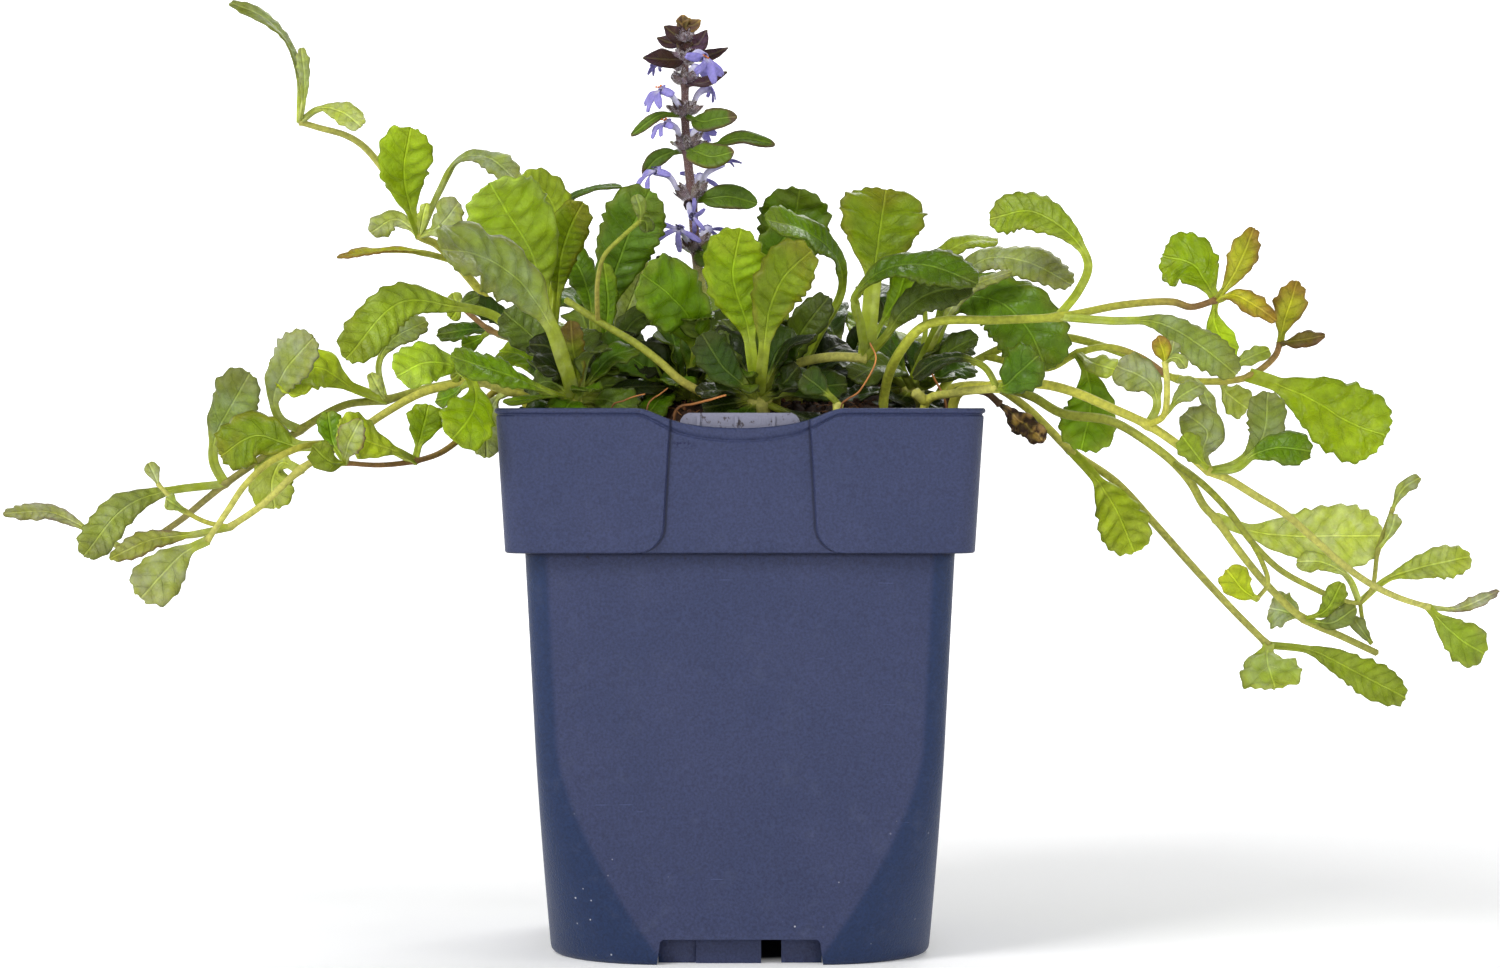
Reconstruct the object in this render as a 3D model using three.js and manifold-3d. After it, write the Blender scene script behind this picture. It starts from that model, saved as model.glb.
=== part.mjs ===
// A potted bugleweed: a square nursery pot, its soil, one flower spike, leaf rosettes and leafy runners.
// Millimetres, +Z up. The origin is on the ground, under the middle of the pot. The front faces -Y.
import * as THREE from 'three';
import { mergeVertices } from 'three/addons/utils/BufferGeometryUtils.js';
import Module from 'manifold-3d';

const wasm = await Module();
wasm.setup();

// Driving sizes of the pot
const RIM_HEIGHT = 126.3;
const RIM_HALF = 55;
const WALL = 1.2;
const FOOT_HALF = 44;
const SHOULDER_HALF = 48.7;
const COLLAR_BOTTOM = 93.6;
const COLLAR_HALF = 52;
const CHEEK = 1;
const CHEEK_ROUND = 6;
const FLOOR_UNDER = 5.9;
const FLOOR_TOP = 7.2;
const CLEARANCE = 0.32;

// The plant's points are [u, v, depth]. u and v are where a point shows in the front view, to the right and
// down, seen by an eye at rim height. One unit is 0.2375 mm at the pot's middle plane. The depth is in
// millimetres, towards the back.
const EYE_DISTANCE = 950;
const VIEW_SCALE = 4000;
const MIDDLE_U = 740;
const RIM_V = 408;

function seen([u, v, depth]) {
  const scale = (EYE_DISTANCE + depth) / VIEW_SCALE;
  return new THREE.Vector3((u - MIDDLE_U) * scale, depth, RIM_HEIGHT + (RIM_V - v) * scale);
}

const smooth = (low, high, x) => THREE.MathUtils.smoothstep(x, low, high);
const mix = THREE.MathUtils.lerp;

// Closed bodies

function bodyFrom(points, triangles) {
  const geometry = new THREE.BufferGeometry();
  geometry.setAttribute('position', new THREE.Float32BufferAttribute(points.flatMap((p) => p.toArray()), 3));
  geometry.setIndex(triangles.flat());
  return geometry;
}

function solid(geometry) {
  const bare = geometry.clone();
  bare.deleteAttribute('normal');
  bare.deleteAttribute('uv');
  const merged = mergeVertices(bare, 1e-4);
  return new wasm.Manifold(new wasm.Mesh({
    numProp: 3,
    vertProperties: new Float32Array(merged.attributes.position.array),
    triVerts: new Uint32Array(merged.index.array),
  }));
}

function geometryOf(manifold) {
  const { vertProperties, triVerts } = manifold.getMesh();
  const geometry = new THREE.BufferGeometry();
  geometry.setAttribute('position', new THREE.BufferAttribute(vertProperties, 3));
  geometry.setIndex(new THREE.BufferAttribute(triVerts, 1));
  geometry.computeVertexNormals();
  return geometry;
}

function fuse(geometries) {
  return geometries.map(solid).reduce((whole, next) => whole.add(next));
}

// Rings of equal count become a closed body. An end ring of one point is an apex; any other end is a fan.
// A mirrored body splits its later columns the other way, so that a thin blade's two faces match.
function loft(rings, mirrored = false) {
  const points = rings.flat();
  const triangles = [];
  let start = 0;
  for (let level = 0; level + 1 < rings.length; level += 1) {
    const low = rings[level].length;
    const high = rings[level + 1].length;
    const next = start + low;
    for (let i = 0; i < Math.max(low, high); i += 1) {
      const j = (i + 1) % Math.max(low, high);
      if (low === 1) triangles.push([start, next + j, next + i]);
      else if (high === 1) triangles.push([start + i, start + j, next]);
      else if (mirrored && i >= low / 2) {
        triangles.push([start + i, start + j, next + i], [start + j, next + j, next + i]);
      } else triangles.push([start + i, start + j, next + j], [start + i, next + j, next + i]);
    }
    start = next;
  }
  for (let i = 1; i + 1 < rings[0].length; i += 1) triangles.push([0, i + 1, i]);
  for (let i = 1; i + 1 < rings.at(-1).length; i += 1) triangles.push([start, start + i, start + i + 1]);
  return bodyFrom(points, triangles);
}

// The pot

const CORNER_STEPS = 4;
const BODY_LEVELS = [10, 20, 32, 50];
const FOOT_RING = 2.6;
const DIP_STATIONS = [-23, -18.5, -14.5, -8, 0, 8, 14.5, 18.5, 23];
const bodyCorner = (z) => 4.8 + 22 * Math.max(0, 1 - z / 50) ** 1.6;
const bodyHalf = (z) => mix(FOOT_HALF, SHOULDER_HALF, z / COLLAR_BOTTOM);
const collarShare = (z) => (z - COLLAR_BOTTOM) / (RIM_HEIGHT - COLLAR_BOTTOM);
const collarHalf = (z) => mix(COLLAR_HALF, RIM_HALF - CHEEK, collarShare(z));

// The inner edge of a cheek leans out downwards and rounds into the collar's lower edge
function cheekEdge(z) {
  const up = z - COLLAR_BOTTOM;
  const lean = mix(17.2, 15.4, collarShare(z));
  const below = Math.max(0, CHEEK_ROUND - up);
  return lean + CHEEK_ROUND - Math.sqrt(CHEEK_ROUND ** 2 - below ** 2);
}

// How far the front rim dips at a distance from the pot's middle
function rimDip(x) {
  const across = Math.abs(x);
  return 3 * (1 - smooth(13, 23.5, across)) + 1.5 * Math.max(0, 1 - (across / 14.5) ** 2);
}

// One ring round the pot: each side's stations and its corner arc, counter-clockwise from the front left.
// A ring with no cheek edge has the corner arcs alone.
function potRing({ z, half, corner, edge = 0, raise = 0, dips = false }) {
  const ring = [];
  for (let side = 0; side < 4; side += 1) {
    const turn = (side * Math.PI) / 2;
    const front = side === 0;
    const edges = [-edge - 0.6, -edge, edge, edge + 0.6].concat(front ? DIP_STATIONS : []);
    const stations = edge > 0 ? edges.sort((a, b) => a - b) : [];
    const outline = stations.map((x) => [x, -half - (Math.abs(x) > edge + 0.3 ? raise : 0), x]);
    for (let step = 0; step <= CORNER_STEPS; step += 1) {
      const angle = (step / CORNER_STEPS) * (Math.PI / 2);
      const centre = half - corner;
      const radius = corner + raise;
      outline.push([centre + radius * Math.sin(angle), -centre - radius * Math.cos(angle), half]);
    }
    for (const [x, y, along] of outline) {
      const height = dips && front ? z - rimDip(along) : z;
      ring.push(new THREE.Vector3(x, y, height).applyAxisAngle(new THREE.Vector3(0, 0, 1), turn));
    }
  }
  return ring;
}

function bodyRing(z, inset = 0) {
  return potRing({ z, half: bodyHalf(z) - inset, corner: bodyCorner(z) - inset });
}

function collarRing(z, options = {}) {
  return potRing({ z, half: collarHalf(z), corner: 4.2, edge: cheekEdge(z), raise: CHEEK, ...options });
}

function innerCollarRing(z, options = {}) {
  return potRing({ z, half: collarHalf(z) - WALL, corner: 3, edge: 16, ...options });
}

function soilCollarRing(z) {
  return potRing({ z, half: collarHalf(z) - WALL - CLEARANCE, corner: 3 - CLEARANCE });
}

function box(x0, x1, y0, y1, z0, z1) {
  return new THREE.BoxGeometry(x1 - x0, y1 - y0, z1 - z0)
    .translate((x0 + x1) / 2, (y0 + y1) / 2, (z0 + z1) / 2);
}

function fourSides(makeGeometry) {
  return [0, 1, 2, 3].map((side) => makeGeometry().rotateZ((side * Math.PI) / 2));
}

// The arch cut through the foot in the middle of each side
function footNotch() {
  const half = 19;
  const arch = new THREE.Shape();
  arch.moveTo(-half, -1);
  arch.lineTo(half, -1);
  arch.lineTo(half - 0.9, FLOOR_UNDER - 0.6);
  arch.lineTo(half - 1.5, FLOOR_UNDER);
  arch.lineTo(-half + 1.5, FLOOR_UNDER);
  arch.lineTo(-half + 0.9, FLOOR_UNDER - 0.6);
  arch.closePath();
  const cut = new THREE.ExtrudeGeometry(arch, { depth: 6, bevelEnabled: false });
  return cut.rotateX(Math.PI / 2).translate(0, -40.4, 0);
}

// The three panels that stand behind each notch, with a drainage gap between two of them
function notchPanels() {
  const rise = FLOOR_UNDER + 0.4;
  return [
    box(-18.6, -9.4, -39.2, -37.8, 0, rise),
    box(-10, 4.8, -40, -38.2, 0, rise),
    box(9.4, 18.6, -39.2, -37.8, 0, rise),
  ];
}

function labelTongue() {
  const z0 = 101;
  const tongue = new THREE.Shape();
  tongue.moveTo(-13.8, z0);
  tongue.lineTo(13.8, z0);
  tongue.lineTo(13.8, RIM_HEIGHT - 4);
  tongue.lineTo(11.6, RIM_HEIGHT - 1.1);
  tongue.lineTo(-11.6, RIM_HEIGHT - 1.1);
  tongue.lineTo(-13.8, RIM_HEIGHT - 4);
  tongue.closePath();
  const plate = new THREE.ExtrudeGeometry(tongue, { depth: 1.1, bevelEnabled: false });
  const ledge = box(-13.8, 13.8, -51.8, -49.4, z0 - 1.2, z0 + 0.2);
  return [plate.rotateX(Math.PI / 2).translate(0, -48.9, 0), ledge];
}

// The tapered body and its floor, up to where the collar steps out
function potBody() {
  const inner = bodyCorner(0) - FOOT_RING;
  return loft([
    [new THREE.Vector3(0, 0, FLOOR_UNDER)],
    potRing({ z: FLOOR_UNDER, half: FOOT_HALF - FOOT_RING, corner: inner }),
    potRing({ z: 0, half: FOOT_HALF - FOOT_RING, corner: inner }),
    potRing({ z: 0, half: FOOT_HALF - 0.8, corner: bodyCorner(0) - 0.8 }),
    bodyRing(1.6),
    ...BODY_LEVELS.map((z) => bodyRing(z)),
    bodyRing(COLLAR_BOTTOM + WALL),
    bodyRing(COLLAR_BOTTOM + WALL, WALL),
    ...BODY_LEVELS.toReversed().map((z) => bodyRing(z, WALL)),
    bodyRing(FLOOR_TOP, WALL),
    [new THREE.Vector3(0, 0, FLOOR_TOP)],
  ]);
}

// The collar closes on itself: its rings run from the shoulder out, up to the lip, and down inside
function collarBody() {
  const shoulder = (z) => potRing({ z, half: SHOULDER_HALF - WALL / 2, corner: 4.2, edge: 16 });
  const rings = [
    shoulder(COLLAR_BOTTOM),
    ...[0, 1.2, 3.4].map((up) => collarRing(COLLAR_BOTTOM + up)),
    collarRing(COLLAR_BOTTOM + CHEEK_ROUND),
    collarRing(RIM_HEIGHT, { dips: true }),
    innerCollarRing(RIM_HEIGHT, { dips: true }),
    innerCollarRing(COLLAR_BOTTOM + WALL),
    shoulder(COLLAR_BOTTOM + WALL),
  ];
  const count = rings[0].length;
  const triangles = [];
  rings.forEach((ring, level) => {
    const low = level * count;
    const high = ((level + 1) % rings.length) * count;
    for (let i = 0; i < count; i += 1) {
      const j = (i + 1) % count;
      triangles.push([low + i, low + j, high + j], [low + i, high + j, high + i]);
    }
  });
  return bodyFrom(rings.flat(), triangles);
}

function potSolid() {
  const tongue = labelTongue();
  const panels = [0, 1, 2, 3].flatMap((side) => (
    notchPanels().map((panel) => panel.rotateZ((side * Math.PI) / 2))));
  let pot = fuse([potBody(), collarBody()]);
  for (const notch of fourSides(footNotch)) pot = pot.subtract(solid(notch));
  for (const piece of [...panels, ...tongue]) pot = pot.add(solid(piece));
  const slots = fourSides(() => box(5.4, 8.8, -36.5, -28, -1, FLOOR_TOP + 1));
  const drains = fourSides(() => new THREE.CylinderGeometry(3, 3, 9, 10).rotateX(Math.PI / 2)
    .translate(17, -17, FLOOR_UNDER));
  for (const cut of [...slots, ...drains]) pot = pot.subtract(solid(cut));
  return pot;
}

// The soil

// The surface sinks at the walls and heaps above the rim in the middle, with a mound to the right
function soilHeight(x, y) {
  const fromWall = 52.5 - Math.max(Math.abs(x), Math.abs(y));
  const mound = 6 * Math.exp(-(((x - 37) / 9) ** 2) - ((y - 14) / 13) ** 2);
  const lumps = 0.8 * Math.sin(0.55 * x + 1.3) * Math.cos(0.47 * y - 0.6)
    + 0.4 * Math.sin(1.1 * x - 0.7 * y);
  return 119.6 + 7.2 * smooth(0, 26, fromWall) + (mound + lumps) * smooth(0, 8, fromWall);
}

function soilBody() {
  const gap = CLEARANCE;
  const ledge = COLLAR_BOTTOM + WALL + gap;
  const edge = soilCollarRing(RIM_HEIGHT - 8);
  const share = (ring, part) => ring.map(({ x, y }) => (
    new THREE.Vector3(x * part, y * part, soilHeight(x * part, y * part))));
  return loft([
    [new THREE.Vector3(0, 0, FLOOR_TOP + gap)],
    ...[FLOOR_TOP + gap, ...BODY_LEVELS, ledge].map((z) => bodyRing(z, WALL + gap)),
    soilCollarRing(ledge),
    ...[1, 0.84, 0.62, 0.36].map((part) => share(edge, part)),
    [new THREE.Vector3(0, 0, soilHeight(0, 0))],
  ]);
}

// Stems and blades

// A stem with a ring at each of its points, thinning from one half-width to the other. The stems of this
// plant are square, so four sides are enough.
function stem(points, from, to, sides = 4) {
  const curve = new THREE.CatmullRomCurve3(points, false, 'centripetal');
  const last = points.length - 1;
  let normal = new THREE.Vector3(1, 0.3, 0.2);
  return loft(points.map((centre, i) => {
    const tangent = curve.getTangent(i / last);
    normal = normal.clone().addScaledVector(tangent, -normal.dot(tangent)).normalize();
    const binormal = new THREE.Vector3().crossVectors(tangent, normal);
    const radius = mix(from, to, i / last);
    return Array.from({ length: sides }, (_, side) => {
      const angle = (side / sides) * 2 * Math.PI;
      return centre.clone()
        .addScaledVector(normal, radius * Math.cos(angle))
        .addScaledVector(binormal, radius * Math.sin(angle));
    });
  }));
}

// A leaf's outline: a narrow stalk, then a blade that is widest beyond its middle, with crenate edges
function halfWidths({ wide, stalk, teeth }) {
  const half = wide / 2;
  const narrow = Math.min(half * 0.45, Math.max(0.55, wide * 0.11));
  if (teeth === 0) return [[0, narrow], [mix(stalk, 1, 0.5), half], [1, half * 0.14]];
  const widths = [[0, narrow * 1.2]];
  const steps = teeth * 2 + 1;
  for (let step = 0; step < steps; step += 1) {
    const along = (step + 0.5) / steps;
    const round = along ** 1.1 * (1.02 - along) ** 0.45 * 2.55;
    const notch = step % 2 === 1 ? 1.04 : 0.84;
    widths.push([mix(stalk, 1, along), Math.max(narrow, half * round * notch)]);
  }
  return widths.concat([[1, half * 0.14]]);
}

// The blade's upper side faces up from the viewer by face degrees, turned to the right by side degrees
function bladeFrame(tangent, face, side) {
  const up = THREE.MathUtils.degToRad(face);
  const turn = THREE.MathUtils.degToRad(side);
  const toward = new THREE.Vector3(
    Math.cos(up) * Math.sin(turn),
    -Math.cos(up) * Math.cos(turn),
    Math.sin(up),
  );
  const across = new THREE.Vector3().crossVectors(tangent, toward).normalize();
  const upper = new THREE.Vector3().crossVectors(across, tangent).normalize();
  return { across, upper };
}

// One leaf, folded along its midrib. It is thickest there and thins to its edges, so each section has four
// points: an edge, the midrib's upper side, the other edge and the midrib's under side. The first section is
// small enough to lie inside a stem whose half-width is seat.
function blade(points, leaf, seat) {
  const { face = 25, side = 0, fold = 16, stalk = 0.28, teeth = 3, wide, thick = 1.1 } = leaf;
  const curve = new THREE.CatmullRomCurve3(points, false, 'centripetal');
  const lift = Math.sin(THREE.MathUtils.degToRad(fold));
  const spread = Math.cos(THREE.MathUtils.degToRad(fold));
  const count = Math.min(teeth, Math.round(wide / 5));
  return loft(halfWidths({ wide, stalk, teeth: count }).map(([share, outline], index) => {
    const centre = curve.getPointAt(share);
    const { across, upper } = bladeFrame(curve.getTangentAt(share), face, side);
    const half = index === 0 ? Math.min(outline, seat * 0.5) : outline;
    const depth = index === 0 ? seat * 0.5 : mix(1.4, thick, smooth(0, stalk, share)) / 2;
    const wave = share > stalk && share < 1 ? half * 0.12 * (index % 2 ? 1 : -1) : 0;
    const edgePoint = (edge) => centre.clone()
      .addScaledVector(across, edge * half * spread)
      .addScaledVector(upper, half * lift + edge * wave);
    const rib = (layer) => centre.clone().addScaledVector(upper, layer * depth);
    return [edgePoint(-1), rib(1), edgePoint(1), rib(-1)];
  }), true);
}

// The plant's parts, each grown from one root in the soil. A stem's first point is where it leaves the
// soil. A twig starts at a point of its parent stem, and so does each leaf, by the point's index.
const PLANTS = [
  {
    "name": "runner_left_high",
    "stems": {
      "main": {
        "way": [[532, 398, 20], [496, 380, 24], [430, 388, 24], [385, 400, 20], [345, 405, 16],
          [300, 430, 12],
          [262, 458, 9], [225, 484, 6], [205, 500, 8], [178, 522, 10], [140, 545, 9], [121, 547, 8]],
        "from": 1.1, "to": 0.7,
      },
    },
    "leaves": [
      { "at": 7, "way": [[165, 492, 2], [125, 508, -2], [84, 556, -6]],
        "wide": 9.5, "face": 25, "teeth": 4 },
      { "at": 7, "way": [[214, 462, 5], [216, 436, 3], [232, 405, -1], [250, 374, -5]],
        "wide": 12, "face": 15 },
      { "at": 11, "way": [[92, 532, 10], [50, 513, 12], [3, 514, 6]], "wide": 6.5, "face": 45, "teeth": 5 },
      { "at": 5, "way": [[281, 420, 9], [274, 400, 6], [286, 370, 1], [314, 338, -4]],
        "wide": 11.5, "face": 20 },
      { "at": 3, "way": [[352, 388, 15], [316, 368, 9], [277, 386, 3]],
        "wide": 14, "face": 30, "teeth": 4 },
      { "at": 3, "way": [[379, 364, 24], [393, 340, 26], [427, 322, 26]],
        "wide": 8, "face": 40, "stalk": 0.4 },
      { "at": 3, "way": [[377, 386, 12], [371, 373, 10]], "wide": 3.5, "face": 10, "teeth": 2 },
    ],
  },
  {
    "name": "runner_left_low",
    "stems": {
      "main": {
        "way": [[524, 398, -20], [494, 384, -23], [430, 390, -26], [385, 413, -28], [340, 445, -30],
          [300, 470, -32], [262, 505, -34], [230, 527, -36]],
        "from": 1.15, "to": 0.8,
      },
      "bud_twig": {
        "on": "main", "at": 7,
        "way": [[206, 522, -33], [185, 511, -32], [170, 497, -31], [158, 484, -30]],
        "from": 0.6, "to": 0.5,
      },
      "front_twig": {
        "on": "main", "at": 4,
        "way": [[305, 446, -40], [270, 462, -44], [245, 485, -47], [228, 510, -50], [207, 541, -52]],
        "from": 0.85, "to": 0.7,
      },
    },
    "leaves": [
      { "at": 7, "way": [[190, 535, -38], [150, 541, -42], [110, 559, -46]],
        "wide": 7, "face": 35, "teeth": 5 },
      { "at": 4, "way": [[295, 446, -26], [255, 436, -24], [221, 456, -22]], "wide": 13, "face": 20 },
      { "at": 5, "way": [[280, 464, -25], [272, 482, -24], [275, 508, -24]],
        "wide": 10.5, "face": 10, "stalk": 0.2 },
      { "on": "bud_twig", "at": 4, "way": [[155, 476, -30], [149, 463, -30]],
        "wide": 3.4, "stalk": 0, "teeth": 2 },
      { "on": "bud_twig", "at": 2, "way": [[176, 506, -36], [166, 499, -39]], "wide": 4, "teeth": 2 },
      { "on": "front_twig", "at": 5, "way": [[184, 553, -55], [141, 598, -60]],
        "wide": 11.5, "face": 5, "teeth": 5, "stalk": 0.15 },
    ],
  },
  {
    "name": "runner_left_rim",
    "stems": {
      "main": {
        "way": [[530, 400, -6], [494, 392, -10], [477, 424, -15], [460, 439, -18], [440, 453, -22],
          [415, 461, -27],
          [380, 465, -33], [345, 463, -38]],
        "from": 0.85, "to": 0.6,
      },
    },
    "leaves": [
      { "at": 5, "way": [[397, 452, -33], [366, 441, -38], [339, 425, -43]], "wide": 10.5, "face": 25 },
      { "at": 7, "way": [[333, 442, -36], [328, 412, -34]], "wide": 6, "face": 20, "teeth": 2 },
      { "at": 7, "way": [[349, 443, -46], [361, 420, -50]],
        "wide": 7.5, "face": 10, "teeth": 3, "stalk": 0.15 },
      { "at": 7, "way": [[330, 462, -43], [313, 446, -47]],
        "wide": 6.5, "face": 15, "teeth": 3, "stalk": 0.1 },
      { "at": 5, "way": [[419, 444, -23], [424, 425, -21], [429, 405, -20]], "wide": 8.5, "face": 15 },
    ],
  },
  {
    "name": "runner_left_bright",
    "stems": {
      "main": {
        "way": [[530, 400, -40], [508, 392, -42], [490, 386, -44], [470, 378, -47]],
        "from": 0.9, "to": 0.8,
      },
    },
    "leaves": [
      { "at": 3, "way": [[452, 366, -52], [426, 363, -57], [397, 376, -62]],
        "wide": 10.5, "face": 15, "stalk": 0.15 },
      { "at": 3, "way": [[476, 398, -52], [468, 420, -58], [452, 439, -62]],
        "wide": 12.5, "face": 5, "side": 10, "stalk": 0.12 },
      { "at": 3, "way": [[461, 374, -44], [452, 380, -43]], "wide": 3, "face": 20, "stalk": 0, "teeth": 2 },
      { "at": 1, "way": [[494, 403, -33], [487, 425, -31], [487, 457, -30]],
        "wide": 7, "face": 10, "teeth": 2 },
      { "at": 3, "way": [[452, 396, -40], [436, 401, -38]], "wide": 4.5, "face": 35, "teeth": 2 },
    ],
  },
  {
    "name": "runner_high_left",
    "stems": {
      "main": {
        "way": [[550, 396, 32], [512, 335, 40], [475, 285, 41], [452, 259, 38], [436, 244, 36],
          [420, 236, 34],
          [415, 222, 34], [400, 197, 33], [380, 165, 31], [362, 145, 30], [345, 135, 29], [320, 128, 28],
          [300, 122, 27]],
        "from": 1.2, "to": 0.75,
      },
    },
    "leaves": [
      { "at": 5, "way": [[410, 207, 28], [404, 172, 23], [411, 128, 17]],
        "wide": 13.5, "face": 10, "teeth": 4, "stalk": 0.2 },
      { "at": 5, "way": [[440, 190, 40], [456, 162, 38], [487, 158, 32], [518, 183, 26]],
        "wide": 7.5, "face": 50, "stalk": 0.4 },
      { "at": 5, "way": [[395, 220, 38], [371, 233, 36]],
        "wide": 6.5, "face": 30, "stalk": 0.15, "teeth": 3 },
      { "at": 5, "way": [[440, 226, 26], [459, 203, 20]], "wide": 8.5, "face": 15, "stalk": 0.2 },
      { "at": 5, "way": [[423, 218, 28], [427, 203, 26]], "wide": 3, "face": 10, "stalk": 0, "teeth": 2 },
      { "at": 3, "way": [[423, 252, 33], [385, 251, 31], [337, 257, 30]],
        "wide": 6.5, "face": 70, "teeth": 4 },
      { "at": 12, "way": [[300, 98, 26], [297, 68, 27], [284, 38, 29], [262, 17, 30], [230, 3, 31]],
        "wide": 4.6, "side": 62, "face": 5, "teeth": 5, "stalk": 0.1 },
      { "at": 12, "way": [[304, 98, 22], [304, 76, 20], [301, 48, 19]],
        "wide": 3.4, "side": 30, "face": 0, "teeth": 3 },
      { "at": 12, "way": [[318, 109, 24], [341, 112, 20], [361, 127, 17]],
        "wide": 6.5, "face": 30, "teeth": 3 },
    ],
  },
  {
    "name": "runner_left_bud",
    "stems": {
      "main": {
        "way": [[560, 398, -16], [554, 365, -16], [540, 344, -14], [512, 338, -6], [490, 330, -1],
          [472, 316, 1],
          [461, 306, 2]],
        "from": 0.9, "to": 0.6,
      },
    },
    "leaves": [
      { "at": 6, "way": [[466, 302, 1], [479, 297, -1]], "wide": 4, "face": 10, "stalk": 0, "teeth": 2 },
      { "at": 6, "way": [[456, 302, 5], [453, 293, 5]], "wide": 4, "face": 10, "stalk": 0, "teeth": 2 },
      { "at": 6, "way": [[458, 310, 3], [451, 319, 2]], "wide": 3.5, "face": 10, "stalk": 0, "teeth": 2 },
      { "at": 3, "way": [[497, 318, -3], [450, 306, -9], [400, 303, -14], [346, 359, -20]],
        "wide": 11.5, "face": 20, "teeth": 4 },
      { "at": 3, "way": [[475, 330, 10], [437, 335, 13]], "wide": 5.5, "face": 40, "teeth": 3 },
      { "at": 3, "way": [[500, 318, 8], [470, 300, 8]], "wide": 6, "face": 30, "teeth": 3 },
      { "at": 4, "way": [[478, 340, 2], [462, 346, 0]], "wide": 4.2, "face": 25, "teeth": 2 },
    ],
  },
  {
    "name": "rosette_left_front",
    "stems": { "main": { "way": [[575, 402, -38]], "from": 2.6, "to": 2.2 } },
    "leaves": [
      { "way": [[564, 365, -46], [549, 324, -53], [516, 279, -61], [478, 256, -68], [441, 250, -76]],
        "wide": 18, "face": 32, "stalk": 0.36, "teeth": 5 },
      { "way": [[558, 372, -32], [540, 345, -29], [504, 312, -27]], "wide": 10, "face": 15, "stalk": 0.35 },
      { "way": [[577, 372, -42], [573, 347, -44], [571, 321, -46]],
        "wide": 5.4, "face": 15, "stalk": 0.1, "teeth": 4 },
      { "way": [[548, 392, -46], [514, 378, -54], [481, 367, -59], [452, 357, -63]],
        "wide": 9, "face": 38, "teeth": 3 },
      { "way": [[552, 396, -45], [528, 400, -47], [503, 402, -48]],
        "wide": 5, "face": 75, "stalk": 0.2, "teeth": 2 },
    ],
  },
  {
    "name": "rosette_left_middle",
    "stems": { "main": { "way": [[546, 398, 6]], "from": 2.4, "to": 2 } },
    "leaves": [
      { "way": [[541, 345, 3], [541, 295, -5], [530, 250, -15], [508, 214, -23], [490, 183, -31]],
        "wide": 20, "face": 5, "stalk": 0.4, "teeth": 5 },
      { "way": [[552, 300, 14], [560, 240, 14], [547, 195, 12], [519, 179, 10]],
        "wide": 10, "face": 10, "stalk": 0.5 },
      { "way": [[556, 310, 2], [561, 258, -4], [570, 228, -8], [583, 203, -12]],
        "wide": 9.5, "face": 5, "stalk": 0.45 },
      { "way": [[550, 290, 22], [550, 232, 22], [570, 199, 19], [597, 188, 17], [621, 187, 15]],
        "wide": 5.5, "face": 65, "stalk": 0.45, "teeth": 4 },
      { "way": [[536, 372, 12], [522, 356, 16], [500, 352, 20]], "wide": 9, "face": 40, "teeth": 2 },
      { "way": [[556, 376, 14], [570, 362, 19], [588, 356, 22]], "wide": 9, "face": 45, "teeth": 2 },
      { "way": [[532, 384, 2], [510, 376, -2], [488, 380, -6]], "wide": 7, "face": 50, "teeth": 2 },
    ],
  },
  {
    "name": "rosette_centre_left",
    "stems": { "main": { "way": [[598, 400, -16]], "from": 2.4, "to": 2 } },
    "leaves": [
      { "way": [[600, 350, -18], [604, 312, -20], [618, 264, -24], [632, 228, -29], [650, 191, -35]],
        "wide": 15, "face": 12, "stalk": 0.34, "teeth": 4 },
      { "way": [[594, 345, -6], [588, 292, 1], [576, 264, 5], [560, 250, 7]],
        "wide": 8, "face": 15, "stalk": 0.5 },
      { "way": [[604, 345, -24], [608, 302, -26], [604, 263, -28]], "wide": 5, "face": 10, "stalk": 0.4 },
      { "way": [[612, 350, -10], [632, 300, -8], [646, 262, -7]], "wide": 7.5, "face": 25, "stalk": 0.4 },
      { "way": [[592, 376, -8], [585, 352, -2], [578, 335, 2]], "wide": 11, "face": 30, "teeth": 2 },
    ],
  },
  {
    "name": "stolon_cream",
    "stems": {
      "main": {
        "way": [[714, 402, -36], [700, 392, -37], [680, 380, -38], [660, 362, -38], [635, 343, -37],
          [598, 321, -34],
          [566, 300, -31]],
        "from": 1.35, "to": 1,
      },
      "young_shoot": {
        "on": "main", "at": 5,
        "way": [[597, 300, -39], [598, 278, -42], [604, 256, -44], [622, 237, -46], [640, 221, -48]],
        "from": 0.7, "to": 0.55,
      },
    },
    "leaves": [
      { "on": "young_shoot", "at": 5, "way": [[640, 208, -50], [636, 195, -51]],
        "wide": 3.2, "face": 5, "stalk": 0, "teeth": 2 },
      { "on": "young_shoot", "at": 5, "way": [[646, 222, -50], [647, 232, -52]],
        "wide": 3.4, "face": 5, "stalk": 0, "teeth": 2 },
    ],
  },
  {
    "name": "rosette_centre",
    "stems": { "main": { "way": [[688, 400, -20]], "from": 2.4, "to": 2 } },
    "leaves": [
      { "way": [[698, 350, -24], [690, 320, -28], [670, 296, -33], [642, 274, -38]],
        "wide": 17, "face": 20, "stalk": 0.28, "teeth": 4 },
      { "way": [[664, 385, -26], [645, 368, -28], [622, 353, -29], [594, 345, -30]],
        "wide": 9, "face": 25, "teeth": 3 },
      { "way": [[692, 340, -18], [682, 290, -18], [656, 258, -18]], "wide": 6.5, "face": 30, "stalk": 0.4 },
      { "way": [[676, 376, -14], [668, 352, -8], [656, 336, -2]], "wide": 9, "face": 35, "teeth": 2 },
      { "way": [[676, 388, -26], [658, 386, -29], [634, 390, -31]], "wide": 7, "face": 60, "teeth": 2 },
    ],
  },
  {
    "name": "rosette_centre_right",
    "stems": { "main": { "way": [[759, 400, -38]], "from": 2.8, "to": 2.4 } },
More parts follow.
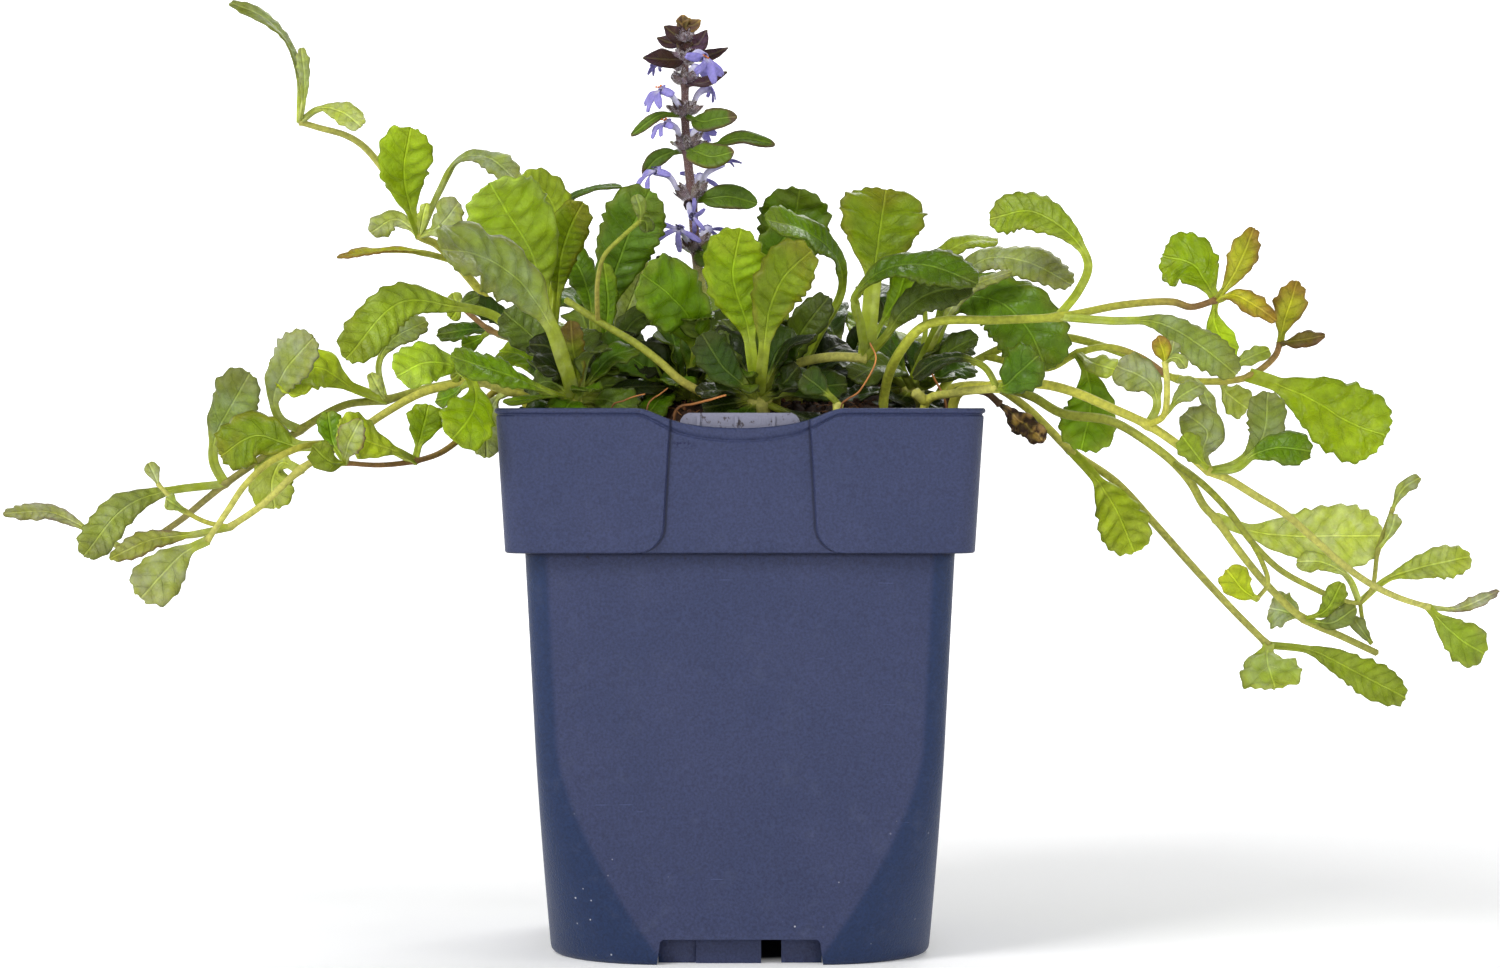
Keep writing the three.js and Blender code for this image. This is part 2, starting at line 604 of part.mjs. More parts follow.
    "leaves": [
      { "way": [[753, 366, -40], [747, 325, -42], [733, 277, -47], [741, 229, -53]],
        "wide": 14, "face": 8, "stalk": 0.3, "teeth": 4 },
      { "way": [[764, 350, -48], [770, 308, -52], [785, 276, -57], [812, 251, -62]],
        "wide": 13, "face": 12, "stalk": 0.34, "teeth": 4 },
      { "way": [[744, 386, -46], [722, 366, -50], [702, 334, -53]], "wide": 9, "face": 18, "teeth": 3 },
      { "way": [[770, 394, -42], [784, 384, -44], [799, 367, -45]], "wide": 8, "face": 50, "teeth": 2 },
    ],
  },
  {
    "name": "rosette_centre_back",
    "stems": { "main": { "way": [[792, 392, 4]], "from": 2.8, "to": 2.4 } },
    "leaves": [
      { "way": [[784, 340, 6], [782, 275, 8], [794, 222, 6], [800, 189, 3]],
        "wide": 17.5, "face": 3, "stalk": 0.45, "teeth": 4 },
      { "way": [[816, 340, -6], [842, 290, -12], [836, 258, -17], [806, 232, -24], [766, 220, -31]],
        "wide": 10.5, "face": 40, "stalk": 0.5, "teeth": 3 },
      { "way": [[774, 335, -4], [766, 285, -8], [776, 250, -13], [797, 224, -17]],
        "wide": 9.5, "face": 10, "stalk": 0.42 },
      { "way": [[790, 360, -10], [802, 332, -14], [829, 297, -17]], "wide": 8.5, "face": 25 },
      { "way": [[778, 384, -8], [760, 380, -13], [737, 370, -18]], "wide": 8, "face": 35, "stalk": 0.2 },
      { "way": [[806, 376, 8], [826, 352, 12], [846, 344, 16]], "wide": 11, "face": 40, "teeth": 2 },
      { "way": [[780, 370, 0], [768, 348, -4], [756, 334, -6]], "wide": 10, "face": 25, "teeth": 2 },
    ],
  },
  {
    "name": "runner_right_fan",
    "stems": {
      "main": {
        "way": [[776, 402, -22], [780, 376, -28], [800, 363, -32], [832, 357, -35], [866, 358, -36]],
        "from": 1.15, "to": 1.1,
      },
    },
    "leaves": [
      { "at": 4, "way": [[869, 325, -35], [873, 282, -32], [879, 236, -27], [886, 190, -20]],
        "wide": 20.5, "face": 3, "stalk": 0.4, "teeth": 6 },
      { "at": 4,
        "way": [[860, 325, -40], [856, 296, -45], [886, 270, -51], [926, 266, -57], [976, 284, -63]],
        "wide": 11, "face": 42, "stalk": 0.3, "teeth": 3 },
      { "at": 4, "way": [[886, 336, -41], [903, 312, -46], [933, 293, -50], [973, 287, -54]],
        "wide": 9.5, "face": 25, "stalk": 0.24, "teeth": 3 },
      { "at": 4, "way": [[878, 330, -30], [898, 296, -26], [908, 266, -24]],
        "wide": 6, "face": 10, "stalk": 0.4 },
    ],
  },
  {
    "name": "rosette_right",
    "stems": { "main": { "way": [[912, 388, -10]], "from": 2.8, "to": 2.4 } },
    "leaves": [
      { "way": [[925, 335, -2], [926, 288, 4], [946, 254, 6], [970, 242, 6], [998, 242, 5]],
        "wide": 6.5, "face": 55, "stalk": 0.5, "teeth": 4 },
      { "way": [[938, 330, -8], [955, 285, -10], [985, 260, -13], [1025, 262, -17], [1071, 285, -23]],
        "wide": 10, "face": 40, "stalk": 0.36, "teeth": 4 },
      { "way": [[932, 345, -18], [956, 300, -22], [1000, 303, -27], [1030, 333, -31], [1046, 370, -35]],
        "wide": 17.5, "face": 18, "stalk": 0.3, "teeth": 4 },
      { "way": [[942, 325, -26], [968, 290, -29], [1012, 272, -31]],
        "wide": 4.5, "face": 50, "stalk": 0.4, "teeth": 2 },
      { "way": [[930, 370, -20], [952, 350, -24], [978, 338, -27]], "wide": 7.5, "face": 40, "teeth": 3 },
      { "way": [[898, 372, -4], [880, 352, 2], [858, 346, 6]], "wide": 10, "face": 40, "teeth": 2 },
      { "way": [[926, 374, 0], [944, 352, 8], [966, 342, 14]], "wide": 11, "face": 35, "teeth": 2 },
      { "way": [[902, 372, -22], [880, 366, -28], [852, 380, -34]], "wide": 9, "face": 40, "teeth": 2 },
      { "way": [[930, 384, -12], [950, 372, -10], [972, 366, -6]], "wide": 8, "face": 45, "teeth": 2 },
    ],
  },
  {
    "name": "runner_right_top",
    "stems": {
      "main": {
        "way": [[884, 396, -30], [900, 352, -42], [928, 324, -47], [1000, 320, -48], [1058, 317, -48],
          [1122, 305, -46],
          [1173, 302, -43], [1191, 307, -42], [1216, 300, -41]],
        "from": 1.2, "to": 0.75,
      },
    },
    "leaves": [
      { "at": 4,
        "way": [[1078, 292, -46], [1088, 265, -42], [1073, 238, -38], [1032, 212, -33], [990, 219, -28]],
        "wide": 10, "face": 20, "stalk": 0.38, "teeth": 4 },
      { "at": 4, "way": [[1110, 321, -54], [1158, 323, -57], [1200, 346, -60], [1236, 375, -63]],
        "wide": 9, "face": 22, "stalk": 0.38, "teeth": 3 },
      { "at": 8, "way": [[1228, 284, -44], [1240, 262, -43], [1254, 228, -41]],
        "wide": 7.5, "face": 10, "stalk": 0.12, "teeth": 5 },
      { "at": 8, "way": [[1236, 296, -47], [1255, 306, -49], [1276, 321, -51]],
        "wide": 6, "face": 25, "stalk": 0.1, "teeth": 3 },
      { "at": 8, "way": [[1206, 283, -36], [1192, 264, -32], [1163, 256, -28]],
        "wide": 13.5, "face": 5, "stalk": 0.1, "teeth": 4 },
      { "at": 8, "way": [[1214, 320, -38], [1220, 338, -37], [1229, 362, -36]],
        "wide": 7, "face": 15, "stalk": 0.12, "teeth": 3 },
    ],
  },
  {
    "name": "runner_right_bronze",
    "stems": {
      "main": {
        "way": [[940, 392, 4], [985, 356, 2], [1050, 336, -4], [1122, 353, -10], [1153, 369, -12],
          [1178, 379, -13],
          [1224, 381, -14], [1250, 376, -15], [1275, 356, -16], [1280, 343, -16]],
        "from": 1.05, "to": 0.7,
      },
      "lower_strand": {
        "on": "main", "at": 1,
        "way": [[1048, 368, -9], [1078, 353, -13], [1108, 347, -14], [1140, 357, -14], [1168, 376, -13]],
        "from": 0.9, "to": 0.8,
      },
    },
    "leaves": [
      { "at": 9, "way": [[1284, 322, -18], [1290, 304, -19], [1297, 281, -20]],
        "wide": 8.5, "face": 8, "stalk": 0.1, "teeth": 5 },
      { "at": 9, "way": [[1290, 342, -20], [1305, 340, -22], [1325, 336, -24]],
        "wide": 5, "face": 30, "stalk": 0.1, "teeth": 3 },
      { "at": 7, "way": [[1275, 384, -20], [1312, 400, -24], [1350, 423, -28], [1386, 436, -32]],
        "wide": 18.5, "face": 12, "stalk": 0.16, "teeth": 5 },
      { "at": 6, "way": [[1238, 364, -10], [1269, 350, -7]], "wide": 4.4, "face": 25, "teeth": 2 },
      { "at": 6, "way": [[1226, 392, -8], [1247, 409, -5]], "wide": 8, "face": 10, "teeth": 2 },
      { "at": 5, "way": [[1195, 380, -20], [1206, 400, -23], [1213, 424, -25]],
        "wide": 5, "face": 20, "side": 40, "stalk": 0.3, "teeth": 2 },
      { "on": "lower_strand", "at": 2, "way": [[1087, 372, -18], [1091, 405, -20], [1081, 450, -22]],
        "wide": 13.5, "face": 8, "stalk": 0.2, "teeth": 4 },
      { "on": "lower_strand", "at": 2, "way": [[1095, 364, -24], [1118, 371, -28]],
        "wide": 6, "face": 25, "teeth": 3 },
    ],
  },
  {
    "name": "runner_right_long",
    "stems": {
      "main": {
        "way": [[956, 396, -40], [990, 386, -47], [1040, 384, -56], [1071, 391, -59], [1109, 407, -62],
          [1148, 425, -64], [1178, 445, -65], [1209, 471, -65], [1228, 479, -64], [1256, 496, -62],
          [1284, 513, -60], [1313, 538, -57], [1341, 563, -54], [1369, 583, -50], [1397, 597, -44],
          [1428, 607, -36]],
        "from": 1.2, "to": 0.7,
      },
      "side_shoot": {
        "on": "main", "at": 5,
        "way": [[1164, 415, -69], [1167, 385, -71], [1165, 362, -71]],
        "from": 0.75, "to": 0.65,
      },
    },
    "leaves": [
      { "at": 7, "way": [[1237, 468, -69], [1256, 454, -72], [1280, 448, -74], [1311, 452, -76]],
        "wide": 8.5, "face": 25, "stalk": 0.4, "teeth": 3 },
      { "at": 7, "way": [[1238, 462, -60], [1262, 438, -60], [1268, 392, -62]],
        "wide": 9, "face": 8, "stalk": 0.35, "teeth": 3 },
      { "at": 5, "way": [[1157, 404, -60], [1150, 383, -59], [1117, 366, -58]],
        "wide": 9, "face": 15, "stalk": 0.35, "teeth": 3 },
      { "at": 5, "way": [[1166, 413, -59], [1180, 397, -56], [1200, 386, -53]],
        "wide": 5, "face": 25, "stalk": 0.5, "teeth": 2 },
      { "on": "side_shoot", "at": 3, "way": [[1163, 352, -72], [1158, 336, -73]],
        "wide": 5, "face": 5, "stalk": 0, "teeth": 3 },
      { "on": "side_shoot", "at": 3, "way": [[1170, 356, -69], [1174, 342, -68]],
        "wide": 3.6, "face": 5, "stalk": 0, "teeth": 3 },
      { "on": "side_shoot", "at": 3, "way": [[1177, 358, -73], [1186, 368, -74]],
        "wide": 3, "face": 25, "stalk": 0.1, "teeth": 2 },
      { "at": 7, "way": [[1203, 450, -58], [1207, 432, -55], [1185, 413, -52]],
        "wide": 9, "face": 15, "stalk": 0.2, "teeth": 3 },
      { "at": 7, "way": [[1196, 455, -70], [1182, 436, -72]], "wide": 6, "face": 15, "teeth": 2 },
      { "at": 15, "way": [[1441, 622, -35], [1461, 640, -34], [1484, 654, -32]],
        "wide": 10, "face": 10, "stalk": 0.08, "teeth": 5 },
      { "at": 15, "way": [[1456, 609, -28], [1478, 601, -23], [1499, 591, -18]],
        "wide": 3.4, "face": 20, "stalk": 0.2, "teeth": 3 },
    ],
  },
  {
    "name": "runner_right_low",
    "stems": {
      "main": {
        "way": [[952, 396, -14], [1000, 388, -18], [1031, 396, -22], [1061, 413, -26], [1111, 421, -33],
          [1149, 443, -39], [1174, 463, -42], [1191, 483, -43], [1204, 506, -43], [1216, 519, -43],
          [1240, 552, -42], [1268, 586, -41], [1304, 619, -40], [1341, 636, -39], [1377, 653, -38]],
        "from": 1.2, "to": 0.8,
      },
      "thin_strand": {
        "on": "main", "at": 6,
        "way": [[1190, 474, -47], [1206, 487, -50], [1228, 510, -52], [1251, 541, -52], [1279, 569, -48],
          [1313, 588, -43], [1341, 600, -38], [1360, 602, -35], [1372, 588, -34], [1378, 550, -35],
          [1393, 508, -37]],
        "from": 0.85, "to": 0.5,
      },
      "hook": {
        "on": "thin_strand", "at": 4,
        "way": [[1262, 562, -57], [1268, 583, -59], [1257, 599, -61]],
        "from": 0.6, "to": 0.5,
      },
      "hanging_stalk": {
        "on": "thin_strand", "at": 8,
        "way": [[1363, 622, -36], [1371, 643, -36]],
        "from": 0.5, "to": 0.45,
      },
    },
    "leaves": [
      { "at": 9, "way": [[1250, 531, -36], [1290, 536, -34], [1336, 536, -33], [1382, 536, -32]],
        "wide": 15, "face": 12, "stalk": 0.2, "teeth": 5 },
      { "at": 12, "way": [[1290, 613, -34], [1270, 608, -31]], "wide": 9, "face": 10, "teeth": 3 },
      { "at": 12, "way": [[1325, 611, -45], [1342, 583, -48]],
        "wide": 5, "face": 15, "stalk": 0.2, "teeth": 2 },
      { "at": 12, "way": [[1331, 623, -46], [1356, 608, -49]],
        "wide": 4.6, "face": 15, "stalk": 0.2, "teeth": 2 },
      { "on": "thin_strand", "at": 11, "way": [[1403, 489, -38], [1420, 478, -39]],
        "wide": 3.4, "face": 25, "stalk": 0, "teeth": 3 },
      { "on": "thin_strand", "at": 10, "way": [[1389, 534, -37], [1396, 514, -38]],
        "wide": 3.4, "face": 10, "teeth": 2 },
      { "on": "thin_strand", "at": 8, "way": [[1388, 579, -30], [1424, 567, -27], [1470, 557, -24]],
        "wide": 8, "face": 22, "stalk": 0.3, "teeth": 4 },
      { "on": "thin_strand", "at": 8, "way": [[1347, 576, -40], [1322, 563, -38], [1297, 562, -36]],
        "wide": 5.5, "face": 35, "stalk": 0.4, "teeth": 3 },
      { "on": "hanging_stalk", "at": 2, "way": [[1363, 632, -38], [1353, 617, -39]],
        "wide": 3.4, "face": 10, "stalk": 0, "teeth": 2 },
      { "on": "hook", "at": 3, "way": [[1244, 591, -63], [1227, 570, -65]],
        "wide": 7.5, "face": 10, "stalk": 0.08, "teeth": 4 },
    ],
  },
  {
    "name": "runner_right_back",
    "stems": {
      "main": {
        "way": [[938, 396, 26], [990, 386, 25], [1022, 404, 22], [1048, 428, 20], [1070, 450, 18],
          [1116, 482, 14],
          [1155, 524, 12], [1195, 569, 10], [1234, 611, 8], [1268, 645, 6]],
        "from": 1.1, "to": 0.8,
      },
    },
    "leaves": [
      { "at": 4, "way": [[1096, 479, 12], [1116, 510, 8], [1134, 552, 4]],
        "wide": 12.5, "face": 10, "stalk": 0.3, "teeth": 3 },
      { "at": 9, "way": [[1267, 660, 1], [1275, 688, -6]],
        "wide": 15, "face": 5, "stalk": 0.1, "teeth": 4 },
      { "at": 9, "way": [[1312, 651, 10], [1355, 672, 13], [1405, 698, 15]],
        "wide": 9.5, "face": 20, "stalk": 0.2, "teeth": 5 },
    ],
  },
  {
    "name": "runner_front_rim",
    "stems": {
      "main": { "way": [[926, 402, -45], [955, 393, -50], [998, 388, -58]], "from": 1, "to": 0.95 },
      "cut_stalk": { "on": "main", "at": 0, "way": [[915, 392, -46]], "from": 1.2, "to": 1.3 },
    },
    "leaves": [
      { "at": 2, "way": [[1006, 385, -62], [1020, 372, -65], [1038, 356, -68]],
        "wide": 11, "face": 15, "stalk": 0.1, "teeth": 2 },
      { "at": 2, "way": [[984, 366, -60], [958, 358, -60], [934, 363, -59], [914, 378, -57]],
        "wide": 5.5, "face": 50, "stalk": 0.3, "teeth": 2 },
    ],
  },
  {
    "name": "young_leaf_front",
    "stems": { "main": { "way": [[838, 404, -47]], "from": 1.3, "to": 1 } },
    "leaves": [
      { "way": [[832, 398, -48], [820, 388, -49], [803, 375, -50]],
        "wide": 7, "face": 15, "stalk": 0.3, "teeth": 2 },
    ],
  },
  {
    "name": "dead_leaf",
    "stems": {
      "main": { "way": [[950, 396, -24], [984, 392, -25], [1000, 404, -26]], "from": 0.7, "to": 0.8 },
    },
    "leaves": [
      { "at": 2, "way": [[1012, 414, -27], [1028, 427, -28], [1044, 441, -29]],
        "wide": 5.5, "face": 10, "stalk": 0, "teeth": 4, "fold": 30 },
      { "at": 2, "way": [[1008, 412, -24], [1021, 433, -22]],
        "wide": 4, "face": 25, "stalk": 0, "teeth": 3, "fold": 30 },
    ],
  },
  {
    "name": "rosette_back_left",
    "stems": { "main": { "way": [[600, 396, 34]], "from": 2.6, "to": 2.2 } },
    "leaves": [
      { "way": [[585, 350, 46], [568, 325, 62], [562, 335, 76]],
        "wide": 14, "face": 60, "side": -160, "teeth": 4 },
      { "way": [[612, 345, 46], [622, 318, 62], [626, 325, 76]],
        "wide": 15, "face": 60, "side": 170, "teeth": 4 },
      { "way": [[590, 345, 36], [575, 300, 42], [560, 290, 52]], "wide": 12, "face": 50, "side": -150 },
      { "way": [[640, 370, 42], [662, 350, 52], [672, 356, 66]], "wide": 10, "face": 60, "side": 160 },
      { "way": [[620, 378, 32], [638, 366, 30], [654, 366, 28]], "wide": 11, "face": 45, "teeth": 2 },
      { "way": [[584, 378, 28], [566, 368, 24], [549, 370, 21]], "wide": 10, "face": 45, "teeth": 2 },
    ],
  },
  {
    "name": "rosette_back_middle",
    "stems": { "main": { "way": [[716, 394, 30]], "from": 2.6, "to": 2.2 } },
    "leaves": [
      { "way": [[706, 345, 40], [700, 318, 54], [698, 326, 72]],
        "wide": 14, "face": 60, "side": -170, "teeth": 4 },
      { "way": [[740, 345, 42], [756, 315, 56], [762, 322, 74]],
        "wide": 15, "face": 60, "side": 165, "teeth": 4 },
      { "way": [[722, 340, 28], [728, 290, 32], [734, 262, 38]], "wide": 12, "face": 30, "side": 170 },
      { "way": [[698, 372, 26], [680, 350, 22], [664, 346, 18]], "wide": 11, "face": 40, "teeth": 2 },
      { "way": [[734, 374, 26], [752, 356, 23], [770, 352, 22]], "wide": 11, "face": 40, "teeth": 2 },
    ],
  },
  {
    "name": "rosette_back_right",
    "stems": { "main": { "way": [[846, 390, 34]], "from": 2.6, "to": 2.2 } },
    "leaves": [
      { "way": [[856, 345, 44], [868, 318, 58], [874, 328, 75]],
        "wide": 15, "face": 60, "side": 165, "teeth": 4 },
      { "way": [[836, 345, 46], [826, 312, 60], [818, 318, 76]],
        "wide": 13, "face": 60, "side": -165, "teeth": 4 },
      { "way": [[862, 340, 32], [876, 300, 38], [890, 286, 48]], "wide": 12, "face": 45, "side": 150 },
      { "way": [[880, 365, 38], [905, 340, 48], [925, 345, 62]], "wide": 12, "face": 60, "side": 140 },
      { "way": [[826, 370, 30], [808, 352, 28], [788, 350, 28]], "wide": 11, "face": 40, "teeth": 2 },
      { "way": [[868, 370, 26], [890, 354, 22], [912, 352, 22]], "wide": 11, "face": 40, "teeth": 2 },
    ],
  },
  {
    "name": "runner_back_left",
    "stems": {
      "main": {
        "way": [[650, 396, 44], [640, 378, 56], [628, 392, 65], [622, 425, 71], [625, 470, 73],
          [640, 520, 75]],
        "from": 1.1, "to": 0.7,
      },
    },
    "leaves": [
      { "at": 3, "way": [[600, 420, 75], [575, 440, 78]], "wide": 10, "face": 30, "side": 180, "teeth": 4 },
      { "at": 3, "way": [[645, 415, 75], [672, 430, 78]], "wide": 10, "face": 30, "side": 180, "teeth": 4 },
      { "at": 5, "way": [[622, 540, 76], [608, 570, 78]],
        "wide": 8.5, "face": 15, "side": 180, "teeth": 4 },
      { "at": 5, "way": [[655, 540, 76], [668, 568, 78]], "wide": 8, "face": 15, "side": 180, "teeth": 4 },
    ],
  },
  {
    "name": "runner_back_right",
    "stems": {
      "main": {
        "way": [[806, 394, 44], [815, 372, 56], [828, 384, 65], [838, 420, 70], [842, 462, 72]],
        "from": 1.1, "to": 0.7,
      },
    },
    "leaves": [
      { "at": 3, "way": [[862, 412, 75], [888, 428, 78]], "wide": 11, "face": 30, "side": 180, "teeth": 4 },
      { "at": 3, "way": [[815, 415, 75], [790, 436, 78]], "wide": 10, "face": 30, "side": 180, "teeth": 4 },
      { "at": 4, "way": [[860, 482, 74], [876, 512, 76]], "wide": 9, "face": 15, "side": 180, "teeth": 4 },
      { "at": 4, "way": [[828, 486, 74], [818, 518, 76]], "wide": 8, "face": 15, "side": 180, "teeth": 3 },
    ],
  },
];

// The spike: bracts stand at the stem's whorls, and flowers hang out of their calyces
const SPIKE = {
  "way": [[709, 400, -10], [708, 360, -10], [706, 314, -10], [699, 275, -9], [696, 250, -8], [692, 200, -7],
    [687, 150, -5], [685, 115, -4], [685, 84, -3], [685, 60, -3], [684, 42, -2], [683, 24, -2]],
  "from": 1.5, "to": 0.7,
  "bracts": [
    { "at": 9, "way": [[665, 60, -7], [643, 58, -9]], "wide": 4.4, "face": 35 },
    { "at": 10, "way": [[697, 45, -5], [707, 30, -7]], "wide": 3.8, "face": 15 },
    { "at": 8, "way": [[706, 83, -8], [727, 72, -10]], "wide": 3.8, "face": 45 },
    { "at": 10, "way": [[676, 36, -4], [664, 26, -5]], "wide": 3.2, "face": 20 },
    { "at": 10, "way": [[670, 43, -1], [657, 38, 0]], "wide": 2.8, "face": 30 },
    { "at": 11, "way": [[692, 26, -3], [701, 20, -4]], "wide": 2.6, "face": 10 },
    { "at": 11, "way": [[683, 20, -2], [683, 15, -2]], "wide": 2.4, "face": 5 },
    { "at": 11, "way": [[688, 24, 0], [689, 18, 1]], "wide": 2.4, "face": 5 },
    { "at": 7, "way": [[660, 116, -6], [631, 136, -8]], "wide": 2.8, "face": 30 },
    { "at": 7, "way": [[703, 122, -11], [718, 119, -14], [737, 117, -16]],
      "wide": 6, "face": 12, "teeth": 2 },
    { "at": 6, "way": [[698, 153, -14], [712, 157, -17], [734, 152, -20]],
      "wide": 7, "face": 12, "teeth": 2 },
    { "at": 6, "way": [[714, 145, -1], [742, 139, 0], [775, 145, 1]],
      "wide": 5, "face": 40, "stalk": 0.4, "teeth": 2 },
    { "at": 6, "way": [[671, 153, -3], [656, 160, -3], [643, 175, -4]],
      "wide": 4.2, "face": 20, "teeth": 2 },
    { "at": 5, "way": [[708, 199, -9], [728, 197, -10], [757, 204, -12]],
      "wide": 6.8, "face": 15, "teeth": 2, "stalk": 0.2 },
    { "at": 4, "way": [[706, 256, -15], [721, 239, -17]], "wide": 5.8, "face": 12, "teeth": 2 },
    { "at": 9, "way": [[712, 55, 3], [728, 48, 4]], "wide": 2.8, "face": 25 },
    { "at": 9, "way": [[690, 56, 4], [694, 49, 9]], "wide": 4.2, "face": 20, "side": 180 },
    { "at": 8, "way": [[680, 82, 4], [676, 75, 10]], "wide": 4.2, "face": 30, "side": 180 },
    { "at": 7, "way": [[690, 114, 4], [696, 110, 11]], "wide": 5, "face": 30, "side": 180 },
    { "at": 6, "way": [[682, 148, 3], [676, 144, 11]], "wide": 5.6, "face": 35, "side": 180 },
    { "at": 5, "way": [[690, 198, 1], [686, 194, 9]], "wide": 6, "face": 35, "side": 180 },
    { "at": 4, "way": [[688, 250, 2], [680, 246, 10]], "wide": 6, "face": 35, "side": 180 },
  ],
};

// Each flower: the whorl that it grows from, the mouth of its calyx, its throat and the tip of its lip
const FLOWERS = [
  { "at": 9, "mouth": [693, 55, -9], "bend": [698, 52, -12],
    "throat": [704, 57, -15], "lip": [708, 78, -20] },
  { "at": 9, "mouth": [677, 66, 2], "bend": [668, 62, 4], "throat": [659, 64, 5], "lip": [648, 75, 6] },
  { "at": 7, "mouth": [678, 104, -7], "bend": [670, 94, -9],
    "throat": [661, 90, -11], "lip": [650, 109, -15] },
  { "at": 7, "mouth": [693, 105, -1], "bend": [698, 94, 0], "throat": [708, 87, 1], "lip": [717, 101, 1] },
  { "at": 6, "mouth": [679, 140, -5], "bend": [677, 129, -6],
    "throat": [666, 123, -8], "lip": [653, 136, -11] },
  { "at": 5, "mouth": [678, 190, -7], "bend": [670, 177, -8],
    "throat": [656, 171, -10], "lip": [634, 193, -13] },
  { "at": 5, "mouth": [689, 205, -12], "bend": [690, 211, -16],
    "throat": [693, 216, -20], "lip": [705, 221, -24] },
  { "at": 4, "mouth": [687, 240, -13], "bend": [683, 233, -16],
    "throat": [679, 229, -20], "lip": [665, 246, -25] },
  { "at": 5, "mouth": [702, 186, -2], "bend": [706, 174, 0],
    "throat": [722, 163, 2], "lip": [741, 162, 4] },
  { "at": 8, "mouth": [688, 78, 5], "bend": [691, 71, 9], "throat": [696, 68, 14], "lip": [702, 80, 19] },
  { "at": 6, "mouth": [691, 141, 3], "bend": [694, 132, 8],
    "throat": [698, 129, 14], "lip": [702, 141, 19] },
  { "at": 5, "mouth": [696, 190, 2], "bend": [698, 181, 7],
    "throat": [700, 177, 13], "lip": [696, 190, 18] },
  { "at": 4, "mouth": [700, 241, 1], "bend": [704, 232, 6],
    "throat": [708, 229, 12], "lip": [712, 241, 16] },
];

// Straws stand out of the soil at the front
const STRAWS = [
  { "way": [[613, 405, -47], [645, 394, -50]], "from": 0.35 },
  { "way": [[648, 405, -50], [668, 388, -46]], "from": 0.35 },
  { "way": [[678, 408, -46], [726, 395, -49]], "from": 0.55 },
  { "way": [[842, 404, -50], [861, 389, -51], [876, 359, -52], [870, 343, -51]], "from": 0.4 },
  { "way": [[946, 404, -35], [930, 370, -34]], "from": 0.55 },
];

// Assembly

const foliage = new THREE.MeshStandardMaterial({ color: 0x5c8a24, roughness: 0.5 });
const spikeSkin = new THREE.MeshStandardMaterial({ color: 0x5a4650, roughness: 0.8 });
const petal = new THREE.MeshStandardMaterial({ color: 0x8f86d8, roughness: 0.6 });
const plastic = new THREE.MeshStandardMaterial({ color: 0x39415f, roughness: 0.45 });
const peat = new THREE.MeshStandardMaterial({ color: 0x2a1a12, roughness: 0.95 });
const straw = new THREE.MeshStandardMaterial({ color: 0xc08a52, roughness: 0.8 });
const deadLeaf = new THREE.MeshStandardMaterial({ color: 0x4a3420, roughness: 0.85 });

const ROOT_DEPTH = 9;
const SURFACE_RISE = 1.6;
const holes = [];

// A stem's points with its straight foot, which stands in a plain hole of the soil
function rootedWay(way) {
  const points = way.map(seen);
  const { x, y } = points[0];
  const ground = soilHeight(x, y);
  points[0].z = Math.max(points[0].z, ground + SURFACE_RISE);
  return [new THREE.Vector3(x, y, ground - ROOT_DEPTH), ...points];
}

function rootedStem(points, from, to, sides) {
  const { x, y, z } = points[0];
  holes.push({ x, y, bottom: z - 0.5, radius: from + 0.5 });
  return stem(points, from, to, sides);
}

// A leaf's foot lies inside its stem, behind the stem's middle as seen along the leaf
function leafFoot(point, next, radius) {
  return point.clone().addScaledVector(next.clone().sub(point).normalize(), -radius * 0.3);
}

function plantBody({ stems, leaves }) {
  const pieces = [];
  const grown = {};
  for (const [name, { on, at, way, from, to }] of Object.entries(stems)) {
    const points = on ? [grown[on].points[at], ...way.map(seen)] : rootedWay(way);
    pieces.push(on ? stem(points, from, to) : rootedStem(points, from, to, way.length > 1 ? 4 : 6));
    grown[name] = { points: on ? points : points.slice(1), radius: to };
  }
  for (const leaf of leaves) {
    const { points, radius } = grown[leaf.on ?? 'main'];
    const [next, ...rest] = leaf.way.map(seen);
    pieces.push(blade([leafFoot(points[leaf.at ?? 0], next, radius), next, ...rest], leaf, radius));
  }
  return fuse(pieces);
}

// A calyx is a five-sided cup, with a hollow that a corolla's tube stands in, or closed over a bud
const CALYX_RADIUS = 1.45;
const THROAT_RADIUS = 0.65;

function ringAbout(centre, direction, radius, sides, turn = 0) {
  const frame = new THREE.Quaternion().setFromUnitVectors(new THREE.Vector3(0, 0, 1), direction);
  return Array.from({ length: sides }, (_, i) => {
    const angle = ((i + turn) / sides) * 2 * Math.PI;
    return new THREE.Vector3(radius * Math.cos(angle), radius * Math.sin(angle), 0)
      .applyQuaternion(frame).add(centre);
  });
}

function calyx(root, mouth, radius = CALYX_RADIUS) {
  const direction = mouth.clone().sub(root).normalize();
  const at = (share) => root.clone().lerp(mouth, share);
  return loft([
    ringAbout(at(0.06), direction, radius * 0.35, 5),
    ringAbout(at(1), direction, radius, 5),
    ringAbout(at(0.66), direction, THROAT_RADIUS + 0.42, 5),
    [at(0.6)],
  ]);
}

function bud(root, tip, radius) {
  const direction = tip.clone().sub(root).normalize();
  const widest = root.clone().lerp(tip, 0.62);
  return loft([[root.clone().lerp(tip, 0.14)], ringAbout(widest, direction, radius, 4), [tip]]);
}

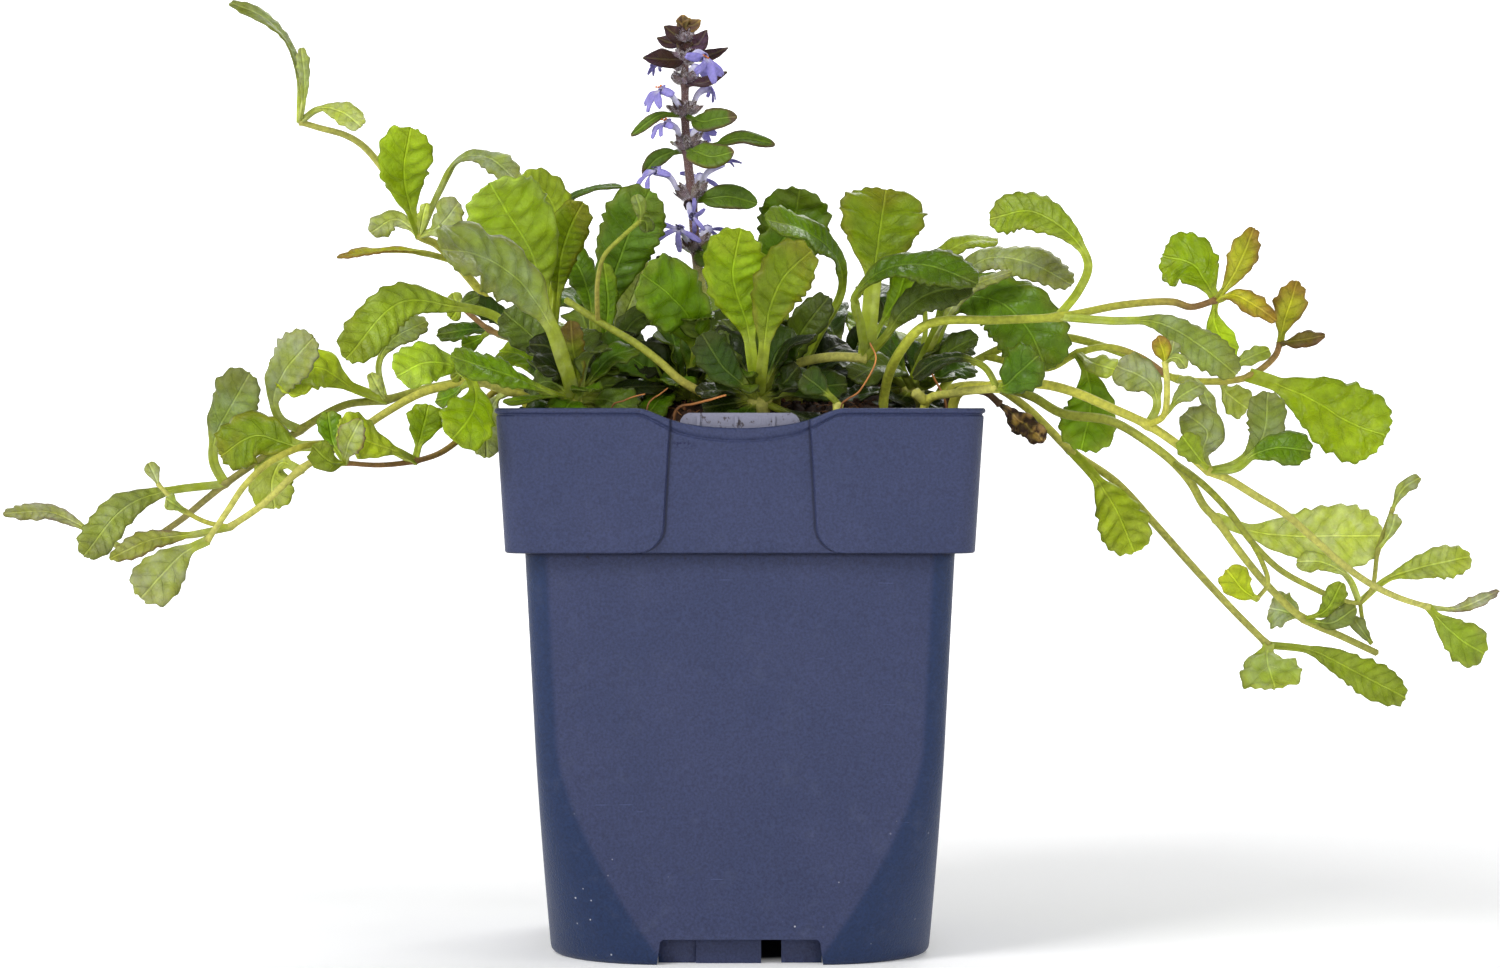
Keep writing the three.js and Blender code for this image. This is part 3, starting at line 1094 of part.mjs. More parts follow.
function spikeParts() {
  const { way, from, to, bracts } = SPIKE;
  const rooted = rootedWay(way);
  const pieces = [rootedStem(rooted, from, to)];
  const points = rooted.slice(1);
  for (const bract of bracts) {
    const leaf = { stalk: 0.1, teeth: 0, fold: 22, thick: 0.8, ...bract };
    const [next, ...rest] = bract.way.map(seen);
    pieces.push(blade([leafFoot(points[bract.at], next, to), next, ...rest], leaf, to));
  }
  for (const { at, mouth } of FLOWERS) pieces.push(calyx(points[at], seen(mouth)));
  for (let whorl = 4; whorl <= 10; whorl += 1) {
    const centre = points[whorl];
    const taken = FLOWERS.filter(({ at }) => at === whorl).map(({ mouth }) => {
      const reach = seen(mouth).sub(centre);
      return Math.atan2(reach.y, reach.x);
    });
    for (let i = 0; i < 6; i += 1) {
      const angle = ((i + (whorl % 2) / 2) / 6) * 2 * Math.PI;
      const near = taken.some((other) => Math.cos(other - angle) > Math.cos(0.6));
      if (near) continue;
      const length = mix(5.6, 3.6, (whorl - 4) / 6);
      const reach = new THREE.Vector3(Math.cos(angle) * 0.72, Math.sin(angle) * 0.72, 0.75);
      pieces.push(bud(centre, centre.clone().addScaledVector(reach, length), 1.2));
    }
  }
  return fuse(pieces);
}

// A petal lobe is a thin plate that widens from its root towards a blunt tip
function lobe(from, tip, wide, facing) {
  const along = tip.clone().sub(from);
  const across = new THREE.Vector3().crossVectors(along, facing).normalize();
  const upper = new THREE.Vector3().crossVectors(across, along).normalize();
  const widest = from.clone().addScaledVector(along, 0.7);
  const ring = [[-1, 1], [1, 1], [1, -1], [-1, -1]].map(([edge, layer]) => widest.clone()
    .addScaledVector(across, (edge * wide) / 2)
    .addScaledVector(upper, layer * 0.35));
  return loft([[from], ring, [tip]]);
}

function corollaBody({ at, mouth, bend, throat, lip }) {
  const root = seen(SPIKE.way[at]);
  const opening = seen(mouth);
  const seat = opening.clone().lerp(root, 0.2);
  const gape = seen(throat);
  const tip = seen(lip);
  const tube = stem([seat, opening, seen(bend), gape], THROAT_RADIUS, 1.1);
  const drop = tip.clone().sub(gape);
  const outward = gape.clone().sub(seen(bend)).normalize();
  const sideways = new THREE.Vector3().crossVectors(drop, outward).normalize();
  const reach = drop.length();
  const sideTip = (sign) => gape.clone()
    .addScaledVector(drop, 0.5)
    .addScaledVector(sideways, sign * reach * 0.55);
  const inner = gape.clone().addScaledVector(outward, -0.5);
  return fuse([
    tube,
    lobe(inner, tip, reach * 0.55, outward),
    lobe(inner, sideTip(1), reach * 0.34, outward),
    lobe(inner, sideTip(-1), reach * 0.34, outward),
  ]);
}

function mesh(name, manifold, material) {
  const made = new THREE.Mesh(geometryOf(manifold), material);
  made.name = name;
  return made;
}

const plant = new THREE.Group();
for (const piece of PLANTS) {
  plant.add(mesh(piece.name, plantBody(piece), piece.name === 'dead_leaf' ? deadLeaf : foliage));
}
plant.add(mesh('flower_spike', spikeParts(), spikeSkin));
FLOWERS.forEach((flower, i) => plant.add(mesh(`corolla_${i + 1}`, corollaBody(flower), petal)));
STRAWS.forEach(({ way, from }, i) => {
  plant.add(mesh(`straw_${i + 1}`, solid(rootedStem(rootedWay(way), from, from * 0.8)), straw));
});

const tongueRoom = box(-14.2, 14.2, -53, -48.4, 99, 130);
let soil = solid(soilBody()).subtract(solid(tongueRoom));
for (const { x, y, bottom, radius } of holes) {
  const hole = new THREE.CylinderGeometry(radius, radius, 30, 6).rotateX(Math.PI / 2);
  soil = soil.subtract(solid(hole.translate(x, y, bottom + 15)));
}

const potted = new THREE.Group();
potted.add(mesh('pot', potSolid(), plastic), mesh('soil', soil, peat), plant);
export default potted;
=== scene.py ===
import math

import bpy
import numpy as np
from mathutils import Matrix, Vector


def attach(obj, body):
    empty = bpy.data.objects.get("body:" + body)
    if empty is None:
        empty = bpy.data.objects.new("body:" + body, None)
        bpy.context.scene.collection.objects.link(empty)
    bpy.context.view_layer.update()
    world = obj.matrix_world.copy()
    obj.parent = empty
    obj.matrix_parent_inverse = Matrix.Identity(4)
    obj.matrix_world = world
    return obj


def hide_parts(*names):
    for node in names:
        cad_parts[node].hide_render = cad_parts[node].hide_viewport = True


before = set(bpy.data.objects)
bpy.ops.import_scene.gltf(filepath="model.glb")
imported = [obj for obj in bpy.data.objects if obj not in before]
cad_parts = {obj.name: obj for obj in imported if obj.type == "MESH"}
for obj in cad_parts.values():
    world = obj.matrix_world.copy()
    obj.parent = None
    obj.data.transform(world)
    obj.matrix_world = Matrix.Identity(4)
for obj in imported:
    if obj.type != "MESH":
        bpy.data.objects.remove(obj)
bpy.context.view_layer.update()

MM = 0.001

# The stem and its point that a leaf grows from, how far its upper side looks up and to a side and how far
# it is folded, in degrees, its large waves, and its stalk's share of its length. Bracts have no teeth.
USUAL_LEAF = {'on': 'main', 'at': 0, 'face': 25, 'side': 0, 'fold': 16, 'teeth': 3, 'stalk': 0.28}

# The highest whorls of the spike whose bracts are green and dark
TOP_GREEN_WHORL = 7
TOP_DARK_WHORL = 10

# The camera sees the photograph's frame. Its eye stands at rim height, in front of the pot.
IMAGE_WIDTH = 1500
IMAGE_HEIGHT = 968
SENSOR_WIDTH = 36
EYE_DISTANCE = 950
VIEW_SCALE = 4000
MIDDLE_U = 740
RIM_V = 408
RIM_HEIGHT = 126.3


def make_camera():
    """The photograph's view, shifted so that the eye can stand at the height of the rim"""
    data = bpy.data.cameras.new('camera')
    data.sensor_width = SENSOR_WIDTH
    data.lens = SENSOR_WIDTH * VIEW_SCALE / IMAGE_WIDTH
    data.shift_x = (IMAGE_WIDTH / 2 - MIDDLE_U) / IMAGE_WIDTH
    data.shift_y = (RIM_V - IMAGE_HEIGHT / 2) / IMAGE_WIDTH
    data.clip_start = 10 * MM
    camera = bpy.data.objects.new('camera', data)
    camera.location = (0, -EYE_DISTANCE * MM, RIM_HEIGHT * MM)
    camera.rotation_euler = (math.radians(90), 0, 0)
    bpy.context.scene.collection.objects.link(camera)
    bpy.context.scene.camera = camera


make_camera()


def seen(point):
    """A point (u, v, depth) of the plant, as it shows in the photograph, in millimetres"""
    u, v, depth = point
    scale = (EYE_DISTANCE + depth) / VIEW_SCALE
    return np.array([(u - MIDDLE_U) * scale, depth, RIM_HEIGHT + (RIM_V - v) * scale])


def smooth(low, high, x):
    """A smooth step from 0 at low to 1 at high"""
    share = np.clip((x - low) / (high - low), 0, 1)
    return share * share * (3 - 2 * share)


def mix(first, second, share):
    return first + (second - first) * share


def unit(vectors):
    return vectors / np.linalg.norm(vectors, axis=-1, keepdims=True)


def srgb(red, green, blue):
    """A screen colour as a colour of light"""
    values = np.array([red, green, blue]) / 255
    return np.where(values <= 0.04045, values / 12.92, ((values + 0.055) / 1.055) ** 2.4)


def ripple(points, scale, seed):
    """Smooth noise from -1 to 1 at points, made of a few crossing waves"""
    draws = np.random.default_rng(seed)
    total = 0
    for size in (1, 0.47, 0.23):
        ways = draws.normal(size=(5, 3)) / (scale * size)
        phases = draws.uniform(0, 2 * math.pi, 5)
        total = total + size * np.sin(points @ ways.T + phases).mean(axis=-1)
    return total * 1.3


def turns(count):
    """Angles spread evenly round a circle"""
    return np.arange(count) / count * 2 * math.pi


class Curve:
    """A centripetal Catmull-Rom curve, with places given as a share of its length"""

    def __init__(self, points):
        given = np.asarray(points, float)
        self.knots = np.vstack([2 * given[0] - given[1], given, 2 * given[-1] - given[-2]])
        self.parameters = np.linspace(0, 1, 201)
        fine = self.place(self.parameters)[0]
        steps = np.linalg.norm(np.diff(fine, axis=0), axis=1)
        self.lengths = np.concatenate([[0], np.cumsum(steps)])
        self.length = self.lengths[-1]

    def place(self, parameters):
        """Points and directions at parameters that run from 0 to 1 knot by knot"""
        spans = len(self.knots) - 3
        position = np.clip(parameters, 0, 1) * spans
        index = np.minimum(position.astype(int), spans - 1)
        t = (position - index)[:, None]
        x0, x1, x2, x3 = (self.knots[index + i] for i in range(4))
        pairs = ((x0, x1), (x1, x2), (x2, x3))
        d0, d1, d2 = (np.sqrt(np.linalg.norm(b - a, axis=1))[:, None] for a, b in pairs)
        t1 = ((x1 - x0) / d0 - (x2 - x0) / (d0 + d1) + (x2 - x1) / d1) * d1
        t2 = ((x2 - x1) / d1 - (x3 - x1) / (d1 + d2) + (x3 - x2) / d2) * d1
        c2 = 3 * (x2 - x1) - 2 * t1 - t2
        c3 = 2 * (x1 - x2) + t1 + t2
        return x1 + t * (t1 + t * (c2 + t * c3)), unit(t1 + t * (2 * c2 + 3 * t * c3))

    def at(self, shares):
        """Points and directions at shares of the length"""
        return self.place(np.interp(np.asarray(shares) * self.length, self.lengths, self.parameters))


def grid_faces(rows, columns, closed=False, flip=False, start=0):
    """Quads of a grid of points, row by row. A closed grid joins its last column to its first."""
    starts = np.arange(columns if closed else columns - 1)
    row, column = np.meshgrid(np.arange(rows - 1), starts, indexing='ij')
    following = (column + 1) % columns
    near = row * columns
    far = near + columns
    quads = np.stack([near + column, near + following, far + following, far + column], axis=-1)
    quads = quads.reshape(-1, 4)
    return start + (quads[:, ::-1] if flip else quads)


def shell_faces(rows, columns):
    """Quads of two grids, an upper and a lower, joined round their edge"""
    size = rows * columns
    first = np.arange(columns)
    last = first + (rows - 1) * columns
    left = np.arange(rows) * columns
    right = left + columns - 1
    edge = np.concatenate([first[:-1], right[:-1], last[::-1][:-1], left[::-1][:-1]])
    following = np.roll(edge, -1)
    rim = np.stack([following, edge, edge + size, following + size], axis=-1)
    return [grid_faces(rows, columns), grid_faces(rows, columns, flip=True, start=size), rim]


def stack_faces(count, size):
    """Faces of a stack of rings, with a fan at each end round one of the last two points"""
    column = np.arange(size)
    following = (column + 1) % size
    last = (count - 1) * size
    start = np.stack([following, column, np.full(size, count * size)], axis=-1)
    end = np.stack([last + column, last + following, np.full(size, count * size + 1)], axis=-1)
    return [grid_faces(count, size, closed=True), start, end]


def with_ends(values):
    """A stack's values, with those of its two end points"""
    return np.vstack([values, values[[0, -1]]])


def both(upper, lower):
    """Two grids of vectors as one list"""
    return np.concatenate([upper.reshape(-1, 3), lower.reshape(-1, 3)])


def grid_normals(points):
    """The directions that a grid of points faces"""
    down = np.gradient(points, axis=0)
    over = np.gradient(points, axis=1)
    return unit(np.cross(over, down) + 1e-9)


class Batch:
    """Shells that become one mesh.

    Each point has a tint, the place that its texture takes, and two vectors that the materials read. vein
    is the place across the leaf, the number of side veins so far and the half-width. skin is the gloss, the
    side (1 for upper, -1 for under) and whether the point is on the blade (1) or the stalk (0).
    """

    def __init__(self):
        self.points = []
        self.faces = []
        self.kinds = []
        self.layers = {'tint': [], 'place': [], 'vein': [], 'skin': []}
        self.count = 0

    def add(self, points, faces, kind, tint, place=None, vein=(0, 0, 0), skin=(0.3, 1, 0)):
        """Adds a shell. faces is a list of index arrays, each with three or four columns."""
        points = np.asarray(points, float).reshape(-1, 3)
        given = {'tint': tint, 'place': points if place is None else place, 'vein': vein, 'skin': skin}
        for key, value in given.items():
            value = np.asarray(value, float)
            shape = value.reshape(-1, 3) if value.ndim > 1 else value
            self.layers[key].append(np.broadcast_to(shape, points.shape))
        self.points.append(points)
        for array in faces:
            self.faces.append(np.asarray(array, int) + self.count)
            self.kinds.append(np.full(len(array), kind))
        self.count += len(points)

    def add_stack(self, rings, ends, kind, tints, **layers):
        """A closed stack of rings, with a middle point beyond each end"""
        self.add(np.vstack([*rings, *ends]), stack_faces(len(rings), len(rings[0])), kind, tints, **layers)

    def build(self, name, materials):
        """The shells as one object"""
        mesh = bpy.data.meshes.new(name)
        points = np.concatenate(self.points) * MM
        sizes = np.concatenate([np.full(len(array), array.shape[1]) for array in self.faces])
        corners = np.concatenate([array.ravel() for array in self.faces])
        mesh.vertices.add(len(points))
        mesh.vertices.foreach_set('co', points.astype(np.float32).ravel())
        mesh.loops.add(len(corners))
        mesh.loops.foreach_set('vertex_index', corners.astype(np.int32))
        mesh.polygons.add(len(sizes))
        polygons = {'loop_start': np.cumsum(sizes) - sizes, 'loop_total': sizes,
                    'material_index': np.concatenate(self.kinds)}
        for key, values in polygons.items():
            mesh.polygons.foreach_set(key, values.astype(np.int32))
        mesh.polygons.foreach_set('use_smooth', np.ones(len(sizes), bool))
        for key, parts in self.layers.items():
            values = np.concatenate(parts).astype(np.float32)
            kind, field = 'FLOAT_VECTOR', 'vector'
            if key == 'tint':
                values = np.hstack([np.clip(values, 0, 1), np.ones((len(values), 1), np.float32)])
                kind, field = 'FLOAT_COLOR', 'color'
            mesh.attributes.new(key, kind, 'POINT').data.foreach_set(field, values.ravel())
        mesh.update(calc_edges=True)
        mesh.validate()
        for material in materials:
            mesh.materials.append(material)
        made = bpy.data.objects.new(name, mesh)
        bpy.context.scene.collection.objects.link(made)
        return made


def stand_for(piece, node):
    """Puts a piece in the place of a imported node"""
    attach(piece, 'root')
    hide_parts(node)


def finish_piece(batch, node, slot, *materials):
    """A batch as the piece that stands for a node"""
    stand_for(batch.build(node + '_fine', materials), node)


def strand(first, last, *way, **joint):
    """A stem's radii at its foot and its end, its points, and the stem and point that it grows from"""
    return {'radii': (first, last), 'way': way, **joint}


def leaf(tone, wide, *way, **shape):
    """A leaf's tone, width and midrib's points beyond the stem, and what differs from the usual shape"""
    return {'tone': tone, 'wide': wide, 'way': way, **USUAL_LEAF, **shape}


def bract(whorl, wide, face, *way, **shape):
    """A bract of the spike: green with a stalk low down, broad and dark or tan without one higher up"""
    shape = {'at': whorl, 'face': face, 'fold': 22, 'teeth': 0, **shape}
    if whorl <= TOP_GREEN_WHORL:
        return leaf('bract_green', wide, *way, point=0.5, **shape)
    tone = 'bract_tan' if whorl > TOP_DARK_WHORL else 'bract_dark'
    return leaf(tone, 1.35 * wide, *way, point=0.85, stalk=0.05, **shape)


# The plant's points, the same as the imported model's. Each plant has its name, its stems' tone, its
# stems and its leaves.
PLANTS = [
    ('runner_left_high', 'olive_stem', {
        'main': strand(1.1, 0.7, (532, 398, 20), (496, 380, 24), (430, 388, 24), (385, 400, 20),
            (345, 405, 16), (300, 430, 12), (262, 458, 9), (225, 484, 6), (205, 500, 8), (178, 522, 10),
            (140, 545, 9), (121, 547, 8)),
    }, [
        leaf('mossy', 9.5, (165, 492, 2), (125, 508, -2), (84, 556, -6), at=7, teeth=4),
        leaf('mossy', 12, (214, 462, 5), (216, 436, 3), (232, 405, -1), (250, 374, -5), at=7, face=15),
        leaf('greypurple', 6.5, (92, 532, 10), (50, 513, 12), (3, 514, 6), at=11, face=45, teeth=5),
        leaf('grey', 11.5, (281, 420, 9), (274, 400, 6), (286, 370, 1), (314, 338, -4), at=5, face=20),
        leaf('sunlit', 14, (352, 388, 15), (316, 368, 9), (277, 386, 3), at=3, face=30, teeth=4),
        leaf('mossy', 8, (379, 364, 24), (393, 340, 26), (427, 322, 26), at=3, face=40, stalk=0.4),
        leaf('pale', 3.5, (377, 386, 12), (371, 373, 10), at=3, face=10, teeth=2),
    ]),
    ('runner_left_low', 'green_stem', {
        'main': strand(1.15, 0.8, (524, 398, -20), (494, 384, -23), (430, 390, -26), (385, 413, -28),
            (340, 445, -30), (300, 470, -32), (262, 505, -34), (230, 527, -36)),
        'bud_twig': strand(0.6, 0.5, (206, 522, -33), (185, 511, -32), (170, 497, -31), (158, 484, -30),
            on='main', at=7),
        'front_twig': strand(0.85, 0.7, (305, 446, -40), (270, 462, -44), (245, 485, -47), (228, 510, -50),
            (207, 541, -52), on='main', at=4),
    }, [
        leaf('purpled', 7, (190, 535, -38), (150, 541, -42), (110, 559, -46), at=7, face=35, teeth=5),
        leaf('olive', 13, (295, 446, -26), (255, 436, -24), (221, 456, -22), at=4, face=20),
        leaf('light', 10.5, (280, 464, -25), (272, 482, -24), (275, 508, -24), at=5, face=10, stalk=0.2),
        leaf('grey', 3.4, (155, 476, -30), (149, 463, -30), on='bud_twig', at=4, teeth=2, stalk=0),
        leaf('pale', 4, (176, 506, -36), (166, 499, -39), on='bud_twig', at=2, teeth=2),
        leaf('grey', 11.5, (184, 553, -55), (141, 598, -60), on='front_twig', at=5, face=5, teeth=5,
            stalk=0.15),
    ]),
    ('runner_left_rim', 'brown_stem', {
        'main': strand(0.85, 0.6, (530, 400, -6), (494, 392, -10), (477, 424, -15), (460, 439, -18),
            (440, 453, -22), (415, 461, -27), (380, 465, -33), (345, 463, -38)),
    }, [
        leaf('sunlit', 10.5, (397, 452, -33), (366, 441, -38), (339, 425, -43), at=5),
        leaf('leafy', 6, (333, 442, -36), (328, 412, -34), at=7, face=20, teeth=2),
        leaf('purpled', 7.5, (349, 443, -46), (361, 420, -50), at=7, face=10, stalk=0.15),
        leaf('mid', 6.5, (330, 462, -43), (313, 446, -47), at=7, face=15, stalk=0.1),
        leaf('bright', 8.5, (419, 444, -23), (424, 425, -21), (429, 405, -20), at=5, face=15),
    ]),
    ('runner_left_bright', 'green_stem', {
        'main': strand(0.9, 0.8, (530, 400, -40), (508, 392, -42), (490, 386, -44), (470, 378, -47)),
    }, [
        leaf('spring', 10.5, (452, 366, -52), (426, 363, -57), (397, 376, -62), at=3, face=15, stalk=0.15),
        leaf('bright', 12.5, (476, 398, -52), (468, 420, -58), (452, 439, -62), at=3, face=5, side=10,
            stalk=0.12),
        leaf('olive', 3, (461, 374, -44), (452, 380, -43), at=3, face=20, teeth=2, stalk=0),
        leaf('grey', 7, (494, 403, -33), (487, 425, -31), (487, 457, -30), at=1, face=10, teeth=2),
        leaf('green', 4.5, (452, 396, -40), (436, 401, -38), at=3, face=35, teeth=2),
    ]),
    ('runner_high_left', 'green_stem', {
        'main': strand(1.2, 0.75, (550, 396, 32), (512, 335, 40), (475, 285, 41), (452, 259, 38),
            (436, 244, 36), (420, 236, 34), (415, 222, 34), (400, 197, 33), (380, 165, 31), (362, 145, 30),
            (345, 135, 29), (320, 128, 28), (300, 122, 27)),
    }, [
        leaf('bright', 13.5, (410, 207, 28), (404, 172, 23), (411, 128, 17), at=5, face=10, teeth=4,
            stalk=0.2),
        leaf('grey', 7.5, (440, 190, 40), (456, 162, 38), (487, 158, 32), (518, 183, 26), at=5, face=50,
            stalk=0.4),
        leaf('grey', 6.5, (395, 220, 38), (371, 233, 36), at=5, face=30, stalk=0.15),
        leaf('grey', 8.5, (440, 226, 26), (459, 203, 20), at=5, face=15, stalk=0.2),
        leaf('pale', 3, (423, 218, 28), (427, 203, 26), at=5, face=10, teeth=2, stalk=0),
        leaf('bronze', 6.5, (423, 252, 33), (385, 251, 31), (337, 257, 30), at=3, face=70, teeth=4),
        leaf('mossy', 4.6, (300, 98, 26), (297, 68, 27), (284, 38, 29), (262, 17, 30), (230, 3, 31), at=12,
            face=5, side=62, teeth=5, stalk=0.1),
        leaf('grey', 3.4, (304, 98, 22), (304, 76, 20), (301, 48, 19), at=12, face=0, side=30),
        leaf('pale', 6.5, (318, 109, 24), (341, 112, 20), (361, 127, 17), at=12, face=30),
    ]),
    ('runner_left_bud', 'brown_stem', {
        'main': strand(0.9, 0.6, (560, 398, -16), (554, 365, -16), (540, 344, -14), (512, 338, -6),
            (490, 330, -1), (472, 316, 1), (461, 306, 2)),
    }, [
        leaf('darkgrey', 4, (466, 302, 1), (479, 297, -1), at=6, face=10, teeth=2, stalk=0),
        leaf('light', 4, (456, 302, 5), (453, 293, 5), at=6, face=10, teeth=2, stalk=0),
        leaf('mid', 3.5, (458, 310, 3), (451, 319, 2), at=6, face=10, teeth=2, stalk=0),
        leaf('mid', 11.5, (497, 318, -3), (450, 306, -9), (400, 303, -14), (346, 359, -20), at=3, face=20,
            teeth=4),
        leaf('dark', 5.5, (475, 330, 10), (437, 335, 13), at=3, face=40),
        leaf('shade', 6, (500, 318, 8), (470, 300, 8), at=3, face=30),
        leaf('leafy', 4.2, (478, 340, 2), (462, 346, 0), at=4, teeth=2),
    ]),
    ('rosette_left_front', 'green_stem', {
        'main': strand(2.6, 2.2, (575, 402, -38)),
    }, [
        leaf('mossy', 18, (564, 365, -46), (549, 324, -53), (516, 279, -61), (478, 256, -68),
            (441, 250, -76), face=32, teeth=5, stalk=0.36),
        leaf('darkgrey', 10, (558, 372, -32), (540, 345, -29), (504, 312, -27), face=15, stalk=0.35),
        leaf('young', 5.4, (577, 372, -42), (573, 347, -44), (571, 321, -46), face=15, teeth=4, stalk=0.1),
        leaf('green', 9, (548, 392, -46), (514, 378, -54), (481, 367, -59), (452, 357, -63), face=38),
        leaf('leafy', 5, (552, 396, -45), (528, 400, -47), (503, 402, -48), face=75, teeth=2, stalk=0.2),
    ]),
    ('rosette_left_middle', 'green_stem', {
        'main': strand(2.4, 2, (546, 398, 6)),
    }, [
        leaf('spring', 20, (541, 345, 3), (541, 295, -5), (530, 250, -15), (508, 214, -23), (490, 183, -31),
            face=5, teeth=5, stalk=0.4),
        leaf('mid', 10, (552, 300, 14), (560, 240, 14), (547, 195, 12), (519, 179, 10), face=10, stalk=0.5),
        leaf('olive', 9.5, (556, 310, 2), (561, 258, -4), (570, 228, -8), (583, 203, -12), face=5,
            stalk=0.45),
        leaf('dark', 5.5, (550, 290, 22), (550, 232, 22), (570, 199, 19), (597, 188, 17), (621, 187, 15),
            face=65, teeth=4, stalk=0.45),
        leaf('bright', 9, (536, 372, 12), (522, 356, 16), (500, 352, 20), face=40, teeth=2),
        leaf('deep', 9, (556, 376, 14), (570, 362, 19), (588, 356, 22), face=45, teeth=2),
        leaf('dark', 7, (532, 384, 2), (510, 376, -2), (488, 380, -6), face=50, teeth=2),
    ]),
    ('rosette_centre_left', 'green_stem', {
        'main': strand(2.4, 2, (598, 400, -16)),
    }, [
        leaf('gloss', 15, (600, 350, -18), (604, 312, -20), (618, 264, -24), (632, 228, -29),
            (650, 191, -35), face=12, teeth=4, stalk=0.34),
        leaf('green', 8, (594, 345, -6), (588, 292, 1), (576, 264, 5), (560, 250, 7), face=15, stalk=0.5),
        leaf('leafy', 5, (604, 345, -24), (608, 302, -26), (604, 263, -28), face=10, stalk=0.4),
        leaf('mossy', 7.5, (612, 350, -10), (632, 300, -8), (646, 262, -7), stalk=0.4),
        leaf('dark', 11, (592, 376, -8), (585, 352, -2), (578, 335, 2), face=30, teeth=2),
    ]),
    ('stolon_cream', 'cream_stem', {
        'main': strand(1.35, 1, (714, 402, -36), (700, 392, -37), (680, 380, -38), (660, 362, -38),
            (635, 343, -37), (598, 321, -34), (566, 300, -31)),
        'young_shoot': strand(0.7, 0.55, (597, 300, -39), (598, 278, -42), (604, 256, -44), (622, 237, -46),
            (640, 221, -48), on='main', at=5),
    }, [
        leaf('mossy', 3.2, (640, 208, -50), (636, 195, -51), on='young_shoot', at=5, face=5, teeth=2,
            stalk=0),
        leaf('darkgrey', 3.4, (646, 222, -50), (647, 232, -52), on='young_shoot', at=5, face=5, teeth=2,
            stalk=0),
    ]),
    ('rosette_centre', 'green_stem', {
        'main': strand(2.4, 2, (688, 400, -20)),
    }, [
        leaf('green', 17, (698, 350, -24), (690, 320, -28), (670, 296, -33), (642, 274, -38), face=20,
            teeth=4),
        leaf('gloss', 9, (664, 385, -26), (645, 368, -28), (622, 353, -29), (594, 345, -30)),
        leaf('deep', 6.5, (692, 340, -18), (682, 290, -18), (656, 258, -18), face=30, stalk=0.4),
        leaf('deep', 9, (676, 376, -14), (668, 352, -8), (656, 336, -2), face=35, teeth=2),
        leaf('dark', 7, (676, 388, -26), (658, 386, -29), (634, 390, -31), face=60, teeth=2),
    ]),
    ('rosette_centre_right', 'green_stem', {
        'main': strand(2.8, 2.4, (759, 400, -38)),
    }, [
        leaf('bright', 14, (753, 366, -40), (747, 325, -42), (733, 277, -47), (741, 229, -53), face=8,
            teeth=4, stalk=0.3),
        leaf('olive', 13, (764, 350, -48), (770, 308, -52), (785, 276, -57), (812, 251, -62), face=12,
            teeth=4, stalk=0.34),
        leaf('shade', 9, (744, 386, -46), (722, 366, -50), (702, 334, -53), face=18),
        leaf('deep', 8, (770, 394, -42), (784, 384, -44), (799, 367, -45), face=50, teeth=2),
    ]),
    ('rosette_centre_back', 'green_stem', {
        'main': strand(2.8, 2.4, (792, 392, 4)),
    }, [
        leaf('green', 17.5, (784, 340, 6), (782, 275, 8), (794, 222, 6), (800, 189, 3), face=3, teeth=4,
            stalk=0.45),
        leaf('green', 10.5, (816, 340, -6), (842, 290, -12), (836, 258, -17), (806, 232, -24),
            (766, 220, -31), face=40, stalk=0.5),
        leaf('gloss', 9.5, (774, 335, -4), (766, 285, -8), (776, 250, -13), (797, 224, -17), face=10,
            stalk=0.42),
        leaf('darkgrey', 8.5, (790, 360, -10), (802, 332, -14), (829, 297, -17)),
        leaf('olive', 8, (778, 384, -8), (760, 380, -13), (737, 370, -18), face=35, stalk=0.2),
        leaf('deep', 11, (806, 376, 8), (826, 352, 12), (846, 344, 16), face=40, teeth=2),
        leaf('bright', 10, (780, 370, 0), (768, 348, -4), (756, 334, -6), teeth=2),
    ]),
    ('runner_right_fan', 'green_stem', {
        'main': strand(1.15, 1.1, (776, 402, -22), (780, 376, -28), (800, 363, -32), (832, 357, -35),
            (866, 358, -36)),
    }, [
        leaf('olive', 20.5, (869, 325, -35), (873, 282, -32), (879, 236, -27), (886, 190, -20), at=4,
            face=3, teeth=6, stalk=0.4),
        leaf('dark', 11, (860, 325, -40), (856, 296, -45), (886, 270, -51), (926, 266, -57),
            (976, 284, -63), at=4, face=42, stalk=0.3),
        leaf('darkgrey', 9.5, (886, 336, -41), (903, 312, -46), (933, 293, -50), (973, 287, -54), at=4,
            stalk=0.24),
        leaf('leafy', 6, (878, 330, -30), (898, 296, -26), (908, 266, -24), at=4, face=10, stalk=0.4),
    ]),
    ('rosette_right', 'green_stem', {
        'main': strand(2.8, 2.4, (912, 388, -10)),
    }, [
        leaf('mid', 6.5, (925, 335, -2), (926, 288, 4), (946, 254, 6), (970, 242, 6), (998, 242, 5),
            face=55, teeth=4, stalk=0.5),
        leaf('grey', 10, (938, 330, -8), (955, 285, -10), (985, 260, -13), (1025, 262, -17),
            (1071, 285, -23), face=40, teeth=4, stalk=0.36),
        leaf('gloss', 17.5, (932, 345, -18), (956, 300, -22), (1000, 303, -27), (1030, 333, -31),
            (1046, 370, -35), face=18, teeth=4, stalk=0.3),
        leaf('grey', 4.5, (942, 325, -26), (968, 290, -29), (1012, 272, -31), face=50, teeth=2, stalk=0.4),
        leaf('darkgrey', 7.5, (930, 370, -20), (952, 350, -24), (978, 338, -27), face=40),
        leaf('shade', 10, (898, 372, -4), (880, 352, 2), (858, 346, 6), face=40, teeth=2),
        leaf('shade', 11, (926, 374, 0), (944, 352, 8), (966, 342, 14), face=35, teeth=2),
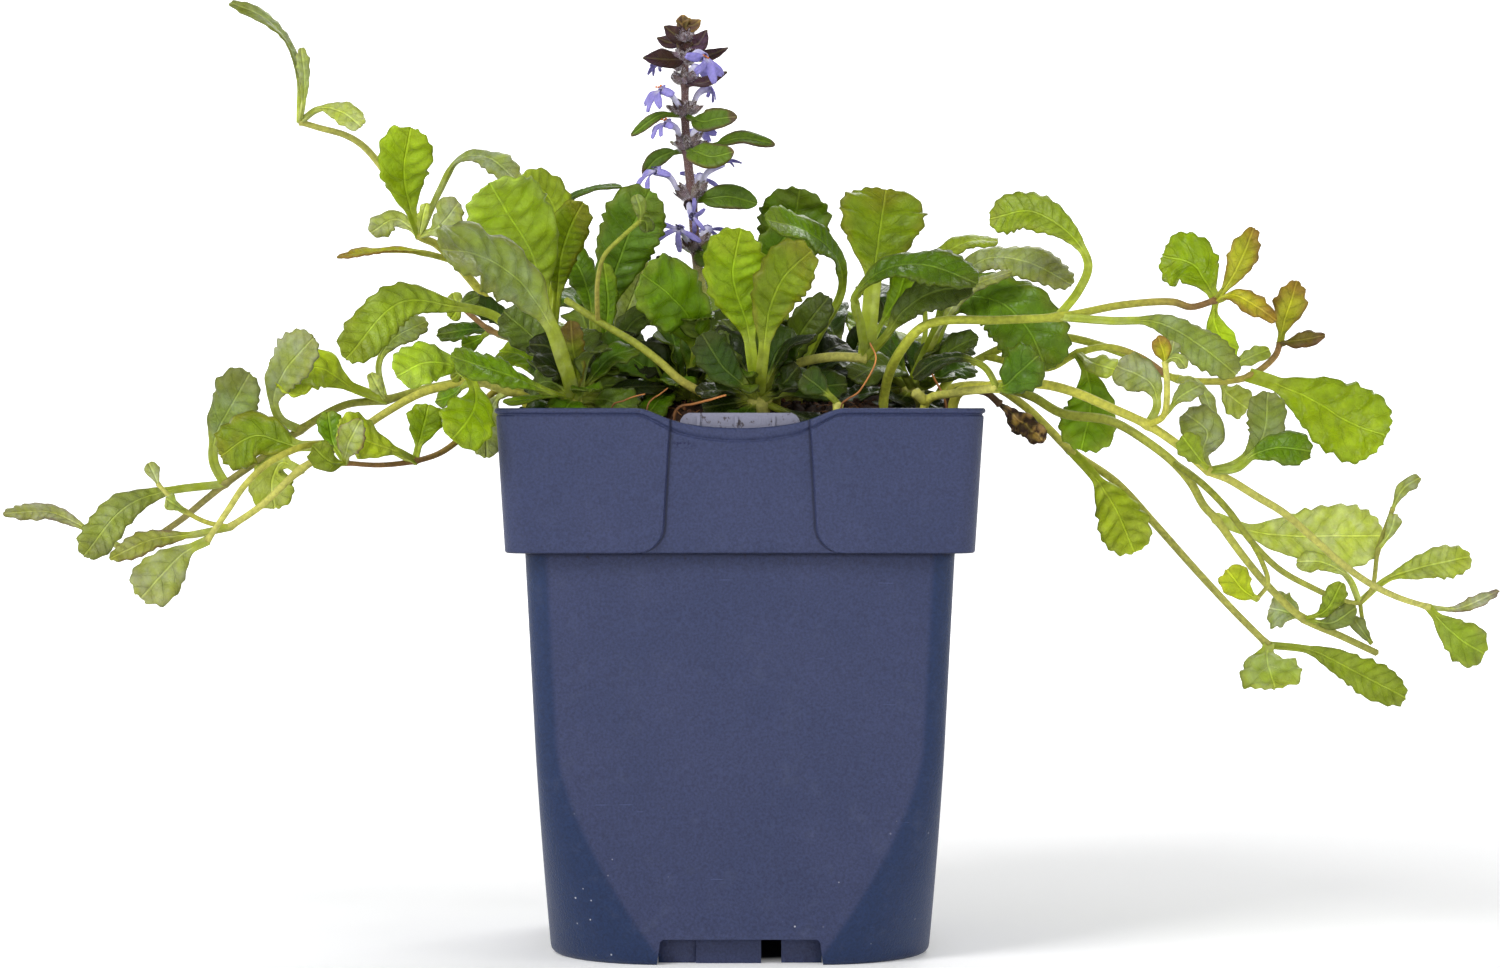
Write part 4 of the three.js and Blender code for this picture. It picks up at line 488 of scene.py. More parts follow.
        leaf('darkgrey', 9, (902, 372, -22), (880, 366, -28), (852, 380, -34), face=40, teeth=2),
        leaf('dark', 8, (930, 384, -12), (950, 372, -10), (972, 366, -6), face=45, teeth=2),
    ]),
    ('runner_right_top', 'browning_stem', {
        'main': strand(1.2, 0.75, (884, 396, -30), (900, 352, -42), (928, 324, -47), (1000, 320, -48),
            (1058, 317, -48), (1122, 305, -46), (1173, 302, -43), (1191, 307, -42), (1216, 300, -41)),
    }, [
        leaf('mid', 10, (1078, 292, -46), (1088, 265, -42), (1073, 238, -38), (1032, 212, -33),
            (990, 219, -28), at=4, face=20, teeth=4, stalk=0.38),
        leaf('mossy', 9, (1110, 321, -54), (1158, 323, -57), (1200, 346, -60), (1236, 375, -63), at=4,
            face=22, stalk=0.38),
        leaf('bronze', 7.5, (1228, 284, -44), (1240, 262, -43), (1254, 228, -41), at=8, face=10, teeth=5,
            stalk=0.12),
        leaf('bronze', 6, (1236, 296, -47), (1255, 306, -49), (1276, 321, -51), at=8, stalk=0.1),
        leaf('bright', 13.5, (1206, 283, -36), (1192, 264, -32), (1163, 256, -28), at=8, face=5, teeth=4,
            stalk=0.1),
        leaf('fresh', 7, (1214, 320, -38), (1220, 338, -37), (1229, 362, -36), at=8, face=15, stalk=0.12),
    ]),
    ('runner_right_bronze', 'browning_stem', {
        'main': strand(1.05, 0.7, (940, 392, 4), (985, 356, 2), (1050, 336, -4), (1122, 353, -10),
            (1153, 369, -12), (1178, 379, -13), (1224, 381, -14), (1250, 376, -15), (1275, 356, -16),
            (1280, 343, -16)),
        'lower_strand': strand(0.9, 0.8, (1048, 368, -9), (1078, 353, -13), (1108, 347, -14),
            (1140, 357, -14), (1168, 376, -13), on='main', at=1),
    }, [
        leaf('bronze', 8.5, (1284, 322, -18), (1290, 304, -19), (1297, 281, -20), at=9, face=8, teeth=5,
            stalk=0.1),
        leaf('brown', 5, (1290, 342, -20), (1305, 340, -22), (1325, 336, -24), at=9, face=30, stalk=0.1),
        leaf('fresh', 18.5, (1275, 384, -20), (1312, 400, -24), (1350, 423, -28), (1386, 436, -32), at=7,
            face=12, teeth=5, stalk=0.16),
        leaf('light', 4.4, (1238, 364, -10), (1269, 350, -7), at=6, teeth=2),
        leaf('light', 8, (1226, 392, -8), (1247, 409, -5), at=6, face=10, teeth=2),
        leaf('grey', 5, (1195, 380, -20), (1206, 400, -23), (1213, 424, -25), at=5, face=20, side=40,
            teeth=2, stalk=0.3),
        leaf('leafy', 13.5, (1087, 372, -18), (1091, 405, -20), (1081, 450, -22), on='lower_strand', at=2,
            face=8, teeth=4, stalk=0.2),
        leaf('light', 6, (1095, 364, -24), (1118, 371, -28), on='lower_strand', at=2),
    ]),
    ('runner_right_long', 'green_stem', {
        'main': strand(1.2, 0.7, (956, 396, -40), (990, 386, -47), (1040, 384, -56), (1071, 391, -59),
            (1109, 407, -62), (1148, 425, -64), (1178, 445, -65), (1209, 471, -65), (1228, 479, -64),
            (1256, 496, -62), (1284, 513, -60), (1313, 538, -57), (1341, 563, -54), (1369, 583, -50),
            (1397, 597, -44), (1428, 607, -36)),
        'side_shoot': strand(0.75, 0.65, (1164, 415, -69), (1167, 385, -71), (1165, 362, -71), on='main',
            at=5),
    }, [
        leaf('green', 8.5, (1237, 468, -69), (1256, 454, -72), (1280, 448, -74), (1311, 452, -76), at=7,
            stalk=0.4),
        leaf('mossy', 9, (1238, 462, -60), (1262, 438, -60), (1268, 392, -62), at=7, face=8, stalk=0.35),
        leaf('grey', 9, (1157, 404, -60), (1150, 383, -59), (1117, 366, -58), at=5, face=15, stalk=0.35),
        leaf('grey', 5, (1166, 413, -59), (1180, 397, -56), (1200, 386, -53), at=5, teeth=2, stalk=0.5),
        leaf('bronze', 5, (1163, 352, -72), (1158, 336, -73), on='side_shoot', at=3, face=5, stalk=0),
        leaf('grey', 3.6, (1170, 356, -69), (1174, 342, -68), on='side_shoot', at=3, face=5, stalk=0),
        leaf('grey', 3, (1177, 358, -73), (1186, 368, -74), on='side_shoot', at=3, teeth=2, stalk=0.1),
        leaf('grey', 9, (1203, 450, -58), (1207, 432, -55), (1185, 413, -52), at=7, face=15, stalk=0.2),
        leaf('mid', 6, (1196, 455, -70), (1182, 436, -72), at=7, face=15, teeth=2),
        leaf('mid', 10, (1441, 622, -35), (1461, 640, -34), (1484, 654, -32), at=15, face=10, teeth=5,
            stalk=0.08),
        leaf('greypurple', 3.4, (1456, 609, -28), (1478, 601, -23), (1499, 591, -18), at=15, face=20,
            stalk=0.2),
    ]),
    ('runner_right_low', 'grassy_stem', {
        'main': strand(1.2, 0.8, (952, 396, -14), (1000, 388, -18), (1031, 396, -22), (1061, 413, -26),
            (1111, 421, -33), (1149, 443, -39), (1174, 463, -42), (1191, 483, -43), (1204, 506, -43),
            (1216, 519, -43), (1240, 552, -42), (1268, 586, -41), (1304, 619, -40), (1341, 636, -39),
            (1377, 653, -38)),
        'thin_strand': strand(0.85, 0.5, (1190, 474, -47), (1206, 487, -50), (1228, 510, -52),
            (1251, 541, -52), (1279, 569, -48), (1313, 588, -43), (1341, 600, -38), (1360, 602, -35),
            (1372, 588, -34), (1378, 550, -35), (1393, 508, -37), on='main', at=6),
        'hook': strand(0.6, 0.5, (1262, 562, -57), (1268, 583, -59), (1257, 599, -61), on='thin_strand',
            at=4),
        'hanging_stalk': strand(0.5, 0.45, (1363, 622, -36), (1371, 643, -36), on='thin_strand', at=8),
    }, [
        leaf('pale', 15, (1250, 531, -36), (1290, 536, -34), (1336, 536, -33), (1382, 536, -32), at=9,
            face=12, teeth=5, stalk=0.2),
        leaf('grey', 9, (1290, 613, -34), (1270, 608, -31), at=12, face=10),
        leaf('mid', 5, (1325, 611, -45), (1342, 583, -48), at=12, face=15, teeth=2, stalk=0.2),
        leaf('mossy', 4.6, (1331, 623, -46), (1356, 608, -49), at=12, face=15, teeth=2, stalk=0.2),
        leaf('grey', 3.4, (1403, 489, -38), (1420, 478, -39), on='thin_strand', at=11, stalk=0),
        leaf('grey', 3.4, (1389, 534, -37), (1396, 514, -38), on='thin_strand', at=10, face=10, teeth=2),
        leaf('light', 8, (1388, 579, -30), (1424, 567, -27), (1470, 557, -24), on='thin_strand', at=8,
            face=22, teeth=4, stalk=0.3),
        leaf('pale', 5.5, (1347, 576, -40), (1322, 563, -38), (1297, 562, -36), on='thin_strand', at=8,
            face=35, stalk=0.4),
        leaf('mossy', 3.4, (1363, 632, -38), (1353, 617, -39), on='hanging_stalk', at=2, face=10, teeth=2,
            stalk=0),
        leaf('lime', 7.5, (1244, 591, -63), (1227, 570, -65), on='hook', at=3, face=10, teeth=4,
            stalk=0.08),
    ]),
    ('runner_right_back', 'green_stem', {
        'main': strand(1.1, 0.8, (938, 396, 26), (990, 386, 25), (1022, 404, 22), (1048, 428, 20),
            (1070, 450, 18), (1116, 482, 14), (1155, 524, 12), (1195, 569, 10), (1234, 611, 8),
            (1268, 645, 6)),
    }, [
        leaf('sunlit', 12.5, (1096, 479, 12), (1116, 510, 8), (1134, 552, 4), at=4, face=10, stalk=0.3),
        leaf('light', 15, (1267, 660, 1), (1275, 688, -6), at=9, face=5, teeth=4, stalk=0.1),
        leaf('mid', 9.5, (1312, 651, 10), (1355, 672, 13), (1405, 698, 15), at=9, face=20, teeth=5,
            stalk=0.2),
    ]),
    ('runner_front_rim', 'green_stem', {
        'main': strand(1, 0.95, (926, 402, -45), (955, 393, -50), (998, 388, -58)),
        'cut_stalk': strand(1.2, 1.3, (915, 392, -46), on='main', at=0),
    }, [
        leaf('dark', 11, (1006, 385, -62), (1020, 372, -65), (1038, 356, -68), at=2, face=15, teeth=2,
            stalk=0.1),
        leaf('deep', 5.5, (984, 366, -60), (958, 358, -60), (934, 363, -59), (914, 378, -57), at=2, face=50,
            teeth=2, stalk=0.3),
    ]),
    ('young_leaf_front', 'green_stem', {
        'main': strand(1.3, 1, (838, 404, -47)),
    }, [
        leaf('shade', 7, (832, 398, -48), (820, 388, -49), (803, 375, -50), face=15, teeth=2, stalk=0.3),
    ]),
    ('dead_leaf', 'dead_stem', {
        'main': strand(0.7, 0.8, (950, 396, -24), (984, 392, -25), (1000, 404, -26)),
    }, [
        leaf('dead', 5.5, (1012, 414, -27), (1028, 427, -28), (1044, 441, -29), at=2, face=10, fold=30,
            teeth=4, stalk=0),
        leaf('dead', 4, (1008, 412, -24), (1021, 433, -22), at=2, fold=30, stalk=0),
    ]),
    ('rosette_back_left', 'green_stem', {
        'main': strand(2.6, 2.2, (600, 396, 34)),
    }, [
        leaf('mid', 14, (585, 350, 46), (568, 325, 62), (562, 335, 76), face=60, side=-160, teeth=4),
        leaf('dark', 15, (612, 345, 46), (622, 318, 62), (626, 325, 76), face=60, side=170, teeth=4),
        leaf('dark', 12, (590, 345, 36), (575, 300, 42), (560, 290, 52), face=50, side=-150),
        leaf('gloss', 10, (640, 370, 42), (662, 350, 52), (672, 356, 66), face=60, side=160),
        leaf('deep', 11, (620, 378, 32), (638, 366, 30), (654, 366, 28), face=45, teeth=2),
        leaf('dark', 10, (584, 378, 28), (566, 368, 24), (549, 370, 21), face=45, teeth=2),
    ]),
    ('rosette_back_middle', 'green_stem', {
        'main': strand(2.6, 2.2, (716, 394, 30)),
    }, [
        leaf('mid', 14, (706, 345, 40), (700, 318, 54), (698, 326, 72), face=60, side=-170, teeth=4),
        leaf('bright', 15, (740, 345, 42), (756, 315, 56), (762, 322, 74), face=60, side=165, teeth=4),
        leaf('dark', 12, (722, 340, 28), (728, 290, 32), (734, 262, 38), face=30, side=170),
        leaf('deep', 11, (698, 372, 26), (680, 350, 22), (664, 346, 18), face=40, teeth=2),
        leaf('shade', 11, (734, 374, 26), (752, 356, 23), (770, 352, 22), face=40, teeth=2),
    ]),
    ('rosette_back_right', 'green_stem', {
        'main': strand(2.6, 2.2, (846, 390, 34)),
    }, [
        leaf('bright', 15, (856, 345, 44), (868, 318, 58), (874, 328, 75), face=60, side=165, teeth=4),
        leaf('shade', 13, (836, 345, 46), (826, 312, 60), (818, 318, 76), face=60, side=-165, teeth=4),
        leaf('shade', 12, (862, 340, 32), (876, 300, 38), (890, 286, 48), face=45, side=150),
        leaf('mid', 12, (880, 365, 38), (905, 340, 48), (925, 345, 62), face=60, side=140),
        leaf('deep', 11, (826, 370, 30), (808, 352, 28), (788, 350, 28), face=40, teeth=2),
        leaf('dark', 11, (868, 370, 26), (890, 354, 22), (912, 352, 22), face=40, teeth=2),
    ]),
    ('runner_back_left', 'green_stem', {
        'main': strand(1.1, 0.7, (650, 396, 44), (640, 378, 56), (628, 392, 65), (622, 425, 71),
            (625, 470, 73), (640, 520, 75)),
    }, [
        leaf('mid', 10, (600, 420, 75), (575, 440, 78), at=3, face=30, side=180, teeth=4),
        leaf('light', 10, (645, 415, 75), (672, 430, 78), at=3, face=30, side=180, teeth=4),
        leaf('mid', 8.5, (622, 540, 76), (608, 570, 78), at=5, face=15, side=180, teeth=4),
        leaf('bright', 8, (655, 540, 76), (668, 568, 78), at=5, face=15, side=180, teeth=4),
    ]),
    ('runner_back_right', 'green_stem', {
        'main': strand(1.1, 0.7, (806, 394, 44), (815, 372, 56), (828, 384, 65), (838, 420, 70),
            (842, 462, 72)),
    }, [
        leaf('light', 11, (862, 412, 75), (888, 428, 78), at=3, face=30, side=180, teeth=4),
        leaf('mid', 10, (815, 415, 75), (790, 436, 78), at=3, face=30, side=180, teeth=4),
        leaf('bright', 9, (860, 482, 74), (876, 512, 76), at=4, face=15, side=180, teeth=4),
        leaf('mid', 8, (828, 486, 74), (818, 518, 76), at=4, face=15, side=180),
    ]),
]

# The spike's stem, whose points are its whorls
SPIKE = strand(1.5, 0.7, (709, 400, -10), (708, 360, -10), (706, 314, -10), (699, 275, -9), (696, 250, -8),
    (692, 200, -7), (687, 150, -5), (685, 115, -4), (685, 84, -3), (685, 60, -3), (684, 42, -2),
    (683, 24, -2))

# The spike's bracts
BRACTS = [
    bract(9, 4.4, 35, (665, 60, -7), (643, 58, -9)),
    bract(10, 3.8, 15, (697, 45, -5), (707, 30, -7)),
    bract(8, 3.8, 45, (706, 83, -8), (727, 72, -10)),
    bract(10, 3.2, 20, (676, 36, -4), (664, 26, -5)),
    bract(10, 2.8, 30, (670, 43, -1), (657, 38, 0)),
    bract(11, 2.6, 10, (692, 26, -3), (701, 20, -4)),
    bract(11, 2.4, 5, (683, 20, -2), (683, 15, -2)),
    bract(11, 2.4, 5, (688, 24, 0), (689, 18, 1)),
    bract(7, 2.8, 30, (660, 116, -6), (631, 136, -8)),
    bract(7, 6, 12, (703, 122, -11), (718, 119, -14), (737, 117, -16)),
    bract(6, 7, 12, (698, 153, -14), (712, 157, -17), (734, 152, -20)),
    bract(6, 5, 40, (714, 145, -1), (742, 139, 0), (775, 145, 1), stalk=0.4),
    bract(6, 4.2, 20, (671, 153, -3), (656, 160, -3), (643, 175, -4)),
    bract(5, 6.8, 15, (708, 199, -9), (728, 197, -10), (757, 204, -12), stalk=0.2),
    bract(4, 5.8, 12, (706, 256, -15), (721, 239, -17)),
    bract(9, 2.8, 25, (712, 55, 3), (728, 48, 4)),
    bract(9, 4.2, 20, (690, 56, 4), (694, 49, 9), side=180),
    bract(8, 4.2, 30, (680, 82, 4), (676, 75, 10), side=180),
    bract(7, 5, 30, (690, 114, 4), (696, 110, 11), side=180),
    bract(6, 5.6, 35, (682, 148, 3), (676, 144, 11), side=180),
    bract(5, 6, 35, (690, 198, 1), (686, 194, 9), side=180),
    bract(4, 6, 35, (688, 250, 2), (680, 246, 10), side=180),
]

# The flowers: the whorl of each, then its calyx's mouth, its bend, its throat and its lip's end
FLOWERS = [
    (9, (693, 55, -9), (698, 52, -12), (704, 57, -15), (708, 78, -20)),
    (9, (677, 66, 2), (668, 62, 4), (659, 64, 5), (648, 75, 6)),
    (7, (678, 104, -7), (670, 94, -9), (661, 90, -11), (650, 109, -15)),
    (7, (693, 105, -1), (698, 94, 0), (708, 87, 1), (717, 101, 1)),
    (6, (679, 140, -5), (677, 129, -6), (666, 123, -8), (653, 136, -11)),
    (5, (678, 190, -7), (670, 177, -8), (656, 171, -10), (634, 193, -13)),
    (5, (689, 205, -12), (690, 211, -16), (693, 216, -20), (705, 221, -24)),
    (4, (687, 240, -13), (683, 233, -16), (679, 229, -20), (665, 246, -25)),
    (5, (702, 186, -2), (706, 174, 0), (722, 163, 2), (741, 162, 4)),
    (8, (688, 78, 5), (691, 71, 9), (696, 68, 14), (702, 80, 19)),
    (6, (691, 141, 3), (694, 132, 8), (698, 129, 14), (702, 141, 19)),
    (5, (696, 190, 2), (698, 181, 7), (700, 177, 13), (696, 190, 18)),
    (4, (700, 241, 1), (704, 232, 6), (708, 229, 12), (712, 241, 16)),
]

# The straws: the radius of each, then its points
STRAWS = [
    (0.35, (613, 405, -47), (645, 394, -50)),
    (0.35, (648, 405, -50), (668, 388, -46)),
    (0.55, (678, 408, -46), (726, 395, -49)),
    (0.4, (842, 404, -50), (861, 389, -51), (876, 359, -52), (870, 343, -51)),
    (0.55, (946, 404, -35), (930, 370, -34)),
]


# Tones of the leaves: upper side, under side, edge, how far the edge colour reaches in, gloss
# The sunlit tone is painted light, and the shade and deep tones are painted shade
TONES = {
    'sunlit': (srgb(188, 206, 52), srgb(196, 210, 84), srgb(178, 192, 60), 0.3, 0.6),
    'pale': (srgb(186, 198, 104), srgb(190, 202, 124), srgb(178, 186, 98), 0.3, 0.5),
    'light': (srgb(168, 180, 82), srgb(176, 190, 96), srgb(158, 168, 66), 0.3, 0.6),
    'lime': (srgb(172, 184, 26), srgb(178, 190, 60), srgb(172, 176, 36), 0.3, 0.6),
    'bright': (srgb(132, 160, 10), srgb(150, 172, 44), srgb(140, 160, 22), 0.3, 0.8),
    'mid': (srgb(136, 154, 38), srgb(148, 164, 64), srgb(132, 144, 40), 0.3, 0.8),
    'grey': (srgb(154, 164, 98), srgb(164, 172, 112), srgb(142, 146, 88), 0.4, 0.55),
    'spring': (srgb(150, 178, 50), srgb(164, 188, 84), srgb(150, 172, 60), 0.3, 0.8),
    'fresh': (srgb(156, 178, 24), srgb(162, 188, 56), srgb(146, 170, 26), 0.3, 0.85),
    'mossy': (srgb(126, 140, 72), srgb(136, 150, 84), srgb(116, 122, 58), 0.4, 0.6),
    'leafy': (srgb(112, 146, 8), srgb(134, 160, 56), srgb(120, 140, 30), 0.3, 0.9),
    'green': (srgb(96, 130, 6), srgb(124, 148, 60), srgb(104, 124, 32), 0.3, 0.95),
    'olive': (srgb(112, 132, 12), srgb(134, 148, 46), srgb(118, 120, 22), 0.35, 0.7),
    'gloss': (srgb(86, 120, 20), srgb(128, 148, 50), srgb(96, 112, 24), 0.3, 1.0),
    'dark': (srgb(72, 104, 8), srgb(112, 132, 44), srgb(80, 94, 20), 0.35, 0.95),
    'darkgrey': (srgb(80, 98, 28), srgb(104, 118, 56), srgb(72, 82, 34), 0.4, 0.85),
    'shade': (srgb(48, 72, 6), srgb(84, 100, 32), srgb(54, 64, 16), 0.4, 0.9),
    'deep': (srgb(30, 44, 2), srgb(62, 78, 22), srgb(38, 42, 12), 0.4, 0.85),
    'bronze': (srgb(168, 166, 36), srgb(166, 160, 66), srgb(132, 92, 40), 0.5, 0.6),
    'purpled': (srgb(150, 158, 84), srgb(140, 142, 76), srgb(122, 92, 62), 0.2, 0.55),
    'greypurple': (srgb(156, 160, 108), srgb(138, 138, 90), srgb(118, 98, 80), 0.3, 0.5),
    'brown': (srgb(128, 112, 46), srgb(130, 116, 64), srgb(106, 72, 44), 0.5, 0.4),
    'young': (srgb(118, 134, 26), srgb(130, 146, 52), srgb(102, 74, 34), 0.6, 0.6),
    'dead': (srgb(52, 36, 26), srgb(66, 48, 32), srgb(164, 132, 78), 0.6, 0.15),
    'bract_dark': (srgb(66, 44, 50), srgb(92, 72, 70), srgb(58, 32, 44), 0.5, 0.35),
    'bract_tan': (srgb(92, 66, 52), srgb(104, 80, 62), srgb(150, 118, 72), 0.35, 0.3),
    'bract_green': (srgb(86, 112, 28), srgb(112, 126, 66), srgb(92, 66, 52), 0.14, 0.5),
}

# Stalks are pale except in plain tones. Leaves of the pointed tones narrow to their tips.
STALK_TINT = srgb(170, 180, 70)
POINTED = ('greypurple', 'purpled', 'bronze', 'brown')
PLAIN_STALKED = ('dead', 'brown', 'bract_dark', 'bract_tan', 'bract_green')

# Tints of the stems, at the root and at the end
STEM_TINTS = {
    'green_stem': (srgb(178, 176, 64), srgb(184, 182, 90)),
    'grassy_stem': (srgb(146, 152, 50), srgb(164, 164, 74)),
    'olive_stem': (srgb(158, 162, 62), srgb(140, 132, 72)),
    'brown_stem': (srgb(150, 140, 50), srgb(132, 100, 58)),
    'browning_stem': (srgb(176, 182, 62), srgb(140, 108, 64)),
    'cream_stem': (srgb(170, 160, 76), srgb(142, 150, 48)),
    'dead_stem': (srgb(66, 44, 26), srgb(78, 56, 34)),
    'spike_stem': (srgb(190, 192, 100), srgb(98, 72, 70)),
}

# Leaves, in millimetres: their shell, the steps of their rows and columns, and their ribs, veins and teeth
SHELL = 0.42
ROW_STEP = 0.58
MOST_ROWS = 110
FEWEST_ROWS = 9
COLUMN_WIDTH = 1.9
COLUMNS = (3, 8)
NARROWEST = 0.12
STALK_SWELL = 0.35
RIB_HEIGHT = 0.75
RIB_WIDTH = 0.55
FULL_RIB = 9
UNDER_GLOSS = 0.25
VEIN_SPACING = (2.8, 6.6)
MOST_QUILT = 0.42
TOOTH_PITCH = (2.6, 4.2)
TOOTH_LEAN = 0.68
MOST_TOOTH = 0.9

# Material slots of a piece
LEAF = 0
STEM = 1

# Stems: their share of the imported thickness, where along them their tint turns, and their knots
SLIM = 0.96
CREAM_SLIM = 0.8
TURNING = (0.15, 0.85)
LATE_TURNING = (0.5, 0.95)
SPAN_STEPS = 6
KNOT_SWELL = 0.3
KNOT_LENGTH = 0.12
STEM_SKIN = (0.45, 1, 0)

# The soil's height at the wall and how much it rises inwards, and how far stems reach into it
SOIL_WALL = 52.5
SOIL_LOW = 119.6
SOIL_RISE = 7.2
MOUND_X = 37
MOUND_Y = 14
MOUND_HEIGHT = 6
LOWEST_START = 1.6
ROOT_DEPTH = 8.6

# The small leaves round a rosette's crown: first the flat ones, then the low and the standing ones
FLAT_LEAVES = 4
LOW_LEAVES = 9
STANDING_LEAVES = 6
GOLDEN_TURN = 2.4
LOW_LIMIT = 48
LOW_REACH = (12, 22)
LOW_RISE = (3, 13)
FLAT_RISE = (0.5, 4)
STANDING_REACH = (6, 15)
STANDING_RISE = (12, 22)
# The low leaves' tones are mostly painted shade, for the shade under the crowns
LOW_TONES = ('deep', 'deep', 'shade', 'darkgrey', 'dark')


def leaf_outline(leaf, length):
    """A leaf's rows along its midrib: their shares, half-widths, slopes and margin lengths"""
    half = leaf['wide'] / 2
    stalk = leaf['stalk']
    narrow = min(half * 0.45, max(0.5, half * 0.2))
    shares = np.linspace(0, 1, 400)
    along = np.clip((shares - stalk) / (1 - stalk), 0, 1)
    if leaf['teeth'] == 0:
        round_part = half * np.sin(along ** 0.9 * math.pi) ** leaf['point']
    else:
        round_part = half * along ** 1.1 * (1 - along) ** 0.42 * 2.45
        if leaf['tone'] in POINTED:
            round_part = round_part * (1 - 0.45 * smooth(0.55, 1.0, along))
    body = (narrow ** 4 * (1 - along) + round_part ** 4) ** 0.25
    steps = np.hypot(np.gradient(shares) * length, np.gradient(body))
    margin = np.cumsum(steps) - steps[0]
    rows = int(np.clip(round(margin[-1] / ROW_STEP), FEWEST_ROWS, MOST_ROWS))
    picked = np.interp(np.linspace(0, margin[-1], rows), margin, shares)
    slope = np.gradient(body) / (np.gradient(shares) * length)
    return picked, *(np.interp(picked, shares, values) for values in (along, body, slope, margin))


def teeth_of(leaf, margin, along, draws):
    """How far the teeth of one margin stand out: pointed, leaning to the tip, none near the stalk"""
    if leaf['teeth'] == 0:
        return 0 * margin
    pitch = draws.uniform(*TOOTH_PITCH)
    place = (margin / pitch + 0.3 * np.sin(margin / 4.1 + draws.uniform(0, 6)) + draws.uniform()) % 1
    tooth = np.minimum(place / TOOTH_LEAN, (1 - place) / (1 - TOOTH_LEAN))
    uneven = 1 + 0.4 * np.sin(margin / 2.3 + draws.uniform(0, 6))
    depth = min(MOST_TOOTH, 0.05 * leaf['wide'] + 0.26) * smooth(0.25, 0.55, along) * uneven
    return depth * (tooth - 0.5)


def facing(leaf):
    """The way a leaf's upper side looks, from its lift above the level and its turn from the front"""
    lift = math.radians(leaf['face'])
    turn = math.radians(leaf['side'])
    return np.array([math.cos(lift) * math.sin(turn), -math.cos(lift) * math.cos(turn), math.sin(lift)])


def blade_height(leaf, along, edge, half, fold, length, draws):
    """How high a blade's points stand above its midrib, and how many side veins they are along it"""
    wide = leaf['wide']
    distance = np.abs(edge) * half
    waves = 2 * min(leaf['teeth'], round(wide / 5)) + 1
    wave = half * 0.12 * edge * np.sin(math.pi * along * waves) * smooth(0, 0.1, along)
    ruffle = half * 0.08 * edge ** 2 * np.sin(along * draws.uniform(9, 14) + draws.uniform(0, 6))
    curl = -half * draws.uniform(0.05, 0.2) * edge ** 4
    spacing = mix(*VEIN_SPACING, smooth(5, 20, wide))
    phase = (along * length - 0.8 * distance - 0.05 * distance ** 2) / spacing + draws.uniform()
    quilt = -np.cos(2 * math.pi * phase) * min(MOST_QUILT, 0.028 * wide) * (1 - edge ** 2) ** 0.5
    quilt = (quilt * smooth(0.05, 0.25, along) * smooth(0.05, 0.35, np.abs(edge))
             * (1 - smooth(0.85, 1, along)))
    lift = np.sqrt(edge ** 2 + 0.02) - 0.14
    height = lift * half * np.sin(fold) + wave + ruffle + curl + quilt
    if leaf['tone'] == 'dead':
        height = height + half * 0.35 * np.sin(along * 23 + 4 * edge) * smooth(0, 0.2, along)
    return height, phase


def blade(batch, points, leaf, draws):
    """A leaf as a thin closed shell, folded along its midrib and quilted between its side veins"""
    curve = Curve(points)
    wide = leaf['wide']
    shares, along, half, slope, margin = leaf_outline(leaf, curve.length)
    columns = 2 * int(np.clip(round(wide / COLUMN_WIDTH), *COLUMNS)) + 1
    centre, tangent = curve.at(shares)
    across = unit(np.cross(tangent, facing(leaf)))
    upper = unit(np.cross(across, tangent))
    fold = (math.radians(leaf['fold']) * (1.25 - 0.6 * along))[:, None]
    edge = np.linspace(-1, 1, columns)[None, :]
    left, right = (teeth_of(leaf, margin, along, draws)[:, None] for _ in range(2))
    stand_out = np.where(edge < 0, left, right) * np.abs(edge) ** 5
    forward = (-slope / np.hypot(1, slope))[:, None]
    outward = (1 / np.hypot(1, slope))[:, None]
    half, along = np.maximum(half, NARROWEST)[:, None], along[:, None]
    height, phase = blade_height(leaf, along, edge, half, fold, curve.length, draws)
    aside = edge * half * np.cos(fold) + np.sign(edge) * outward * stand_out
    surface = (centre[:, None] + across[:, None] * aside[..., None] + upper[:, None] * height[..., None]
               + tangent[:, None] * (forward * stand_out)[..., None])
    normals = grid_normals(surface)
    stem_part = 1 - smooth(0, 0.16, along)
    distance = np.abs(edge) * half
    rib = (RIB_HEIGHT * np.exp(-(distance / RIB_WIDTH) ** 2) * (1 - smooth(0.1, 0.9, along))
           * min(1, wide / FULL_RIB))
    top = surface + normals * (SHELL / 2 + 0.1 * stem_part)[..., None]
    under = surface - normals * (SHELL / 2 + rib + STALK_SWELL * stem_part * (1 - edge ** 2))[..., None]
    seed = draws.uniform(0, 400, 2)
    flat = 0 * (along + edge)
    run = shares[:, None] * curve.length + flat
    place = np.stack([edge * half + seed[0], run, flat + seed[1]], axis=-1)
    vein = np.stack([edge + flat, phase, half + flat], axis=-1)
    tints = leaf_tints(leaf['tone'], edge + flat, along + flat, top, draws)
    gloss = TONES[leaf['tone']][4]
    blade_part = smooth(0.02, 0.12, along) + flat
    skin_top = np.stack([gloss + flat, 1 + flat, blade_part], axis=-1)
    skin_under = np.stack([UNDER_GLOSS + flat, flat - 1, blade_part], axis=-1)
    batch.add(both(top, under), shell_faces(len(shares), columns), LEAF, both(*tints),
              place=both(place, place), vein=both(vein, vein), skin=both(skin_top, skin_under))


